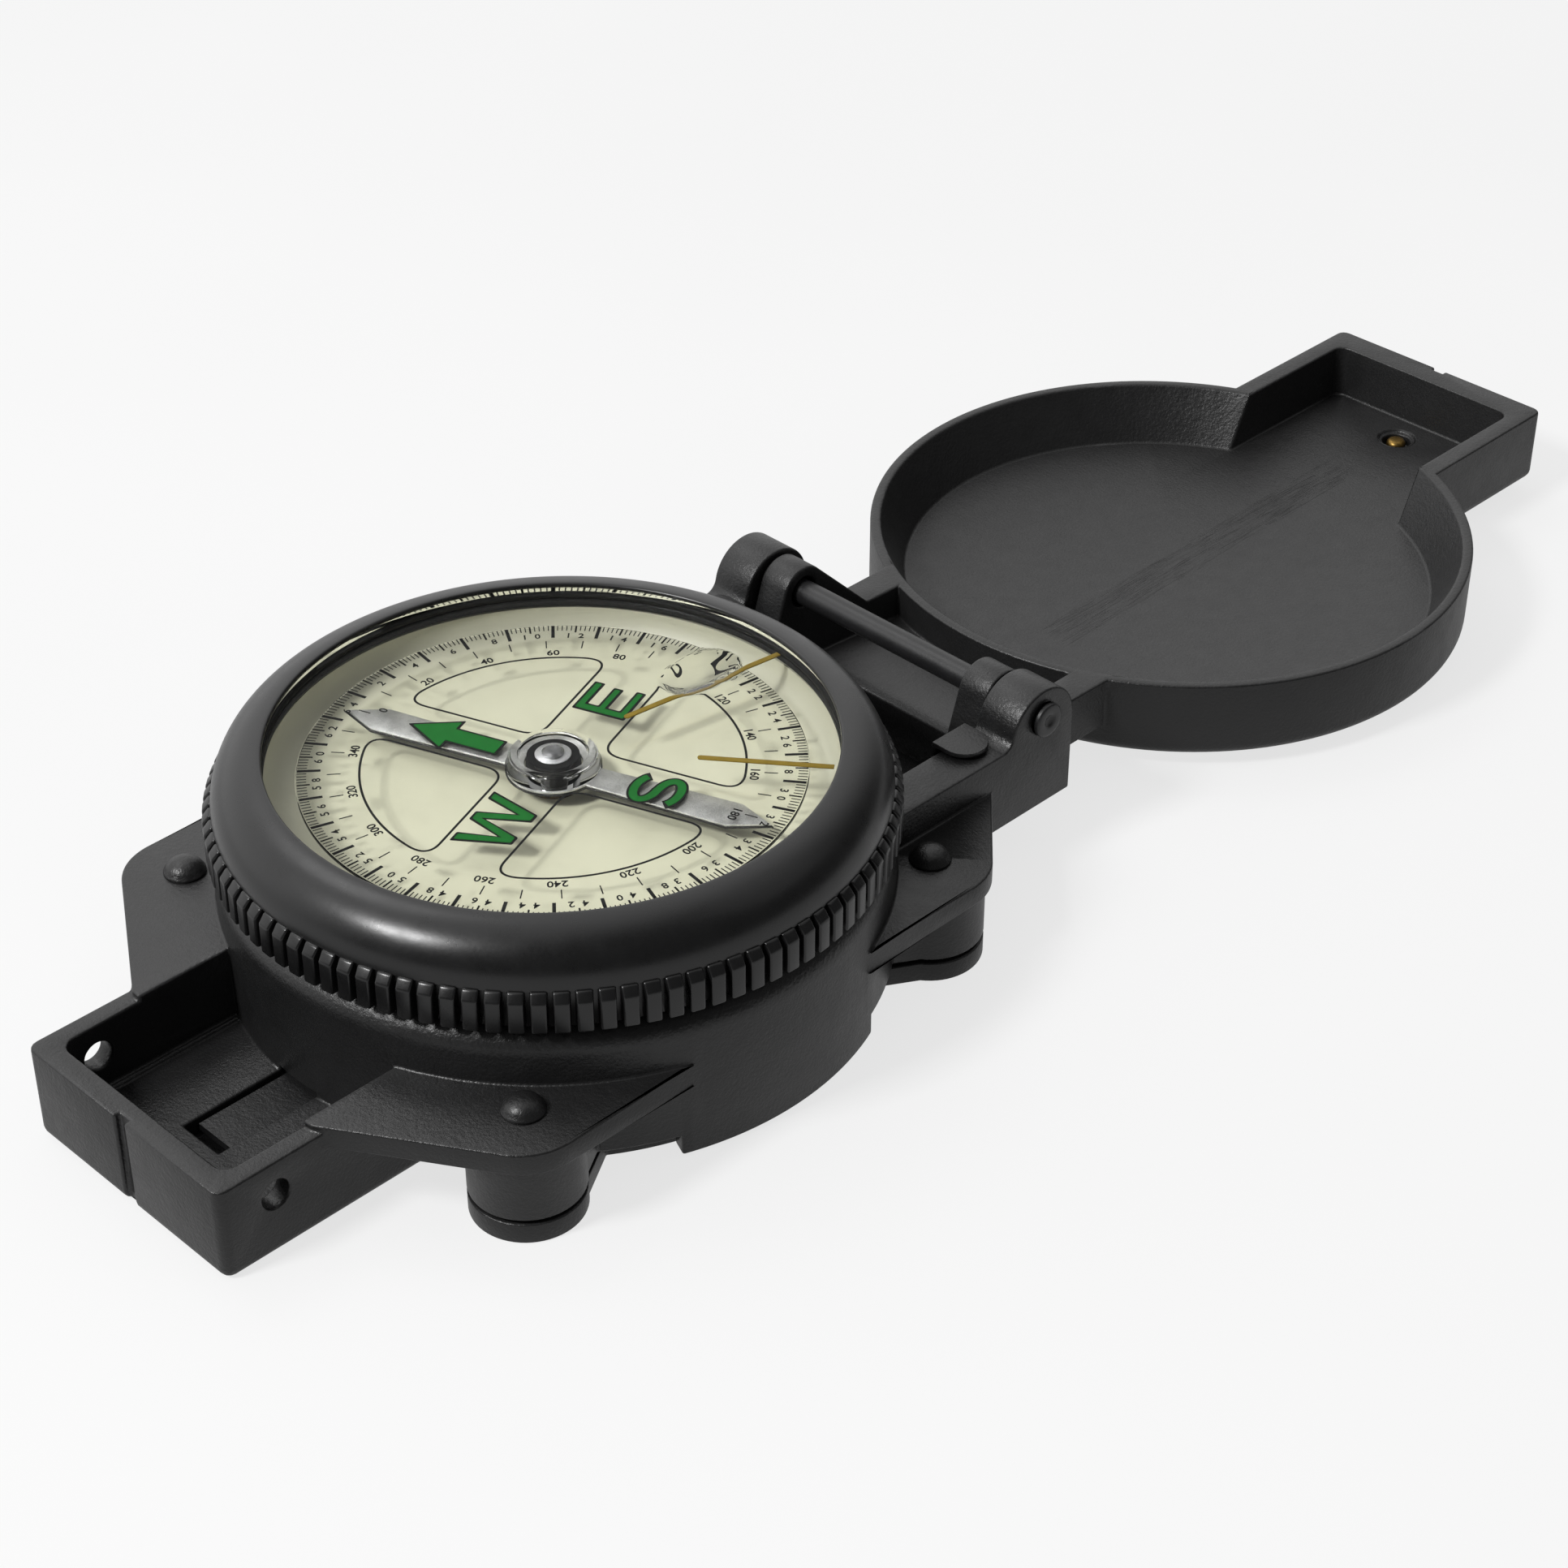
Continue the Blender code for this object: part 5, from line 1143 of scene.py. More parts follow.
@dataclass(frozen=True)
class ClearFinish:
    """Glass or clear plastic."""

    colour: Point3
    roughness: float
    ior: float
    glare: float


class Finishes:
    """Makes each finish once."""

    def __init__(self) -> None:
        """Make the shared effects."""
        grain_inputs = {"Depth": 1.0, "Slope": 1.0}
        self.grain = shader_group("cast_grain", grain_inputs, ("Height", "Tone", "Coarse"), fill_grain)
        self.flow = shader_group("flow_mark", {"Depth": 1.0}, ("Height",), fill_flow)
        self.wear = shader_group("edge_wear", {"Amount": 1.0}, ("Worn",), fill_wear)
        self.dust = shader_group("surface_dust", {"Amount": 1.0}, ("Dust",), fill_dust)

    def _start(self, name: str) -> tuple[bpy.types.Material, NodeKit, bpy.types.Node]:
        """Begin a material.

        Args:
            name: Material name.

        Returns:
            The material, its tree's kit and its shader.
        """
        material = bpy.data.materials.new(name)
        material.use_nodes = True
        kit = NodeKit(material.node_tree)
        return material, kit, material.node_tree.nodes["Principled BSDF"]

    def _mix(self, kit: NodeKit, factor: object, first: object, second: object) -> bpy.types.NodeSocket:
        """Mix two colours.

        Args:
            kit: Tree to add to.
            factor: Share of the second colour, a number or a socket.
            first: First colour or socket.
            second: Second colour or socket.

        Returns:
            The mixed colour.
        """
        node = kit.add("ShaderNodeMix", data_type="RGBA", clamp_factor=True)
        for index, value in ((0, factor), (6, first), (7, second)):
            if isinstance(value, bpy.types.NodeSocket):
                kit.tree.links.new(value, node.inputs[index])
            else:
                node.inputs[index].default_value = value if isinstance(value, float) else (*value, 1.0)
        return node.outputs[2]

    def paint(self, name: str, look: PaintFinish) -> bpy.types.Material:
        """Make painted cast metal with grain, rubbed edges and dust.

        Args:
            name: Material name.
            look: Its values.

        Returns:
            The material.
        """
        material, kit, shader = self._start(name)
        grain = kit.add("ShaderNodeGroup", node_tree=self.grain)
        grain.inputs["Depth"].default_value = look.depth
        grain.inputs["Slope"].default_value = look.slope
        worn = kit.add("ShaderNodeGroup", node_tree=self.wear)
        worn.inputs["Amount"].default_value = look.wear
        dust = kit.add("ShaderNodeGroup", node_tree=self.dust)
        dust.inputs["Amount"].default_value = look.dust
        lighter = tuple(c * 1.55 + 0.002 for c in look.colour)
        tone = kit.math("ADD", grain.outputs["Tone"], 0.4, True)
        base = self._mix(kit, tone, look.colour, lighter)
        dusty = self._mix(kit, dust.outputs[0], base, (0.22, 0.21, 0.20))
        edged = self._mix(kit, worn.outputs[0], dusty, look.worn_colour)
        kit.tree.links.new(edged, shader.inputs["Base Color"])
        rough = kit.math("ADD", kit.math("MULTIPLY", grain.outputs["Tone"], 0.25), look.roughness)
        rough = kit.math("ADD", rough, kit.math("MULTIPLY", grain.outputs["Coarse"], -0.06))
        kit.tree.links.new(rough, shader.inputs["Roughness"])
        height = grain.outputs["Height"]
        if look.flow:
            flow = kit.add("ShaderNodeGroup", node_tree=self.flow)
            flow.inputs["Depth"].default_value = look.flow
            height = kit.math("ADD", height, flow.outputs[0])
        bump = kit.add("ShaderNodeBump", {"Strength": 1.0, "Distance": 0.00003, "Height": height})
        kit.tree.links.new(bump.outputs[0], shader.inputs["Normal"])
        return material

    def metal(self, name: str, look: MetalFinish) -> bpy.types.Material:
        """Make bare metal with a fine grain and small changes of tone.

        Args:
            name: Material name.
            look: Its values.

        Returns:
            The material.
        """
        material, kit, shader = self._start(name)
        place = kit.place(stretch=look.brushed)
        fine = kit.noise(place, 9.0, 4.0, 0.7)
        broad = kit.noise(place, 0.8, 3.0, 0.55)
        darker = tuple(c * 0.62 for c in look.colour)
        level = kit.math("ADD", kit.math("MULTIPLY", fine, 0.55), kit.math("MULTIPLY", broad, 0.45))
        colour = self._mix(kit, kit.ramp(level, 0.36, 0.62), darker, look.colour)
        kit.tree.links.new(colour, shader.inputs["Base Color"])
        rough = kit.math("ADD", kit.math("MULTIPLY", kit.math("SUBTRACT", fine, 0.5), look.sparkle), look.roughness)
        kit.tree.links.new(rough, shader.inputs["Roughness"])
        shader.inputs["Metallic"].default_value = look.metallic
        bump = kit.add("ShaderNodeBump", {"Strength": 0.5, "Distance": 0.000008, "Height": fine})
        kit.tree.links.new(bump.outputs[0], shader.inputs["Normal"])
        return material

    def satin(self, name: str, look: SatinFinish) -> bpy.types.Material:
        """Make a moulded or printed surface of two close tones, darkened towards its rim by painted shade where a rim
        is given.

        Args:
            name: Material name.
            look: Its values.

        Returns:
            The material.
        """
        material, kit, shader = self._start(name)
        place = kit.place()
        cloud = kit.noise(place, look.scale, 4.0, 0.55)
        fine = kit.noise(place, look.scale * 14.0, 2.0, 0.6)
        level = kit.math("ADD", kit.ramp(cloud, 0.35, 0.65, 0.0, look.blend), kit.math("MULTIPLY", fine, 0.12))
        colour = self._mix(kit, level, look.colour, look.second)
        # Painted shade: the colour darkens between the rim radii, in place of the shade that the wall round it casts.
        if look.rim:
            flat = kit.place(stretch=(1.0, 1.0, 0.0))
            radius = kit.add("ShaderNodeVectorMath", {0: flat}, operation="LENGTH").outputs["Value"]
            edge = kit.ramp(kit.math("ADD", radius, cloud), look.rim[0], look.rim[1], 0.0, 0.6)
            colour = self._mix(kit, edge, colour, tuple(c * 0.3 for c in look.second))
        kit.tree.links.new(colour, shader.inputs["Base Color"])
        rough = kit.math("ADD", kit.math("MULTIPLY", fine, 0.12), look.roughness)
        kit.tree.links.new(rough, shader.inputs["Roughness"])
        shader.inputs["Specular IOR Level"].default_value = look.gloss
        bump = kit.add("ShaderNodeBump", {"Strength": 0.6, "Distance": look.depth, "Height": fine})
        kit.tree.links.new(bump.outputs[0], shader.inputs["Normal"])
        return material

    def clear(self, name: str, look: ClearFinish) -> bpy.types.Material:
        """Make a clear solid that lets lamp light through.

        Args:
            name: Material name.
            look: Its values.

        Returns:
            The material.
        """
        material, kit, shader = self._start(name)
        smear = kit.ramp(kit.noise(kit.place(), 0.35, 3.0, 0.6), 0.45, 0.75)
        dull = tuple(c * 0.97 for c in look.colour)
        kit.tree.links.new(self._mix(kit, smear, look.colour, dull), shader.inputs["Base Color"])
        shader.inputs["Roughness"].default_value = look.roughness
        shader.inputs["Transmission Weight"].default_value = 1.0
        shader.inputs["IOR"].default_value = look.ior
        shader.inputs["Specular Tint"].default_value = (look.glare, look.glare, look.glare, 1.0)
        ray = kit.add("ShaderNodeLightPath")
        through = kit.add("ShaderNodeBsdfTransparent", {"Color": (*look.colour, 1.0)})
        choice = kit.add("ShaderNodeMixShader")
        straight = kit.math("MAXIMUM", ray.outputs["Is Shadow Ray"], ray.outputs["Is Diffuse Ray"])
        kit.tree.links.new(straight, choice.inputs[0])
        kit.tree.links.new(shader.outputs[0], choice.inputs[1])
        kit.tree.links.new(through.outputs[0], choice.inputs[2])
        kit.tree.links.new(choice.outputs[0], material.node_tree.nodes["Material Output"].inputs["Surface"])
        return material


class Palette:
    """The compass's finishes."""

    def __init__(self) -> None:
        """Make all finishes."""
        made = Finishes()
        self.case = made.paint("cast_black", PaintFinish((0.0075, 0.0075, 0.0077), 0.38, 1.5, 0.12, 0.3, 0.035))
        lid = PaintFinish((0.0080, 0.0080, 0.0082), 0.42, 1.4, 0.13, 0.3, 0.05, flow=1.3)
        self.lid = made.paint("cast_black_lid", lid)
        self.bezel = made.paint("bezel_black", PaintFinish((0.0060, 0.0060, 0.0062), 0.30, 0.12, 0.05, 0.0, 0.008))
        gasket = SatinFinish((0.008, 0.008, 0.008), (0.015, 0.015, 0.015), 0.6, 1.0, 0.000004, gloss=0.1)
        self.gasket = made.satin("gasket_black", gasket)
        self.glass = made.clear("clear_glass", ClearFinish((0.985, 0.99, 0.985), 0.0, 1.5, 0.05))
        self.plastic = made.clear("clear_plastic", ClearFinish((0.985, 0.985, 0.965), 0.0, 1.47, 0.05))
        # The liner darkens from 19.5 to 22.5 mm out: painted shade near the bezel's wall.
        liner = SatinFinish((0.85, 0.835, 0.665), (0.80, 0.785, 0.615), 0.42, 0.16, 0.000006, rim=(19.5, 22.5))
        self.liner = made.satin("liner_cream", liner)
        self.steel = made.metal("bright_steel", MetalFinish((0.62, 0.62, 0.63), 0.24, 0.15))
        self.needle = made.metal("magnet_silver", MetalFinish((0.84, 0.84, 0.85), 0.42, 0.4))
        self.dark_edge = made.metal("needle_edge", MetalFinish((0.05, 0.05, 0.05), 0.45, 0.2))
        self.spring = made.metal("spring_steel", MetalFinish((0.45, 0.45, 0.46), 0.32, 0.2, (1.0, 8.0, 1.0)))
        blackened = PaintFinish((0.010, 0.010, 0.0105), 0.40, 0.35, 0.2, 0.7, 0.03)
        self.dark_steel = made.paint("blackened_steel", blackened)
        self.brass = made.metal("brass", MetalFinish((0.30, 0.19, 0.055), 0.40, 0.25))
        gold = SatinFinish((0.30, 0.20, 0.018), (0.22, 0.145, 0.012), 0.42, 1.2, 0.000005, gloss=0.15)
        self.gold = made.satin("line_gold", gold)
        green = SatinFinish((0.012, 0.17, 0.026), (0.010, 0.14, 0.021), 0.45, 0.9, 0.000004, gloss=0.05)
        self.green = made.satin("signal_green", green)
        ink = SatinFinish((0.010, 0.010, 0.010), (0.02, 0.02, 0.02), 0.5, 1.0, 0.000003, gloss=0.05)
        self.ink = made.satin("print_ink", ink)


# Shapes of the case


@dataclass(frozen=True)
class Case:
    """Visible case, bottom cover, rivets and lock lever."""

    palette: Palette
    s: CaseSizes = CaseSizes()
    c: CoverSizes = CoverSizes()
    h: HingeSizes = HingeSizes()
    lock: LeverSizes = LeverSizes()

    def rivets(self) -> list[tuple[str, float, float]]:
        """List the four rivets.

        Returns:
            Name and place of each.
        """
        s = self.s
        return [(f"{row}_{side}", x, y) for side, x in (("left", -s.rivet_x), ("right", s.rivet_x))
                for row, y in (("front", -s.rivet_y), ("rear", s.rivet_y))]

    def line_at(self, direction: float, x: float, centre: Point) -> float:
        """Give y where an ear's slanted edge crosses x.

        Args:
            direction: Direction that the edge faces.
            x: Place along X.
            centre: Centre of the ear's round corner.

        Returns:
            The y of the crossing.
        """
        normal = Vector((math.cos(direction), math.sin(direction)))
        return centre[1] + (self.s.ear_radius - normal.x * (x - centre[0])) / normal.y

    def ear_outline(self) -> list[Point]:
        """Outline the plate of the four ears.

        Returns:
            The outline.
        """
        s = self.s
        front = (s.rivet_x, -s.rivet_y)
        rear = (s.rivet_x, s.rivet_y)
        in_box = s.box_half - s.side_wall / 2.0
        in_arm = (s.arm_inner + s.arm_outer) / 2.0
        half = [(in_box, self.line_at(s.front_edge, in_box, front))]
        half += arc(front, s.ear_radius, s.front_edge, 0.0, 14)
        half += arc(rear, s.ear_radius, 0.0, s.rear_edge, 12)
        half.append((in_arm, self.line_at(s.rear_edge, in_arm, rear)))
        return half + [(-x, y) for x, y in reversed(half)]

    def lobe(self, x: float, y: float) -> list[Point]:
        """Outline a foot boss that widens towards the middle.

        Args:
            x: Rivet's x.
            y: Rivet's y.

        Returns:
            The outline.
        """
        outward = math.atan2(y, x)
        distance = math.hypot(x, y)
        start = -QUARTER - self.s.lobe_flare
        end = arc((distance, 0.0), self.s.boss_radius, start, -start, 36)
        run = distance - self.c.radius + 3.2
        half = end[-1][1] + run * math.tan(self.s.lobe_flare)
        turn = Matrix.Rotation(outward, 2)
        outline = [(distance - run, -half)] + end + [(distance - run, half)]
        return [tuple(turn @ Vector(point)) for point in outline]

    def arm_outline(self) -> list[Point]:
        """Outline a hinge arm from the side.

        Returns:
            Points of (y, z).
        """
        s = self.s
        knuckle = (self.h.y, s.knuckle_z)
        rise = s.arm_top + s.arm_fillet - knuckle[1]
        reach = math.sqrt((s.knuckle + s.arm_fillet) ** 2 - rise ** 2)
        fillet = (knuckle[0] - reach, s.arm_top + s.arm_fillet)
        meet = math.atan2(-rise, reach)
        points = [(s.arm_root, s.arm_bottom), (knuckle[0] + s.knuckle, s.arm_bottom)]
        points += arc(knuckle, s.knuckle, 0.0, math.pi + meet, 40)
        points += arc(fillet, s.arm_fillet, meet, -QUARTER, 10)[1:]
        return points + [(s.arm_root, s.arm_top)]

    def bowl(self) -> bpy.types.Object:
        """Turn the bowl without its hollow.

        Returns:
            The solid.
        """
        s = self.s
        shoulder = (s.bowl - s.shoulder_round, s.shoulder_top - s.shoulder_round)
        profile = [(0.0, s.neck_top), (s.neck, s.neck_top), (s.neck, s.shoulder_top)]
        profile += arc(shoulder, s.shoulder_round, QUARTER, 0.0, 10)
        return lathe("bowl", profile + [(s.bowl, s.skirt_bottom), (0.0, s.skirt_bottom)])

    def skirt_notch(self, name: str, start: float, end: float) -> bpy.types.Object:
        """Make the cutter that raises the skirt's edge.

        Args:
            name: Name of the cutter.
            start: First angle.
            end: Last angle.

        Returns:
            The cutter.
        """
        outline = arc((0.0, 0.0), self.s.bowl + 1.0, start, end, 40)
        outline += arc((0.0, 0.0), self.s.cavity - 1.0, end, start, 40)
        return prism(name, outline, -1.0, self.s.boss_bottom)

    def body(self) -> None:
        """Build the cast case."""
        s, h = self.s, self.h
        body = prism("case_shell", self.ear_outline(), s.ear_bottom, s.ear_top)
        past = s.box_top + 4.0
        box = block("box", (-s.box_half, s.box_front, 0.0), (s.box_half, s.box_end, past), BOX_CORNER, 4)
        trim = block("box_trim", (-s.box_half - PAST, s.box_front - PAST, s.box_top),
                     (s.box_half + PAST, -12.0, past + PAST))
        apply_tools(box, [(trim, Op.CUT)])
        right = side_prism("right_arm", self.arm_outline(), s.arm_inner, s.arm_outer)
        tools = [(box, Op.JOIN), (right, Op.JOIN), (mirror_x(right, "left_arm"), Op.JOIN)]
        for name, x, y in self.rivets():
            tools.append((prism(f"boss_{name}", self.lobe(x, y), s.boss_bottom, s.ear_top - 0.3), Op.JOIN))
        inner = s.box_half - s.side_wall
        wall = s.box_front + s.front_wall
        hollow = rounded_rectangle((-inner, wall), (inner, s.hollow_end), s.hollow_corner)
        tools.append((prism("box_hollow", hollow, s.box_floor, s.ear_top + PAST), Op.CUT))
        loops = []
        for inset_by, corner in ((s.line_inset, 0.9), (s.line_inset + s.line_width, 0.6)):
            low, high = (-inner + inset_by, wall + inset_by), (inner - inset_by, s.line_end)
            loops.append(rounded_rectangle(low, high, corner))
        groove = prism("floor_line", loops[0], s.box_floor - s.line_depth, s.box_floor + 0.5)
        core = prism("floor_line_core", loops[1], s.box_floor - PAST, s.box_floor + PAST)
        apply_tools(groove, [(core, Op.CUT)])
        tools.append((groove, Op.CUT))
        well = block("well", (-s.arm_inner, 0.0, s.ear_bottom - PAST),
                     (s.arm_inner, h.y + s.knuckle + PAST, s.ear_top + PAST))
        tools += [(well, Op.CUT), (self.bowl(), Op.JOIN)]
        lean = (s.cavity_shoulder + s.deck_bottom) / 2.0
        cavity = [(0.0, s.deck_bottom), (s.cavity_top, s.deck_bottom), (s.cavity_top, lean)]
        cavity += [(s.cavity, s.cavity_shoulder), (s.cavity, -PAST), (0.0, -PAST)]
        recess = [(0.0, s.neck_top + PAST), (s.recess, s.neck_top + PAST), (s.recess, s.deck_top), (0.0, s.deck_top)]
        tools += [(lathe("cavity", cavity), Op.CUT), (lathe("recess", recess), Op.CUT)]
        tools.append((rod("lifter_hole", (0, 0, 12.0), (0, 0, 17.0), s.lifter_hole), Op.CUT))
        end = math.acos((s.box_half + 0.3) / s.bowl)
        for name, start, stop in (
            ("right_notch", -end, -s.notch_start),
            ("left_notch", math.pi + s.notch_start, math.pi + end),
            ("rear_notch", s.notch_start, math.pi - s.notch_start),
        ):
            tools.append((self.skirt_notch(name, start, stop), Op.CUT))
        slot = block("slot", (-s.slot_half, s.slot_end, s.slot_floor), (s.slot_half, s.slot_front, s.slot_roof))
        tools.append((slot, Op.CUT))
        pin = rod("pin_hole", (-s.pin_reach, h.y, h.z), (s.pin_reach, h.y, h.z), h.radius + PIN_PLAY)
        across = s.hole_reach
        holes = rod("eyepiece_holes", (-across, s.hole_y, s.hole_z), (across, s.hole_y, s.hole_z), s.hole_radius)
        front = block("front_groove", (-s.groove_half, s.box_front - PAST, -PAST),
                      (s.groove_half, s.box_front + s.groove_depth, s.box_top + PAST))
        tools += [(pin, Op.CUT), (holes, Op.CUT), (front, Op.CUT)]
        apply_tools(body, tools)
        cast_edges(body, CAST_ROUND)
        complete(body, self.palette.case, Body.CASE, ["case_body"])

    def cover(self) -> None:
        """Build the bottom cover."""
        c = self.c
        cover = lathe("cover_plate", [(0.0, c.thickness), (c.radius, c.thickness), (c.radius, 0.0), (0.0, 0.0)])
        tools = [(prism(f"lobe_{n}", self.lobe(x, y), 0.0, c.thickness), Op.JOIN) for n, x, y in self.rivets()]
        tools.append((block("tail", (-c.tail_half, 18.8, 0.0), (c.tail_half, c.tail_end, c.thickness)), Op.JOIN))
        for name, x in (("left_lug", -c.lug_inner - c.lug_thickness), ("right_lug", c.lug_inner)):
            low = (x, c.lug_y - c.lug_half, 0.9)
            tools.append((block(name, low, (x + c.lug_thickness, c.lug_y + c.lug_half, c.lug_top)), Op.JOIN))
        tools.append((rod("post_boss", (0, 0, 0.9), (0, 0, c.boss_top), c.boss_radius), Op.JOIN))
        tools.append((block("notch", (-c.notch_half, -26.0, -1.0), (c.notch_half, c.notch_end, 2.8)), Op.CUT))
        for name, x, y in self.rivets():
            tools.append((rod(f"sink_{name}", (x, y, -1.0), (x, y, c.sink_top), c.sink_radius), Op.CUT))
            tools.append((rod(f"shank_{name}", (x, y, 0.5), (x, y, 3.0), 1.1, 24), Op.CUT))
        apply_tools(cover, tools)
        cast_edges(cover, 0.18)
        complete(cover, self.palette.case, Body.CASE, ["bottom_cover"])

    def rivet_heads(self) -> None:
        """Build the four rivets: low domed heads with a soft brim, and flush tails."""
        head = self.s.ear_top
        dome = [(0.0, 1.23), (0.35, 1.21), (0.72, 1.13), (1.05, 0.98), (1.32, 0.76), (1.50, 0.52), (1.60, 0.30)]
        brim = [(1.68, 0.22), (1.70, 0.12), (1.66, 0.02), (0.8, 0.02)]
        profile = [(r, head + z) for r, z in dome + brim]
        profile += [(0.8, 0.6), (1.42, 0.6), (1.5, 0.52), (1.5, 0.22), (1.42, 0.15), (0.0, 0.15)]
        for name, x, y in self.rivets():
            rivet = lathe(f"rivet_{name}", profile, 40)
            rivet.data.transform(Matrix.Translation((x, y, 0.0)))
            complete(rivet, self.palette.case, Body.CASE, [f"cover_rivet_{name}"], 50.0)

    def lever(self) -> None:
        """Build the lock lever, whose tongue shows in the box's floor."""
        k, y = self.lock, self.c.lug_y
        tongue_top, tail_top = k.tongue_bottom + k.thickness, k.tail_bottom + k.thickness
        outline = [(k.front, k.tongue_bottom), (k.crank_front, k.tongue_bottom), (k.crank_rear, k.tail_bottom)]
        outline += [(k.rear, k.tail_bottom), (k.rear, tail_top), (k.crank_rear - k.crank_lean, tail_top)]
        outline += [(k.crank_front - k.crank_lean, tongue_top), (k.front, tongue_top)]
        lever = side_prism("lock_tongue", outline, -k.half_width, k.half_width)
        eye = rod("eye", (-k.eye_half, y, k.eye_z), (k.eye_half, y, k.eye_z), k.eye_radius)
        bore = rod("bore", (-3.0, y, k.eye_z), (3.0, y, k.eye_z), k.eye_bore)
        fork = block("fork", (-k.fork_half, k.fork_front, 3.0), (k.fork_half, 3.7, 5.8))
        apply_tools(lever, [(eye, Op.JOIN), (bore, Op.CUT), (fork, Op.CUT)])
        edge_bevel(lever, 0.1)
        complete(lever, self.palette.case, Body.LEVER, ["lock_lever"])

    def build(self) -> None:
        """Build all of it."""
        self.body()
        self.cover()
        self.rivet_heads()
        self.lever()


@dataclass(frozen=True)
class Hinge:
    """Hinge pin and leaf springs."""

    palette: Palette
    h: HingeSizes = HingeSizes()

    def pin(self) -> None:
        """Build the pin with its riveted, dimpled heads."""
        h = self.h
        end = h.head_end
        half = [(0.0, end - h.dimple_depth), (0.3, end - h.dimple_depth * 0.9), (0.52, end - 0.1), (0.66, end - 0.02)]
        half += [(0.8, end), (1.2, end), (1.38, end - 0.03), (1.47, end - 0.1), (h.head_radius, end - 0.18)]
        half += [(h.head_radius, h.head_start + 0.05), (1.45, h.head_start), (h.radius, h.head_start)]
        profile = half + [(r, -x) for r, x in reversed(half)]
        pin = lathe("pin", profile, 48)
        lay_down = Matrix.Translation((0.0, h.y, h.z)) @ Matrix.Rotation(QUARTER, 4, "Y")
        pin.data.transform(lay_down)
        complete(pin, self.palette.dark_steel, Body.CASE, ["hinge_pin"])

    def springs(self) -> None:
        """Build the two leaf springs: tab on the arm, blade down the well and foot."""
        h = self.h
        radius = h.leaf_tab_width / 2.0
        tab_top = h.leaf_tab_bottom + h.leaf_thickness
        inner = h.leaf_blade - h.leaf_thickness
        outline = [(inner, h.leaf_front)]
        outline += arc((h.leaf_tab_end - radius, h.leaf_front + radius), radius, -QUARTER, QUARTER, 28)
        outline.append((inner, h.leaf_front + h.leaf_tab_width))
        right = prism("leaf_right", outline, h.leaf_tab_bottom, tab_top)
        rear = h.leaf_front + h.leaf_blade_width
        blade = block("blade", (inner + 0.05, h.leaf_front + 0.05, h.leaf_foot_bottom),
                      (h.leaf_blade, rear, tab_top - 0.05))
        foot = block("foot", (h.leaf_foot_inner, h.leaf_front + 0.1, h.leaf_foot_bottom),
                     (h.leaf_blade - 0.05, rear - 0.05, h.leaf_foot_bottom + h.leaf_thickness))
        apply_tools(right, [(blade, Op.JOIN), (foot, Op.JOIN)])
        cast_soft(right, 0.09, 2, 60000)
        left = mirror_x(right, "leaf_left")
        complete(right, self.palette.case, Body.CASE, ["lid_spring_right"])
        complete(left, self.palette.case, Body.CASE, ["lid_spring_left"])

    def build(self) -> None:
        """Build all of it."""
        self.pin()
        self.springs()


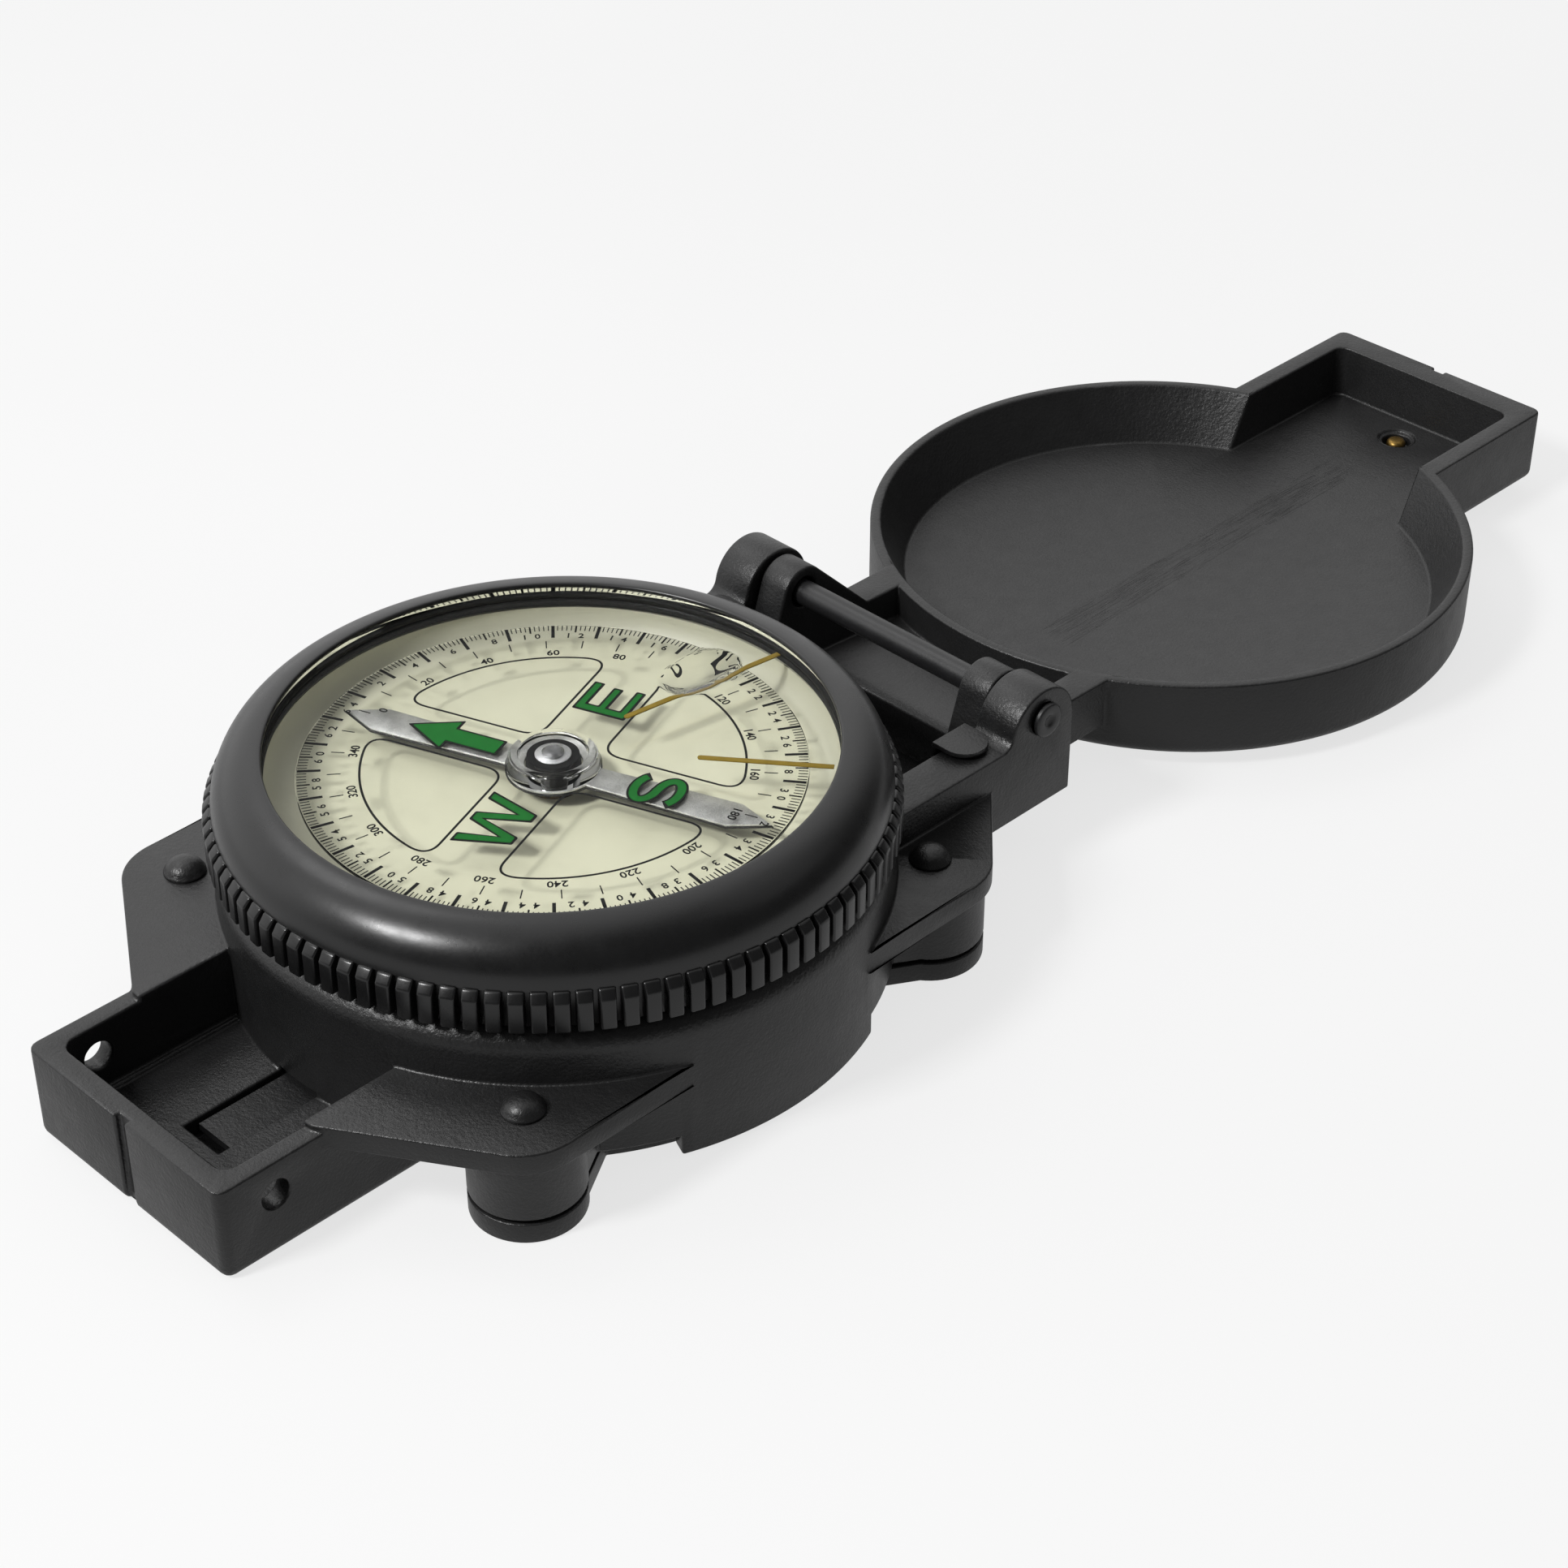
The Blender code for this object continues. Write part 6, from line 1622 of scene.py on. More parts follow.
@dataclass(frozen=True)
class Lid:
    """Lid and its sighting stud."""

    palette: Palette
    s: LidSizes = LidSizes()
    h: HingeSizes = HingeSizes()

    def touch(self, centre: Point, radius: float, point: Point, side: int) -> float:
        """Give the angle on a circle where a line from a point touches it.

        Args:
            centre: Circle's centre.
            radius: Its radius.
            point: Point outside it.
            side: 1 for the touch to the left of the point's direction, -1 for the other.

        Returns:
            The angle.
        """
        away = math.atan2(point[1] - centre[1], point[0] - centre[0])
        distance = math.hypot(point[0] - centre[0], point[1] - centre[1])
        return away + side * math.acos(radius / distance)

    def arm_outline(self) -> list[Point]:
        """Outline a lid arm from the side.

        Returns:
            Points of (y, z).
        """
        s, h = self.s, self.h
        centre = (h.y, h.z)
        toe = (h.y - s.toe_reach, h.z - s.toe_drop)
        ramp_end = (h.y + s.ramp, s.rim)
        start = self.touch(centre, s.knuckle, ramp_end, 1)
        end = self.touch(centre, s.knuckle, toe, -1) % math.tau
        root = s.centre_y - s.floor_radius + 3.2
        points = [toe, (h.y - s.heel_reach, s.arm_bottom), (root, s.arm_bottom), (root, s.rim), ramp_end]
        return points + arc(centre, s.knuckle, start, end, 30)

    def web_outline(self) -> list[Point]:
        """Outline the web between the arms from the side.

        Returns:
            Points of (y, z).
        """
        s = self.s
        rear = s.centre_y - s.floor_radius + 1.6
        front = [(s.web_front + s.web_chamfer, s.web_top), (s.web_front, s.web_top - s.web_chamfer / 2.0)]
        return [(s.web_front, s.bottom), (rear, s.bottom), (rear, s.web_top - s.web_fall)] + front

    def tray(self) -> None:
        """Build the lid's casting."""
        s, h = self.s, self.h
        edge = (s.radius - s.edge_round, s.bottom + s.edge_round)
        profile = [(0.0, s.rim), (s.radius, s.rim)] + arc(edge, s.edge_round, 0.0, -QUARTER, 8) + [(0.0, s.bottom)]
        shift = Matrix.Translation((0.0, s.centre_y, 0.0))
        tray = lathe("lid_shell", profile)
        tray.data.transform(shift)
        past = s.rim + 4.0
        start = s.centre_y + s.floor_radius / 2.0
        box = block("lid_box", (-s.box_half, start, s.bottom), (s.box_half, s.box_end, past), BOX_CORNER, 4)
        trim = block("lid_trim", (-s.box_half - PAST, start - PAST, s.rim),
                     (s.box_half + PAST, s.box_end + PAST, past + PAST))
        apply_tools(box, [(trim, Op.CUT)])
        right = side_prism("lid_arm", self.arm_outline(), s.arm_inner, s.arm_outer)
        web = side_prism("web", self.web_outline(), -s.arm_inner - 0.3, s.arm_inner + 0.3)
        tools = [(box, Op.JOIN), (right, Op.JOIN), (mirror_x(right, "lid_arm_left"), Op.JOIN), (web, Op.JOIN)]
        rim_inner = s.radius - s.rim_width
        slope = (rim_inner - s.floor_radius) / (s.rim - s.floor)
        hollow = lathe("tray_hollow", [(0.0, s.rim + PAST), (rim_inner + slope, s.rim + PAST),
                                       (s.floor_radius, s.floor), (0.0, s.floor)], 100)
        hollow.data.transform(shift)
        inner = s.box_half - s.side_wall
        outline = rounded_rectangle((-inner, start - PAST), (inner, s.box_end - s.end_wall), s.corner_round)
        tools += [(hollow, Op.CUT), (prism("box_hollow", outline, s.floor, s.rim + PAST), Op.CUT)]
        steps = (("ring", s.stud_ring, s.stud_ring_depth), ("hole", s.stud_hole, s.stud_hole_depth))
        for name, radius, depth in steps:
            foot = (0.0, s.stud_y, s.floor - depth)
            tools.append((rod(name, foot, (0.0, s.stud_y, s.rim), radius), Op.CUT))
        pin = rod("pin_hole", (-s.pin_reach, h.y, h.z), (s.pin_reach, h.y, h.z), h.radius + PIN_PLAY)
        tools.append((pin, Op.CUT))
        notch = block("notch", (-s.notch_half, s.box_end - s.notch_depth, s.bottom - PAST),
                      (s.notch_half, s.box_end + PAST, s.rim + PAST))
        tools.append((notch, Op.CUT))
        apply_tools(tray, tools)
        cast_edges(tray, CAST_ROUND)
        complete(tray, self.palette.lid, Body.LID, ["lid"])

    def stud(self) -> None:
        """Build the domed brass stud in its stepped hole."""
        s = self.s
        base = s.floor - s.stud_hole_depth + 0.1
        dome = [(0.0, 1.0), (0.3, 0.995), (0.6, 0.97), (0.74, 0.92), (0.88, 0.76), (s.stud_radius, 0.6)]
        stud = lathe("stud", [(r, base + z) for r, z in dome] + [(s.stud_radius, base), (0.0, base)], 40)
        stud.data.transform(Matrix.Translation((0.0, s.stud_y, 0.0)))
        complete(stud, self.palette.brass, Body.LID, ["sight_stud"], 50.0)

    def build(self) -> None:
        """Build all of it."""
        self.tray()
        self.stud()


@dataclass(frozen=True)
class Bezel:
    """Turning bezel, crystal, its gasket and retainer, and the bearing lines."""

    palette: Palette
    array: PolarArray
    b: BezelSizes = BezelSizes()
    g: GlassSizes = GlassSizes()

    def ring(self) -> None:
        """Build the dome, lip, bore and the band behind the teeth."""
        b = self.b
        width = b.dome - b.opening
        top = b.dome_base + b.dome_height
        dome = [(b.opening, top - 0.22), (b.opening + 0.04, top - 0.10), (b.opening + 0.14, top - 0.02)]
        for i in range(1, 30):
            a = QUARTER * (1.0 - i / 29.0)
            if math.cos(a) * width > 0.2:
                dome.append((b.opening + width * math.cos(a), b.dome_base + b.dome_height * math.sin(a)))
        root = b.knurl - b.tooth_depth
        band = [(root, b.dome_base - 0.02), (root, b.bottom + 0.2), (root - 0.1, b.bottom + 0.1), (25.65, b.bottom)]
        inside = [(b.bore, b.bottom), (b.bore, b.seat_bottom), (b.seat, b.seat_bottom)]
        inside += [(b.seat, top - b.lip), (b.opening, top - b.lip)]
        ring = lathe("bezel_ring", dome + band + inside, 256, True)
        complete(ring, self.palette.bezel, Body.BEZEL, ["bezel"], 45.0)

    def teeth(self) -> None:
        """Build the knurled band's teeth from one tooth."""
        b = self.b
        pitch = math.tau / b.teeth
        root = b.knurl - b.tooth_depth
        half_root = b.root_share * pitch * root
        half_tip = b.tip_share * pitch * b.knurl
        back = root - 0.25 - b.knurl
        low, shoulder, top = b.bottom + 0.1, b.face_top, b.top
        tip = -b.tooth_chamfer
        points = [(back, -half_root, low), (0.0, -half_tip, low), (0.0, half_tip, low), (back, half_root, low)]
        points += [(0.0, -half_tip, shoulder), (0.0, half_tip, shoulder)]
        share = -tip / b.tooth_depth
        half_top = half_tip + (half_root - half_tip) * share
        points += [(tip, -half_top, top), (tip, half_top, top), (back, -half_root, top), (back, half_root, top)]
        faces = [(0, 3, 2, 1), (1, 2, 5, 4), (4, 5, 7, 6), (6, 7, 9, 8), (0, 8, 9, 3)]
        faces += [(0, 1, 4, 6, 8), (3, 9, 7, 5, 2)]
        tooth = mesh_object("bezel_teeth", points, faces)
        edge_bevel(tooth, 0.17, 4, 20.0)
        tooth.data.shade_smooth()
        self.array.spread(tooth, b.teeth, b.knurl, 0.5 * pitch, (1.0, 1.0, 1.0), self.palette.bezel)
        complete(tooth, self.palette.bezel, Body.BEZEL, (), 60.0)

    def crystal(self) -> None:
        """Build the glass disc with the magnifying blister raised on its top."""
        g = self.g
        rings, steps = 84, 288
        circle = [(math.cos(math.tau * k / steps), math.sin(math.tau * k / steps)) for k in range(steps)]
        radii = list(np.linspace(0.0, g.edge - g.bevel, rings))[1:]
        points: list[Point3] = [(0.0, 0.0, g.top)]
        for r in radii:
            for x, y in ((r * across, r * along) for across, along in circle):
                u = (x - g.lens_x) / g.lens_half_width
                v = (y - g.lens_y) / g.lens_half_length
                q = (abs(u) ** 2.6 + abs(v) ** 2.6) ** (1.0 / 2.6)
                rise = g.lens_height * max(0.0, 1.0 - q * q) ** 0.62
                points.append((x, y, g.top + rise))
        faces = [(0, 1 + k, 1 + (k + 1) % steps) for k in range(steps)]
        for ring in range(len(radii) - 1):
            here = 1 + ring * steps
            faces += [(here + k, here + steps + k, here + steps + (k + 1) % steps, here + (k + 1) % steps)
                      for k in range(steps)]
        last = 1 + (len(radii) - 1) * steps
        rim = [(g.edge, g.top - g.bevel), (g.edge, g.flange), (g.radius, g.flange), (g.radius, g.bottom + 0.05)]
        for r, z in rim + [(g.radius - 0.05, g.bottom)]:
            start = len(points)
            points += [(r * x, r * y, z) for x, y in circle]
            faces += [(last + k, start + k, start + (k + 1) % steps, last + (k + 1) % steps) for k in range(steps)]
            last = start
        faces.append(tuple(range(last, last + steps)))
        glass = mesh_object("crystal_glass", points, faces)
        complete(glass, self.palette.glass, Body.BEZEL, ["crystal"], 30.0)

    def rings(self) -> None:
        """Build the gasket and the retainer under the crystal's edge."""
        inner, outer, g, soft = self.b.opening, self.g.radius, self.g, 0.06
        for name, low, high, slot in (
            ("gasket", g.gasket_bottom, g.gasket_top, "gasket_black"),
            ("retainer", g.retainer_bottom, g.retainer_top, "bezel_black"),
        ):
            profile = [(inner, low + soft), (inner, high - soft), (inner + soft, high), (outer - soft, high)]
            profile += [(outer, high - soft), (outer, low + soft), (outer - soft, low), (inner + soft, low)]
            ring = lathe(name, profile, 224, True)
            complete(ring, self.palette.gasket, Body.BEZEL, [f"crystal_{name}"], 50.0)

    def line(self, name: str, angle: float, start: float) -> None:
        """Build one bearing line under the crystal.

        Args:
            name: Node that it stands for.
            angle: Its direction.
            start: Its inner end's radius.
        """
        g = self.g
        half = g.line_width / 2.0
        outline = arc((start + half, 0.0), half, QUARTER, 3.0 * QUARTER, 16)
        outline += [(g.line_outer, -half), (g.line_outer, half)]
        strip = prism(f"{name}_paint", outline, g.line_bottom, g.line_top)
        edge_bevel(strip, 0.03)
        strip.data.transform(Matrix.Rotation(angle, 4, "Z"))
        complete(strip, self.palette.gold, Body.BEZEL, [name])

    def build(self) -> None:
        """Build all of it."""
        g = self.g
        self.ring()
        self.teeth()
        self.crystal()
        self.rings()
        self.line("bearing_line_long", g.long_angle, g.long_start)
        self.line("bearing_line_short", g.short_angle, g.short_start)


def card_turn(sizes: DialSizes) -> Matrix:
    """Turn from north along Y to the card's own north."""
    return Matrix.Rotation(sizes.north - QUARTER, 4, "Z")


class Glyphs:
    """Flat meshes of the digits, made once each."""

    def __init__(self) -> None:
        """Make the ten digits, one unit high."""
        self.digits: dict[str, tuple[np.ndarray, list[tuple[int, ...]]]] = {}
        for digit in "0123456789":
            curve = bpy.data.curves.new("digit", "FONT")
            curve.body = digit
            curve.size = 1.0
            curve.resolution_u = 3
            curve.offset = 0.016
            curve.align_x = "CENTER"
            guide = bpy.data.objects.new("digit", curve)
            bpy.context.scene.collection.objects.link(guide)
            bpy.context.view_layer.update()
            mesh = bpy.data.meshes.new_from_object(guide.evaluated_get(bpy.context.evaluated_depsgraph_get()))
            points = np.array([v.co[:2] for v in mesh.vertices])
            low, high = points.min(axis=0), points.max(axis=0)
            points = (points - (low + high) / 2.0) / (high[1] - low[1])
            self.digits[digit] = (points, [tuple(p.vertices) for p in mesh.polygons])
            bpy.data.objects.remove(guide, do_unlink=True)
            bpy.data.curves.remove(curve)


@dataclass(frozen=True)
class Print:
    """Printed scales on the card, in the card's own directions, and a painted shade ring round the hub washer."""

    palette: Palette
    array: PolarArray
    d: DialSizes = DialSizes()
    s: ScaleSizes = ScaleSizes()
    glyphs: Glyphs = field(default_factory=Glyphs)
    pieces: list[bpy.types.Object] = field(default_factory=list)

    def ticks(self, name: str, count: int, first: float, inner: float, outer: float, width: float) -> None:
        """Add a ring of ticks.

        Args:
            name: Name of the ring.
            count: Number of ticks.
            first: Bearing of the first tick, in degrees.
            inner: Inner radius.
            outer: Outer radius.
            width: Width of a tick.
        """
        low, high = self.d.print_bottom, self.d.ink_top
        blade = block(name, (-0.5, -0.5, low), (0.5, 0.5, high))
        phase = self.d.north - math.radians(first)
        size = (outer - inner, width, 1.0)
        self.array.spread(blade, count, (inner + outer) / 2.0, phase, size, self.palette.ink)
        self.pieces.append(blade)

    def flat_text(self, marks: Sequence[tuple[str, float, float, float, float]]) -> None:
        """Add digits, tops outwards.

        Args:
            marks: For each digit its character, bearing in degrees, radius, sideways shift and height.
        """
        points: list[Point3] = []
        faces: list[tuple[int, ...]] = []
        low, high = self.d.print_bottom, self.d.ink_top
        for digit, bearing, radius, shift, height in marks:
            shape, polygons = self.glyphs.digits[digit]
            angle = self.d.north - math.radians(bearing)
            out = np.array([math.cos(angle), math.sin(angle)])
            right = np.array([out[1], -out[0]])
            sideways = np.outer(shape[:, 0] * height * 1.05 + shift, right)
            placed = out * radius + sideways + np.outer(shape[:, 1] * height, out)
            start = len(points)
            points += [(x, y, high) for x, y in placed]
            faces += [tuple(start + i for i in polygon) for polygon in polygons]
        mesh = bpy.data.meshes.new("numbers")
        mesh.from_pydata(points, [], faces)
        shape = bmesh.new()
        shape.from_mesh(mesh)
        bmesh.ops.remove_doubles(shape, verts=shape.verts, dist=0.0005)
        top = shape.faces[:]
        lower = bmesh.ops.extrude_face_region(shape, geom=top)["geom"]
        moved = [item for item in lower if isinstance(item, bmesh.types.BMVert)]
        bmesh.ops.translate(shape, verts=moved, vec=(0.0, 0.0, low - high))
        bmesh.ops.recalc_face_normals(shape, faces=shape.faces)
        shape.to_mesh(mesh)
        shape.free()
        self.pieces.append(link("numbers", mesh))

    def sectors(self) -> None:
        """Add the four rounded sector outlines between the main directions."""
        s, d = self.s, self.d
        for east, north in ((1, 1), (-1, 1), (-1, -1), (1, -1)):
            a0 = math.asin(s.sector_ew / s.sector)
            a1 = math.acos(s.sector_ns / s.sector)
            outer = arc((0.0, 0.0), s.sector, a0, a1, 40)
            outline = self.round_sector(outer, (s.sector_ns, s.sector_ew))
            outline = [(x * east, y * north) for x, y in outline]
            half = s.sector_width / 2.0
            outside, within = inset(outline, -half), inset(outline, half)
            count = len(outline)
            low, high = d.print_bottom, d.ink_top
            points = [(x, y, z) for z in (low, high) for ring in (outside, within) for x, y in ring]
            faces = []
            for i in range(count):
                j = (i + 1) % count
                faces.append((i, j, count + j, count + i))
                faces.append((2 * count + i, 2 * count + j, 3 * count + j, 3 * count + i))
                faces.append((i, j, 2 * count + j, 2 * count + i))
                faces.append((count + i, count + j, 3 * count + j, 3 * count + i))
            loop = mesh_object("sector", points, faces)
            loop.data.transform(card_turn(d))
            self.pieces.append(loop)

    def round_sector(self, outer: Sequence[Point], corner: Point) -> list[Point]:
        """Round the three corners of a sector.

        Args:
            outer: Points of the outer arc.
            corner: Inner corner.

        Returns:
            The outline.
        """
        reach = self.s.sector_round
        first, last = Vector(outer[0]), Vector(outer[-1])
        inner = Vector(corner)
        kept = [p for p in outer if (Vector(p) - first).length > reach and (Vector(p) - last).length > reach]
        result = list(kept)
        corners = ((Vector(kept[-1]), last, inner), (last, inner, first), (inner, first, Vector(kept[0])))
        for before, here, after in corners:
            start = here + (before - here).normalized() * reach
            end = here + (after - here).normalized() * reach
            for k in range(10):
                t = k / 9.0
                result.append(tuple(start.lerp(here, t).lerp(here.lerp(end, t), t)))
        return result

    def build(self) -> None:
        """Build the whole print, with the painted shade ring round the hub washer, as one piece."""
        s = self.s
        self.ticks("fine", 320, 0.0, s.fine_inner, s.edge, s.fine_width)
        self.ticks("medium", 32, 0.0, s.medium_inner, s.edge, s.medium_width)
        self.ticks("bold", 32, 5.625, s.bold_inner, s.edge, s.bold_width)
        self.ticks("degrees", 36, 0.0, s.degree_inner, s.degree_outer, s.degree_width)
        marks = []
        for number in range(2, 66, 2):
            bearing = (number % 64) * 5.625
            text = str(number)
            half = (len(text) - 1) / 2.0
            for k, digit in enumerate(text):
                shift = (k - half) * 2.0 * s.mil_split if len(text) > 1 else s.mil_split
                marks.append((digit, bearing, s.mil_number, shift, s.mil_height))
        for degree in range(0, 360, 20):
            text = str(degree)
            for k, digit in enumerate(text):
                shift = s.degree_end - (len(text) - 0.5 - k) * s.degree_height * 0.72
                marks.append((digit, degree, s.degree_number, shift, s.degree_height))
        self.flat_text(marks)
        self.sectors()
        # Black ring on the hub floor round the washer, in the ink: painted shade of the washer's underside.
        inner, outer = self.d.ring_inner, self.d.ring_outer
        low, high = self.d.hub_floor + 0.005, self.d.hub_floor + 0.03
        ring = [(inner, low), (outer, low), (outer, high), (inner, high)]
        self.pieces.append(lathe("hub_washer_shade", ring, 96, True))
        scales = gather("card_scales", self.pieces)
        complete(scales, self.palette.ink, Body.DIAL)


@dataclass(frozen=True)
class Dial:
    """Liner, clear card with its hub, needle and luminous marks."""

    palette: Palette
    d: DialSizes = DialSizes()

    def liner(self) -> None:
        """Build the cream bowl under the card."""
        d = self.d
        width = d.liner_radius - 0.3 - d.liner_flat
        rise = d.liner_top - d.liner_floor
        cove = [(d.liner_flat + width * math.sin(a), d.liner_top - rise * math.cos(a))
                for a in np.linspace(0.0, QUARTER, 16)]
        profile = [(d.liner_bore, d.liner_bottom), (d.liner_bore, d.liner_floor)] + cove
        profile += [(d.liner_radius, d.liner_top), (d.liner_radius, d.liner_bottom)]
        complete(lathe("liner", profile, 224, True), self.palette.liner, Body.CASE, ["dial_liner"])

    def card(self) -> None:
        """Build the clear card with the rimmed hub moulded on it."""
        d = self.d
        r, top = d.hub_radius, d.hub_rim
        inner = d.hub_rim_inner
        profile = [(d.bore, d.hub_floor), (inner - 0.12, d.hub_floor), (inner, d.hub_floor + 0.10)]
        profile.append((inner, top - 0.14))
        profile += [(inner + 0.05, top - 0.05), (inner + 0.16, top), (r - 0.34, top), (r - 0.24, top - 0.03)]
        profile += [(r - 0.2, top - 0.12), (r - 0.16, top - 0.17), (r - 0.08, top - 0.20), (r - 0.02, top - 0.27)]
        profile += [(r, top - 0.36), (r + 0.2, d.card_top + 0.06), (r + 0.25, d.card_top)]
        edge = d.card_radius
        profile += [(edge - 0.06, d.card_top), (edge, d.card_top - 0.06), (edge, d.card_bottom + 0.06)]
        profile += [(edge - 0.06, d.card_bottom), (d.bore, d.card_bottom)]
        card = lathe("card", profile, 224, True)
        complete(card, self.palette.plastic, Body.DIAL, ["compass_card"], 25.0)

    def needle_outline(self) -> list[Point]:
        """Outline the needle, north up.

        Returns:
            The outline.
        """
        d = self.d
        eye = d.needle_eye
        start = math.acos(d.needle_waist / eye)
        right = arc((0.0, 0.0), eye, -start, start, 40)
        left = arc((0.0, 0.0), eye, math.pi - start, math.pi + start, 40)
        point = [(d.needle_width, d.needle_shoulder), (0.0, d.needle_half), (-d.needle_width, d.needle_shoulder)]
        return right + point + left + [(-x, -y) for x, y in point]

    def needle(self) -> None:
        """Build the needle: bright face, and a narrow dark border under it."""
        d = self.d
        outline = self.needle_outline()
        split = d.needle_bottom + 0.14
        border = prism("needle_border", outline, d.needle_bottom, split)
        face = prism("needle_face", inset(outline, 0.10), split, d.needle_top)
        layers = ((border, self.palette.dark_edge, ["magnet_needle"]), (face, self.palette.needle, ()))
        for piece, material, nodes in layers:
            hole = rod("hole", (0, 0, d.needle_bottom - 1.0), (0, 0, d.needle_top + 1.0), d.needle_hole, 96)
            apply_tools(piece, [(hole, Op.CUT)])
            edge_bevel(piece, 0.03)
            piece.data.transform(card_turn(self.d))
            complete(piece, material, Body.DIAL, nodes)

    def hub(self) -> None:
        """Build what sits in the hub: bush, washer and riveted button."""
        d = self.d
        bush = [(d.bush_inner, d.needle_top), (d.bush_outer, d.needle_top), (d.bush_outer, d.needle_bottom)]
        bush = lathe("bush", bush + [(d.bush_inner, d.needle_bottom)], 96, True)
        complete(bush, self.palette.gasket, Body.DIAL, ["hub_bush"])
        r = d.washer_radius
        washer = [(0.0, d.washer_top), (r - 0.05, d.washer_top), (r, d.washer_top - 0.04), (r, d.washer_bottom)]
        washer = lathe("washer", washer + [(0.0, d.washer_bottom)], 96)
        complete(washer, self.palette.needle, Body.DIAL, ["hub_washer"])
        r, top = d.button_radius, d.button_top
        profile = [(0.0, top - 0.04), (0.34, top - 0.04), (0.40, top), (0.62, top), (r, top - 0.16)]
        button = lathe("button", profile + [(r, d.button_bottom), (0.0, d.button_bottom)], 96)
        complete(button, self.palette.steel, Body.DIAL, ["hub_button"], 25.0)

    def film(self, name: str, outline: Sequence[Point], low: float, high: float,
             material: bpy.types.Material, nodes: Sequence[str] = ()) -> None:
        """Build one layer of a mark.

        Args:
            name: Name of the layer.
            outline: Its outline, north up.
            low: Lower height.
            high: Upper height.
            material: Its finish.
            nodes: Node that it stands for.
        """
        layer = prism(name, outline, low, high)
        layer.data.transform(card_turn(self.d))
        complete(layer, material, Body.DIAL, nodes)

    def marks(self) -> None:
        """Build the letters and the arrow: black border and green face."""
        d = self.d
        for node, outline in MARKS.items():
            border, face = soft_corners(outline, 0.14), soft_corners(inset(outline, d.letter_border), 0.10)
            self.film(f"{node}_border", border, d.print_bottom, d.border_top, self.palette.ink, [node])
            self.film(f"{node}_face", face, d.border_top, d.print_top, self.palette.green)
        border, face = self.band_s(d.s_width, 0), self.band_s(d.s_face_width, 2)
        self.film("letter_s_border", border, d.print_bottom, d.border_top, self.palette.ink, ["letter_s"])
        self.film("letter_s_face", face, d.border_top, d.print_top, self.palette.green)

    def band_s(self, width: float, trim: int) -> list[Point]:
        """Outline the S as a band along its spine.

        Args:
            width: Width of the band.
            trim: Points left out at each end of the spine.

        Returns:
            The outline.
        """
        d = self.d
        spine = arc((0.0, 0.0), 1.0, math.radians(22.0), math.radians(270.0), 40)
        spine = [(x * d.s_half_length, d.s_radius + 0.02 + y * d.s_radius) for x, y in spine]
        spine += [(-x, -y) for x, y in reversed(spine[:-1])]
        path = spine[trim:len(spine) - trim]
        sides: tuple[list[Point], list[Point]] = ([], [])
        for i, point in enumerate(path):
            along = (Vector(path[min(i + 1, len(path) - 1)]) - Vector(path[max(i - 1, 0)])).normalized()
            across = Vector((-along.y, along.x)) * width / 2.0
            sides[0].append(tuple(Vector(point) + across + Vector((0.0, d.s_centre))))
            sides[1].append(tuple(Vector(point) - across + Vector((0.0, d.s_centre))))
        return sides[0] + sides[1][::-1]

    def build(self) -> None:
        """Build all of it."""
        self.liner()
        self.card()
        self.needle()
        self.hub()
        self.marks()


class HiddenParts:
    """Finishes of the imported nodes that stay, and the lock's spring."""

    def __init__(self, palette: Palette) -> None:
        """Pair nodes with finishes.

        Args:
            palette: Finishes.
        """
        self.finishes = {
            "bezel_click_spring": palette.spring,
            "bezel_snap_ring": palette.spring,
            "jewel_cup": palette.dark_steel,
            "lock_lever_pin": palette.steel,
            "lock_lifter": palette.brass,
            "pivot_post": palette.steel,
        }
        self.spring_finish = palette.spring

    def build(self) -> None:
        """Put the finishes on the nodes."""
        for name, material in self.finishes.items():
            for material_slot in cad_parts[name].material_slots:
                material_slot.material = material
        self.spring()

    def spring(self) -> None:
        """Copy the lock's return spring as a piece of its own on the case."""
        shape = bmesh.new()
        shape.from_mesh(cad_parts["lock_spring"].data)
        bmesh.ops.remove_doubles(shape, verts=shape.verts, dist=0.000001)
        mesh = bpy.data.meshes.new("return_spring")
        shape.to_mesh(mesh)
        shape.free()
        made = link("return_spring", mesh)
        made.data.transform(Matrix.Scale(1.0 / TO_METRES, 4))
        complete(made, self.spring_finish, Body.CASE, ("lock_spring",))
        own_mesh(made)


@dataclass(frozen=True)
class Lamp:
    """Square area lamp that faces the compass: metres and watts."""

    name: str
    direction: Point3
    distance: float
    size: float
    power: float


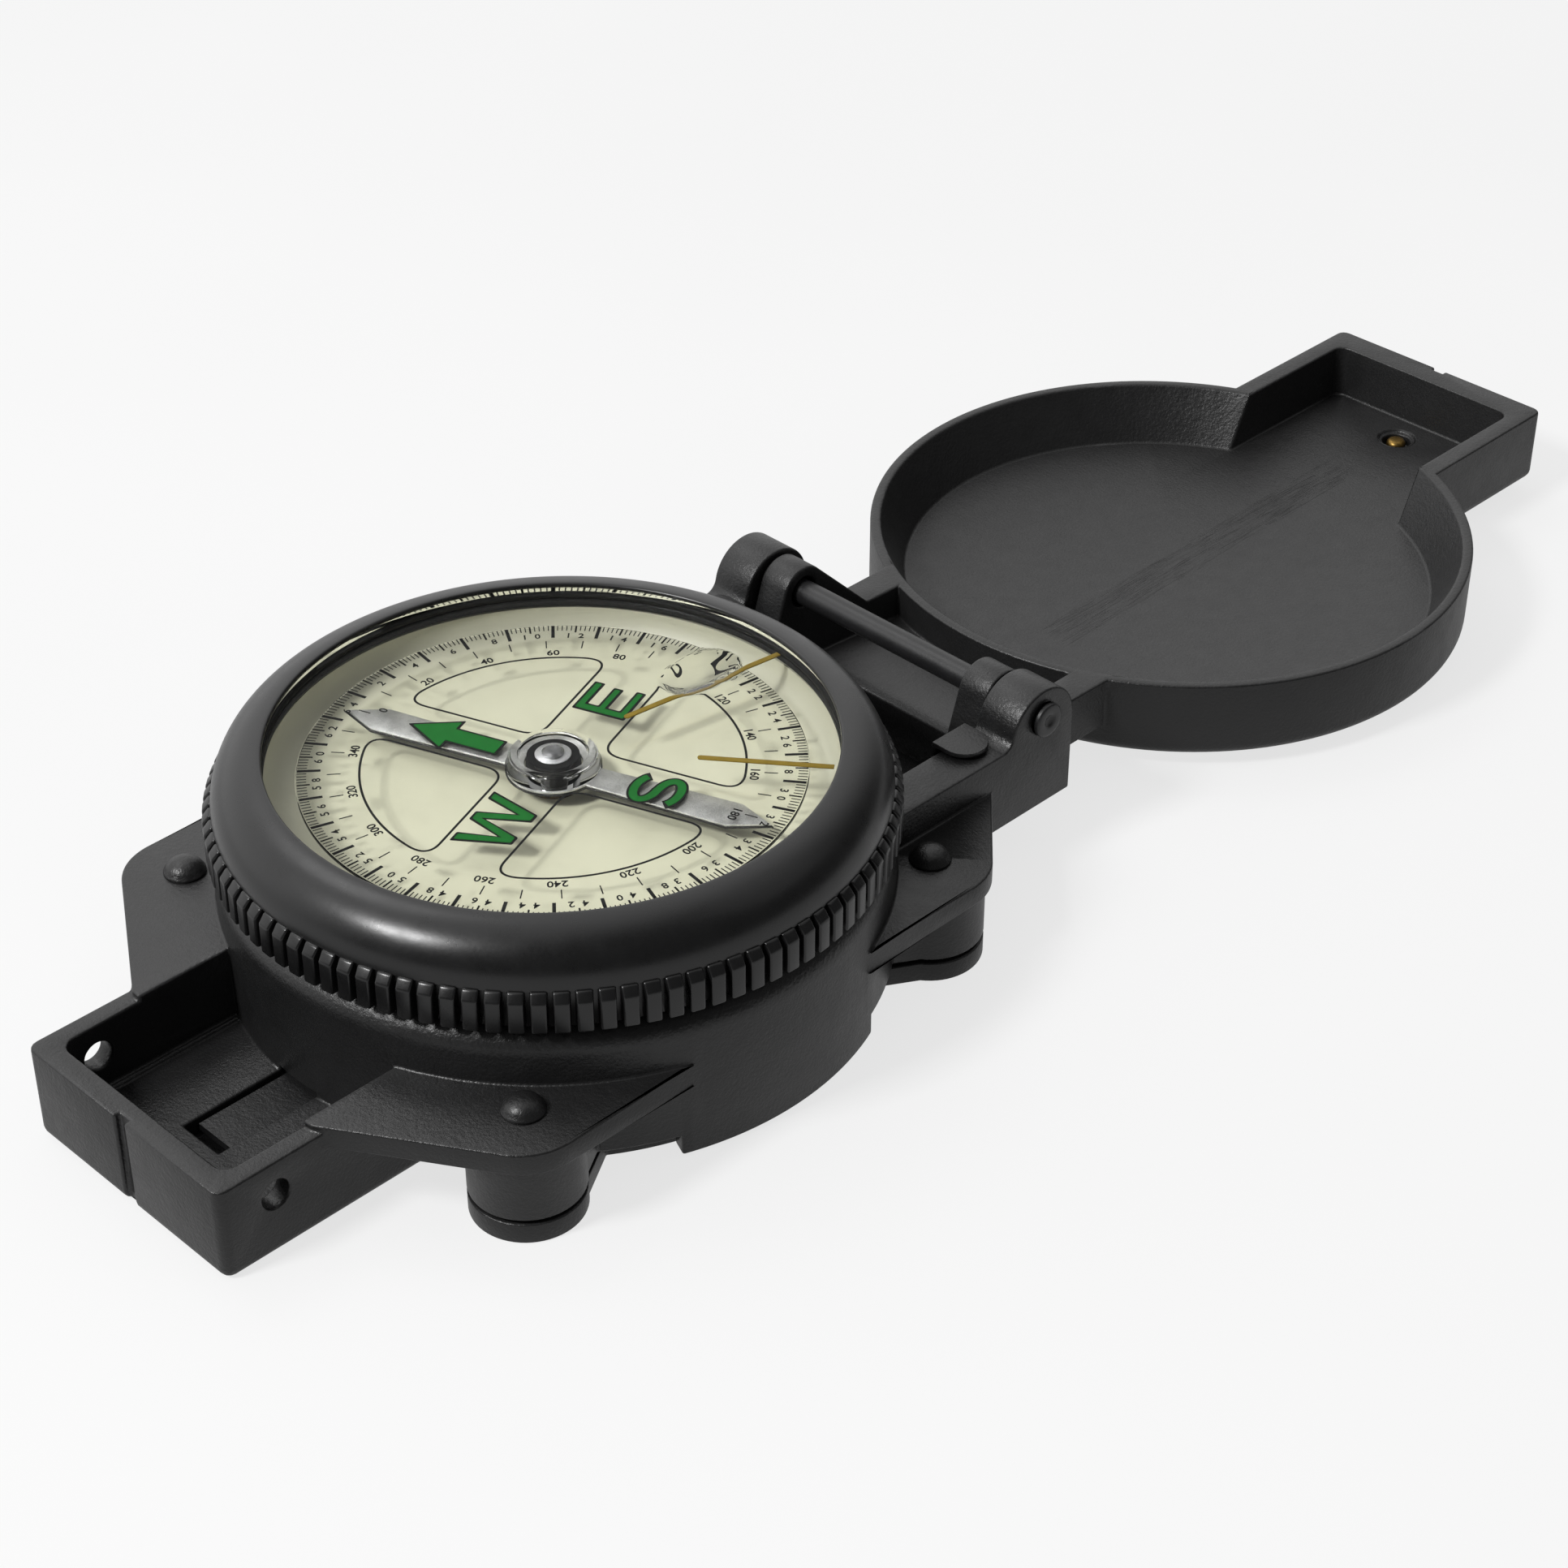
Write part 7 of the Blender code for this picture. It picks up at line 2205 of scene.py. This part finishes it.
@dataclass(frozen=True)
class Studio:
    """Floor, lamps, world and camera."""

    lamps: tuple[Lamp, ...] = (
        Lamp("key", (-0.14, -0.69, 0.71), 0.75, 0.14, 4.0),
        Lamp("side", (0.45, 0.5, 0.75), 0.9, 0.5, 0.25),
        Lamp("top", (-0.58, 0.02, 0.82), 0.9, 0.3, 0.7),
    )
    aim: Point3 = (0.0, 0.02, 0.01)
    reach: float = 900.0
    backdrop: float = 0.93
    floor_glow: float = 0.735
    floor_mirrored: float = 0.46
    bright_side: Point3 = (-0.85, 0.05, 0.52)
    side_fill: float = 0.46
    fill: float = 0.20
    mirrored_fill: float = 0.08
    glass_dimming: float = 0.93
    under_glass_relief: float = 0.15
    azimuth: float = math.radians(45.04)
    elevation: float = math.radians(35.15)
    lens: float = 74.64
    eye: Point3 = (0.15779, -0.13253, 0.16118)

    def floor(self) -> None:
        """Build the pale floor, which shows the backdrop's tone and keeps the shadow."""
        r = self.reach
        plane = mesh_object("floor", [(-r, -r, 0), (r, -r, 0), (r, r, 0), (-r, r, 0)], [(0, 1, 2, 3)])
        plane.data.transform(Matrix.Scale(TO_METRES, 4))
        material = bpy.data.materials.new("studio_floor")
        material.use_nodes = True
        kit = NodeKit(material.node_tree)
        shader = material.node_tree.nodes["Principled BSDF"]
        shader.inputs["Roughness"].default_value = 0.9
        shader.inputs["Specular IOR Level"].default_value = 0.0
        ray = kit.add("ShaderNodeLightPath")
        seen = self.sight(kit, ray)[0]
        mirrored = kit.math("MULTIPLY", ray.outputs["Is Glossy Ray"], self.floor_mirrored)
        glow = kit.math("MAXIMUM", kit.math("MULTIPLY", seen, self.floor_glow), mirrored)
        speck = kit.ramp(kit.noise(kit.place(12.0), 1.0, 2.0, 0.5), 0.3, 0.7, 0.195, 0.205)
        colour = kit.add("ShaderNodeCombineColor", {0: speck, 1: speck, 2: speck})
        kit.tree.links.new(colour.outputs[0], shader.inputs["Base Color"])
        shader.inputs["Emission Color"].default_value = (1.0, 1.0, 1.0, 1.0)
        kit.tree.links.new(glow, shader.inputs["Emission Strength"])
        plane.data.materials.append(material)

    def light(self, lamp: Lamp) -> None:
        """Add a lamp.

        Args:
            lamp: Its values.
        """
        data = bpy.data.lights.new(lamp.name, "AREA")
        data.shape = "SQUARE"
        data.size = lamp.size
        data.energy = lamp.power
        made = bpy.data.objects.new(lamp.name, data)
        away = Vector(lamp.direction).normalized()
        made.location = Vector(self.aim) + away * lamp.distance
        made.rotation_euler = away.to_track_quat("Z", "Y").to_euler()
        bpy.context.scene.collection.objects.link(made)

    def world(self) -> None:
        """Fill light from everywhere, and the pale backdrop where the camera sees it."""
        world = bpy.data.worlds.new("studio")
        world.use_nodes = True
        bpy.context.scene.world = world
        kit = NodeKit(world.node_tree)
        background = world.node_tree.nodes["Background"]
        background.inputs["Color"].default_value = (1.0, 1.0, 1.0, 1.0)
        ray = kit.add("ShaderNodeLightPath")
        seen, under_glass = self.sight(kit, ray)
        towards = kit.add("ShaderNodeTexCoord").outputs["Object"]
        direction = kit.add("ShaderNodeVectorMath", {0: towards, 1: self.bright_side}, operation="DOT_PRODUCT")
        side = kit.ramp(direction.outputs["Value"], 0.05, 0.8)
        relief = kit.math("MULTIPLY", under_glass, self.under_glass_relief)
        dimming = kit.math("SUBTRACT", self.glass_dimming, relief)
        dimmed = kit.math("SUBTRACT", 1.0, kit.math("MULTIPLY", ray.outputs["Is Singular Ray"], dimming))
        mirrored = kit.math("MULTIPLY", kit.math("ADD", side, self.mirrored_fill), dimmed)
        fill = kit.math("ADD", kit.math("MULTIPLY", side, self.side_fill), self.fill)
        glossy = kit.math("MAXIMUM", ray.outputs["Is Glossy Ray"], under_glass)
        strength = self.choose(kit, seen, self.choose(kit, glossy, fill, mirrored), self.backdrop)
        kit.tree.links.new(strength, background.inputs["Strength"])

    def sight(self, kit: NodeKit, ray: bpy.types.Node) -> tuple[bpy.types.NodeSocket, bpy.types.NodeSocket]:
        """Tell what is seen plainly from what is mirrored below the glass.

        Args:
            kit: Tree to add to.
            ray: Light Path node.

        Returns:
            Whether the camera sees this, straight or through glass, and whether it is a reflection that left
            through glass.
        """
        mirrored = kit.math("GREATER_THAN", ray.outputs["Glossy Depth"], 0.5)
        under_glass = kit.math("MULTIPLY", ray.outputs["Is Transmission Ray"], mirrored)
        through = kit.math("SUBTRACT", ray.outputs["Is Transmission Ray"], under_glass)
        return kit.math("MAXIMUM", ray.outputs["Is Camera Ray"], through), under_glass

    def choose(self, kit: NodeKit, switch: bpy.types.NodeSocket, low: object, high: object) -> bpy.types.NodeSocket:
        """Pick one of two values.

        Args:
            kit: Tree to add to.
            switch: 0 for the first, 1 for the second.
            low: First value or socket.
            high: Second value or socket.

        Returns:
            The picked value.
        """
        return kit.add("ShaderNodeMix", {0: switch, 2: low, 3: high}, data_type="FLOAT").outputs[0]

    def camera(self) -> None:
        """Set the camera where the photograph was taken from."""
        data = bpy.data.cameras.new("photo_camera")
        data.sensor_width = 36.0
        data.sensor_height = 36.0
        data.lens = self.lens
        data.clip_start = 0.005
        data.clip_end = 10.0
        camera = bpy.data.objects.new("photo_camera", data)
        azimuth, level = self.azimuth, math.cos(self.elevation)
        back = Vector((math.sin(azimuth) * level, -math.cos(azimuth) * level, math.sin(self.elevation)))
        right = Vector((math.cos(azimuth), math.sin(azimuth), 0.0))
        up = back.cross(right)
        turn = Matrix((right, up, back)).transposed().to_4x4()
        camera.matrix_world = Matrix.Translation(self.eye) @ turn
        bpy.context.scene.collection.objects.link(camera)
        bpy.context.scene.camera = camera

    def build(self) -> None:
        """Build all of it."""
        self.floor()
        for lamp in self.lamps:
            self.light(lamp)
        self.world()
        self.camera()
        bpy.context.scene.view_settings.view_transform = "Standard"


def main() -> None:
    """Build the compass and the studio."""
    logging.basicConfig(level=logging.INFO)
    palette = Palette()
    array = PolarArray()
    Case(palette).build()
    Hinge(palette).build()
    Lid(palette).build()
    Bezel(palette, array).build()
    Dial(palette).build()
    Print(palette, array).build()
    HiddenParts(palette).build()
    Studio().build()


if __name__ == "__main__":
    main()
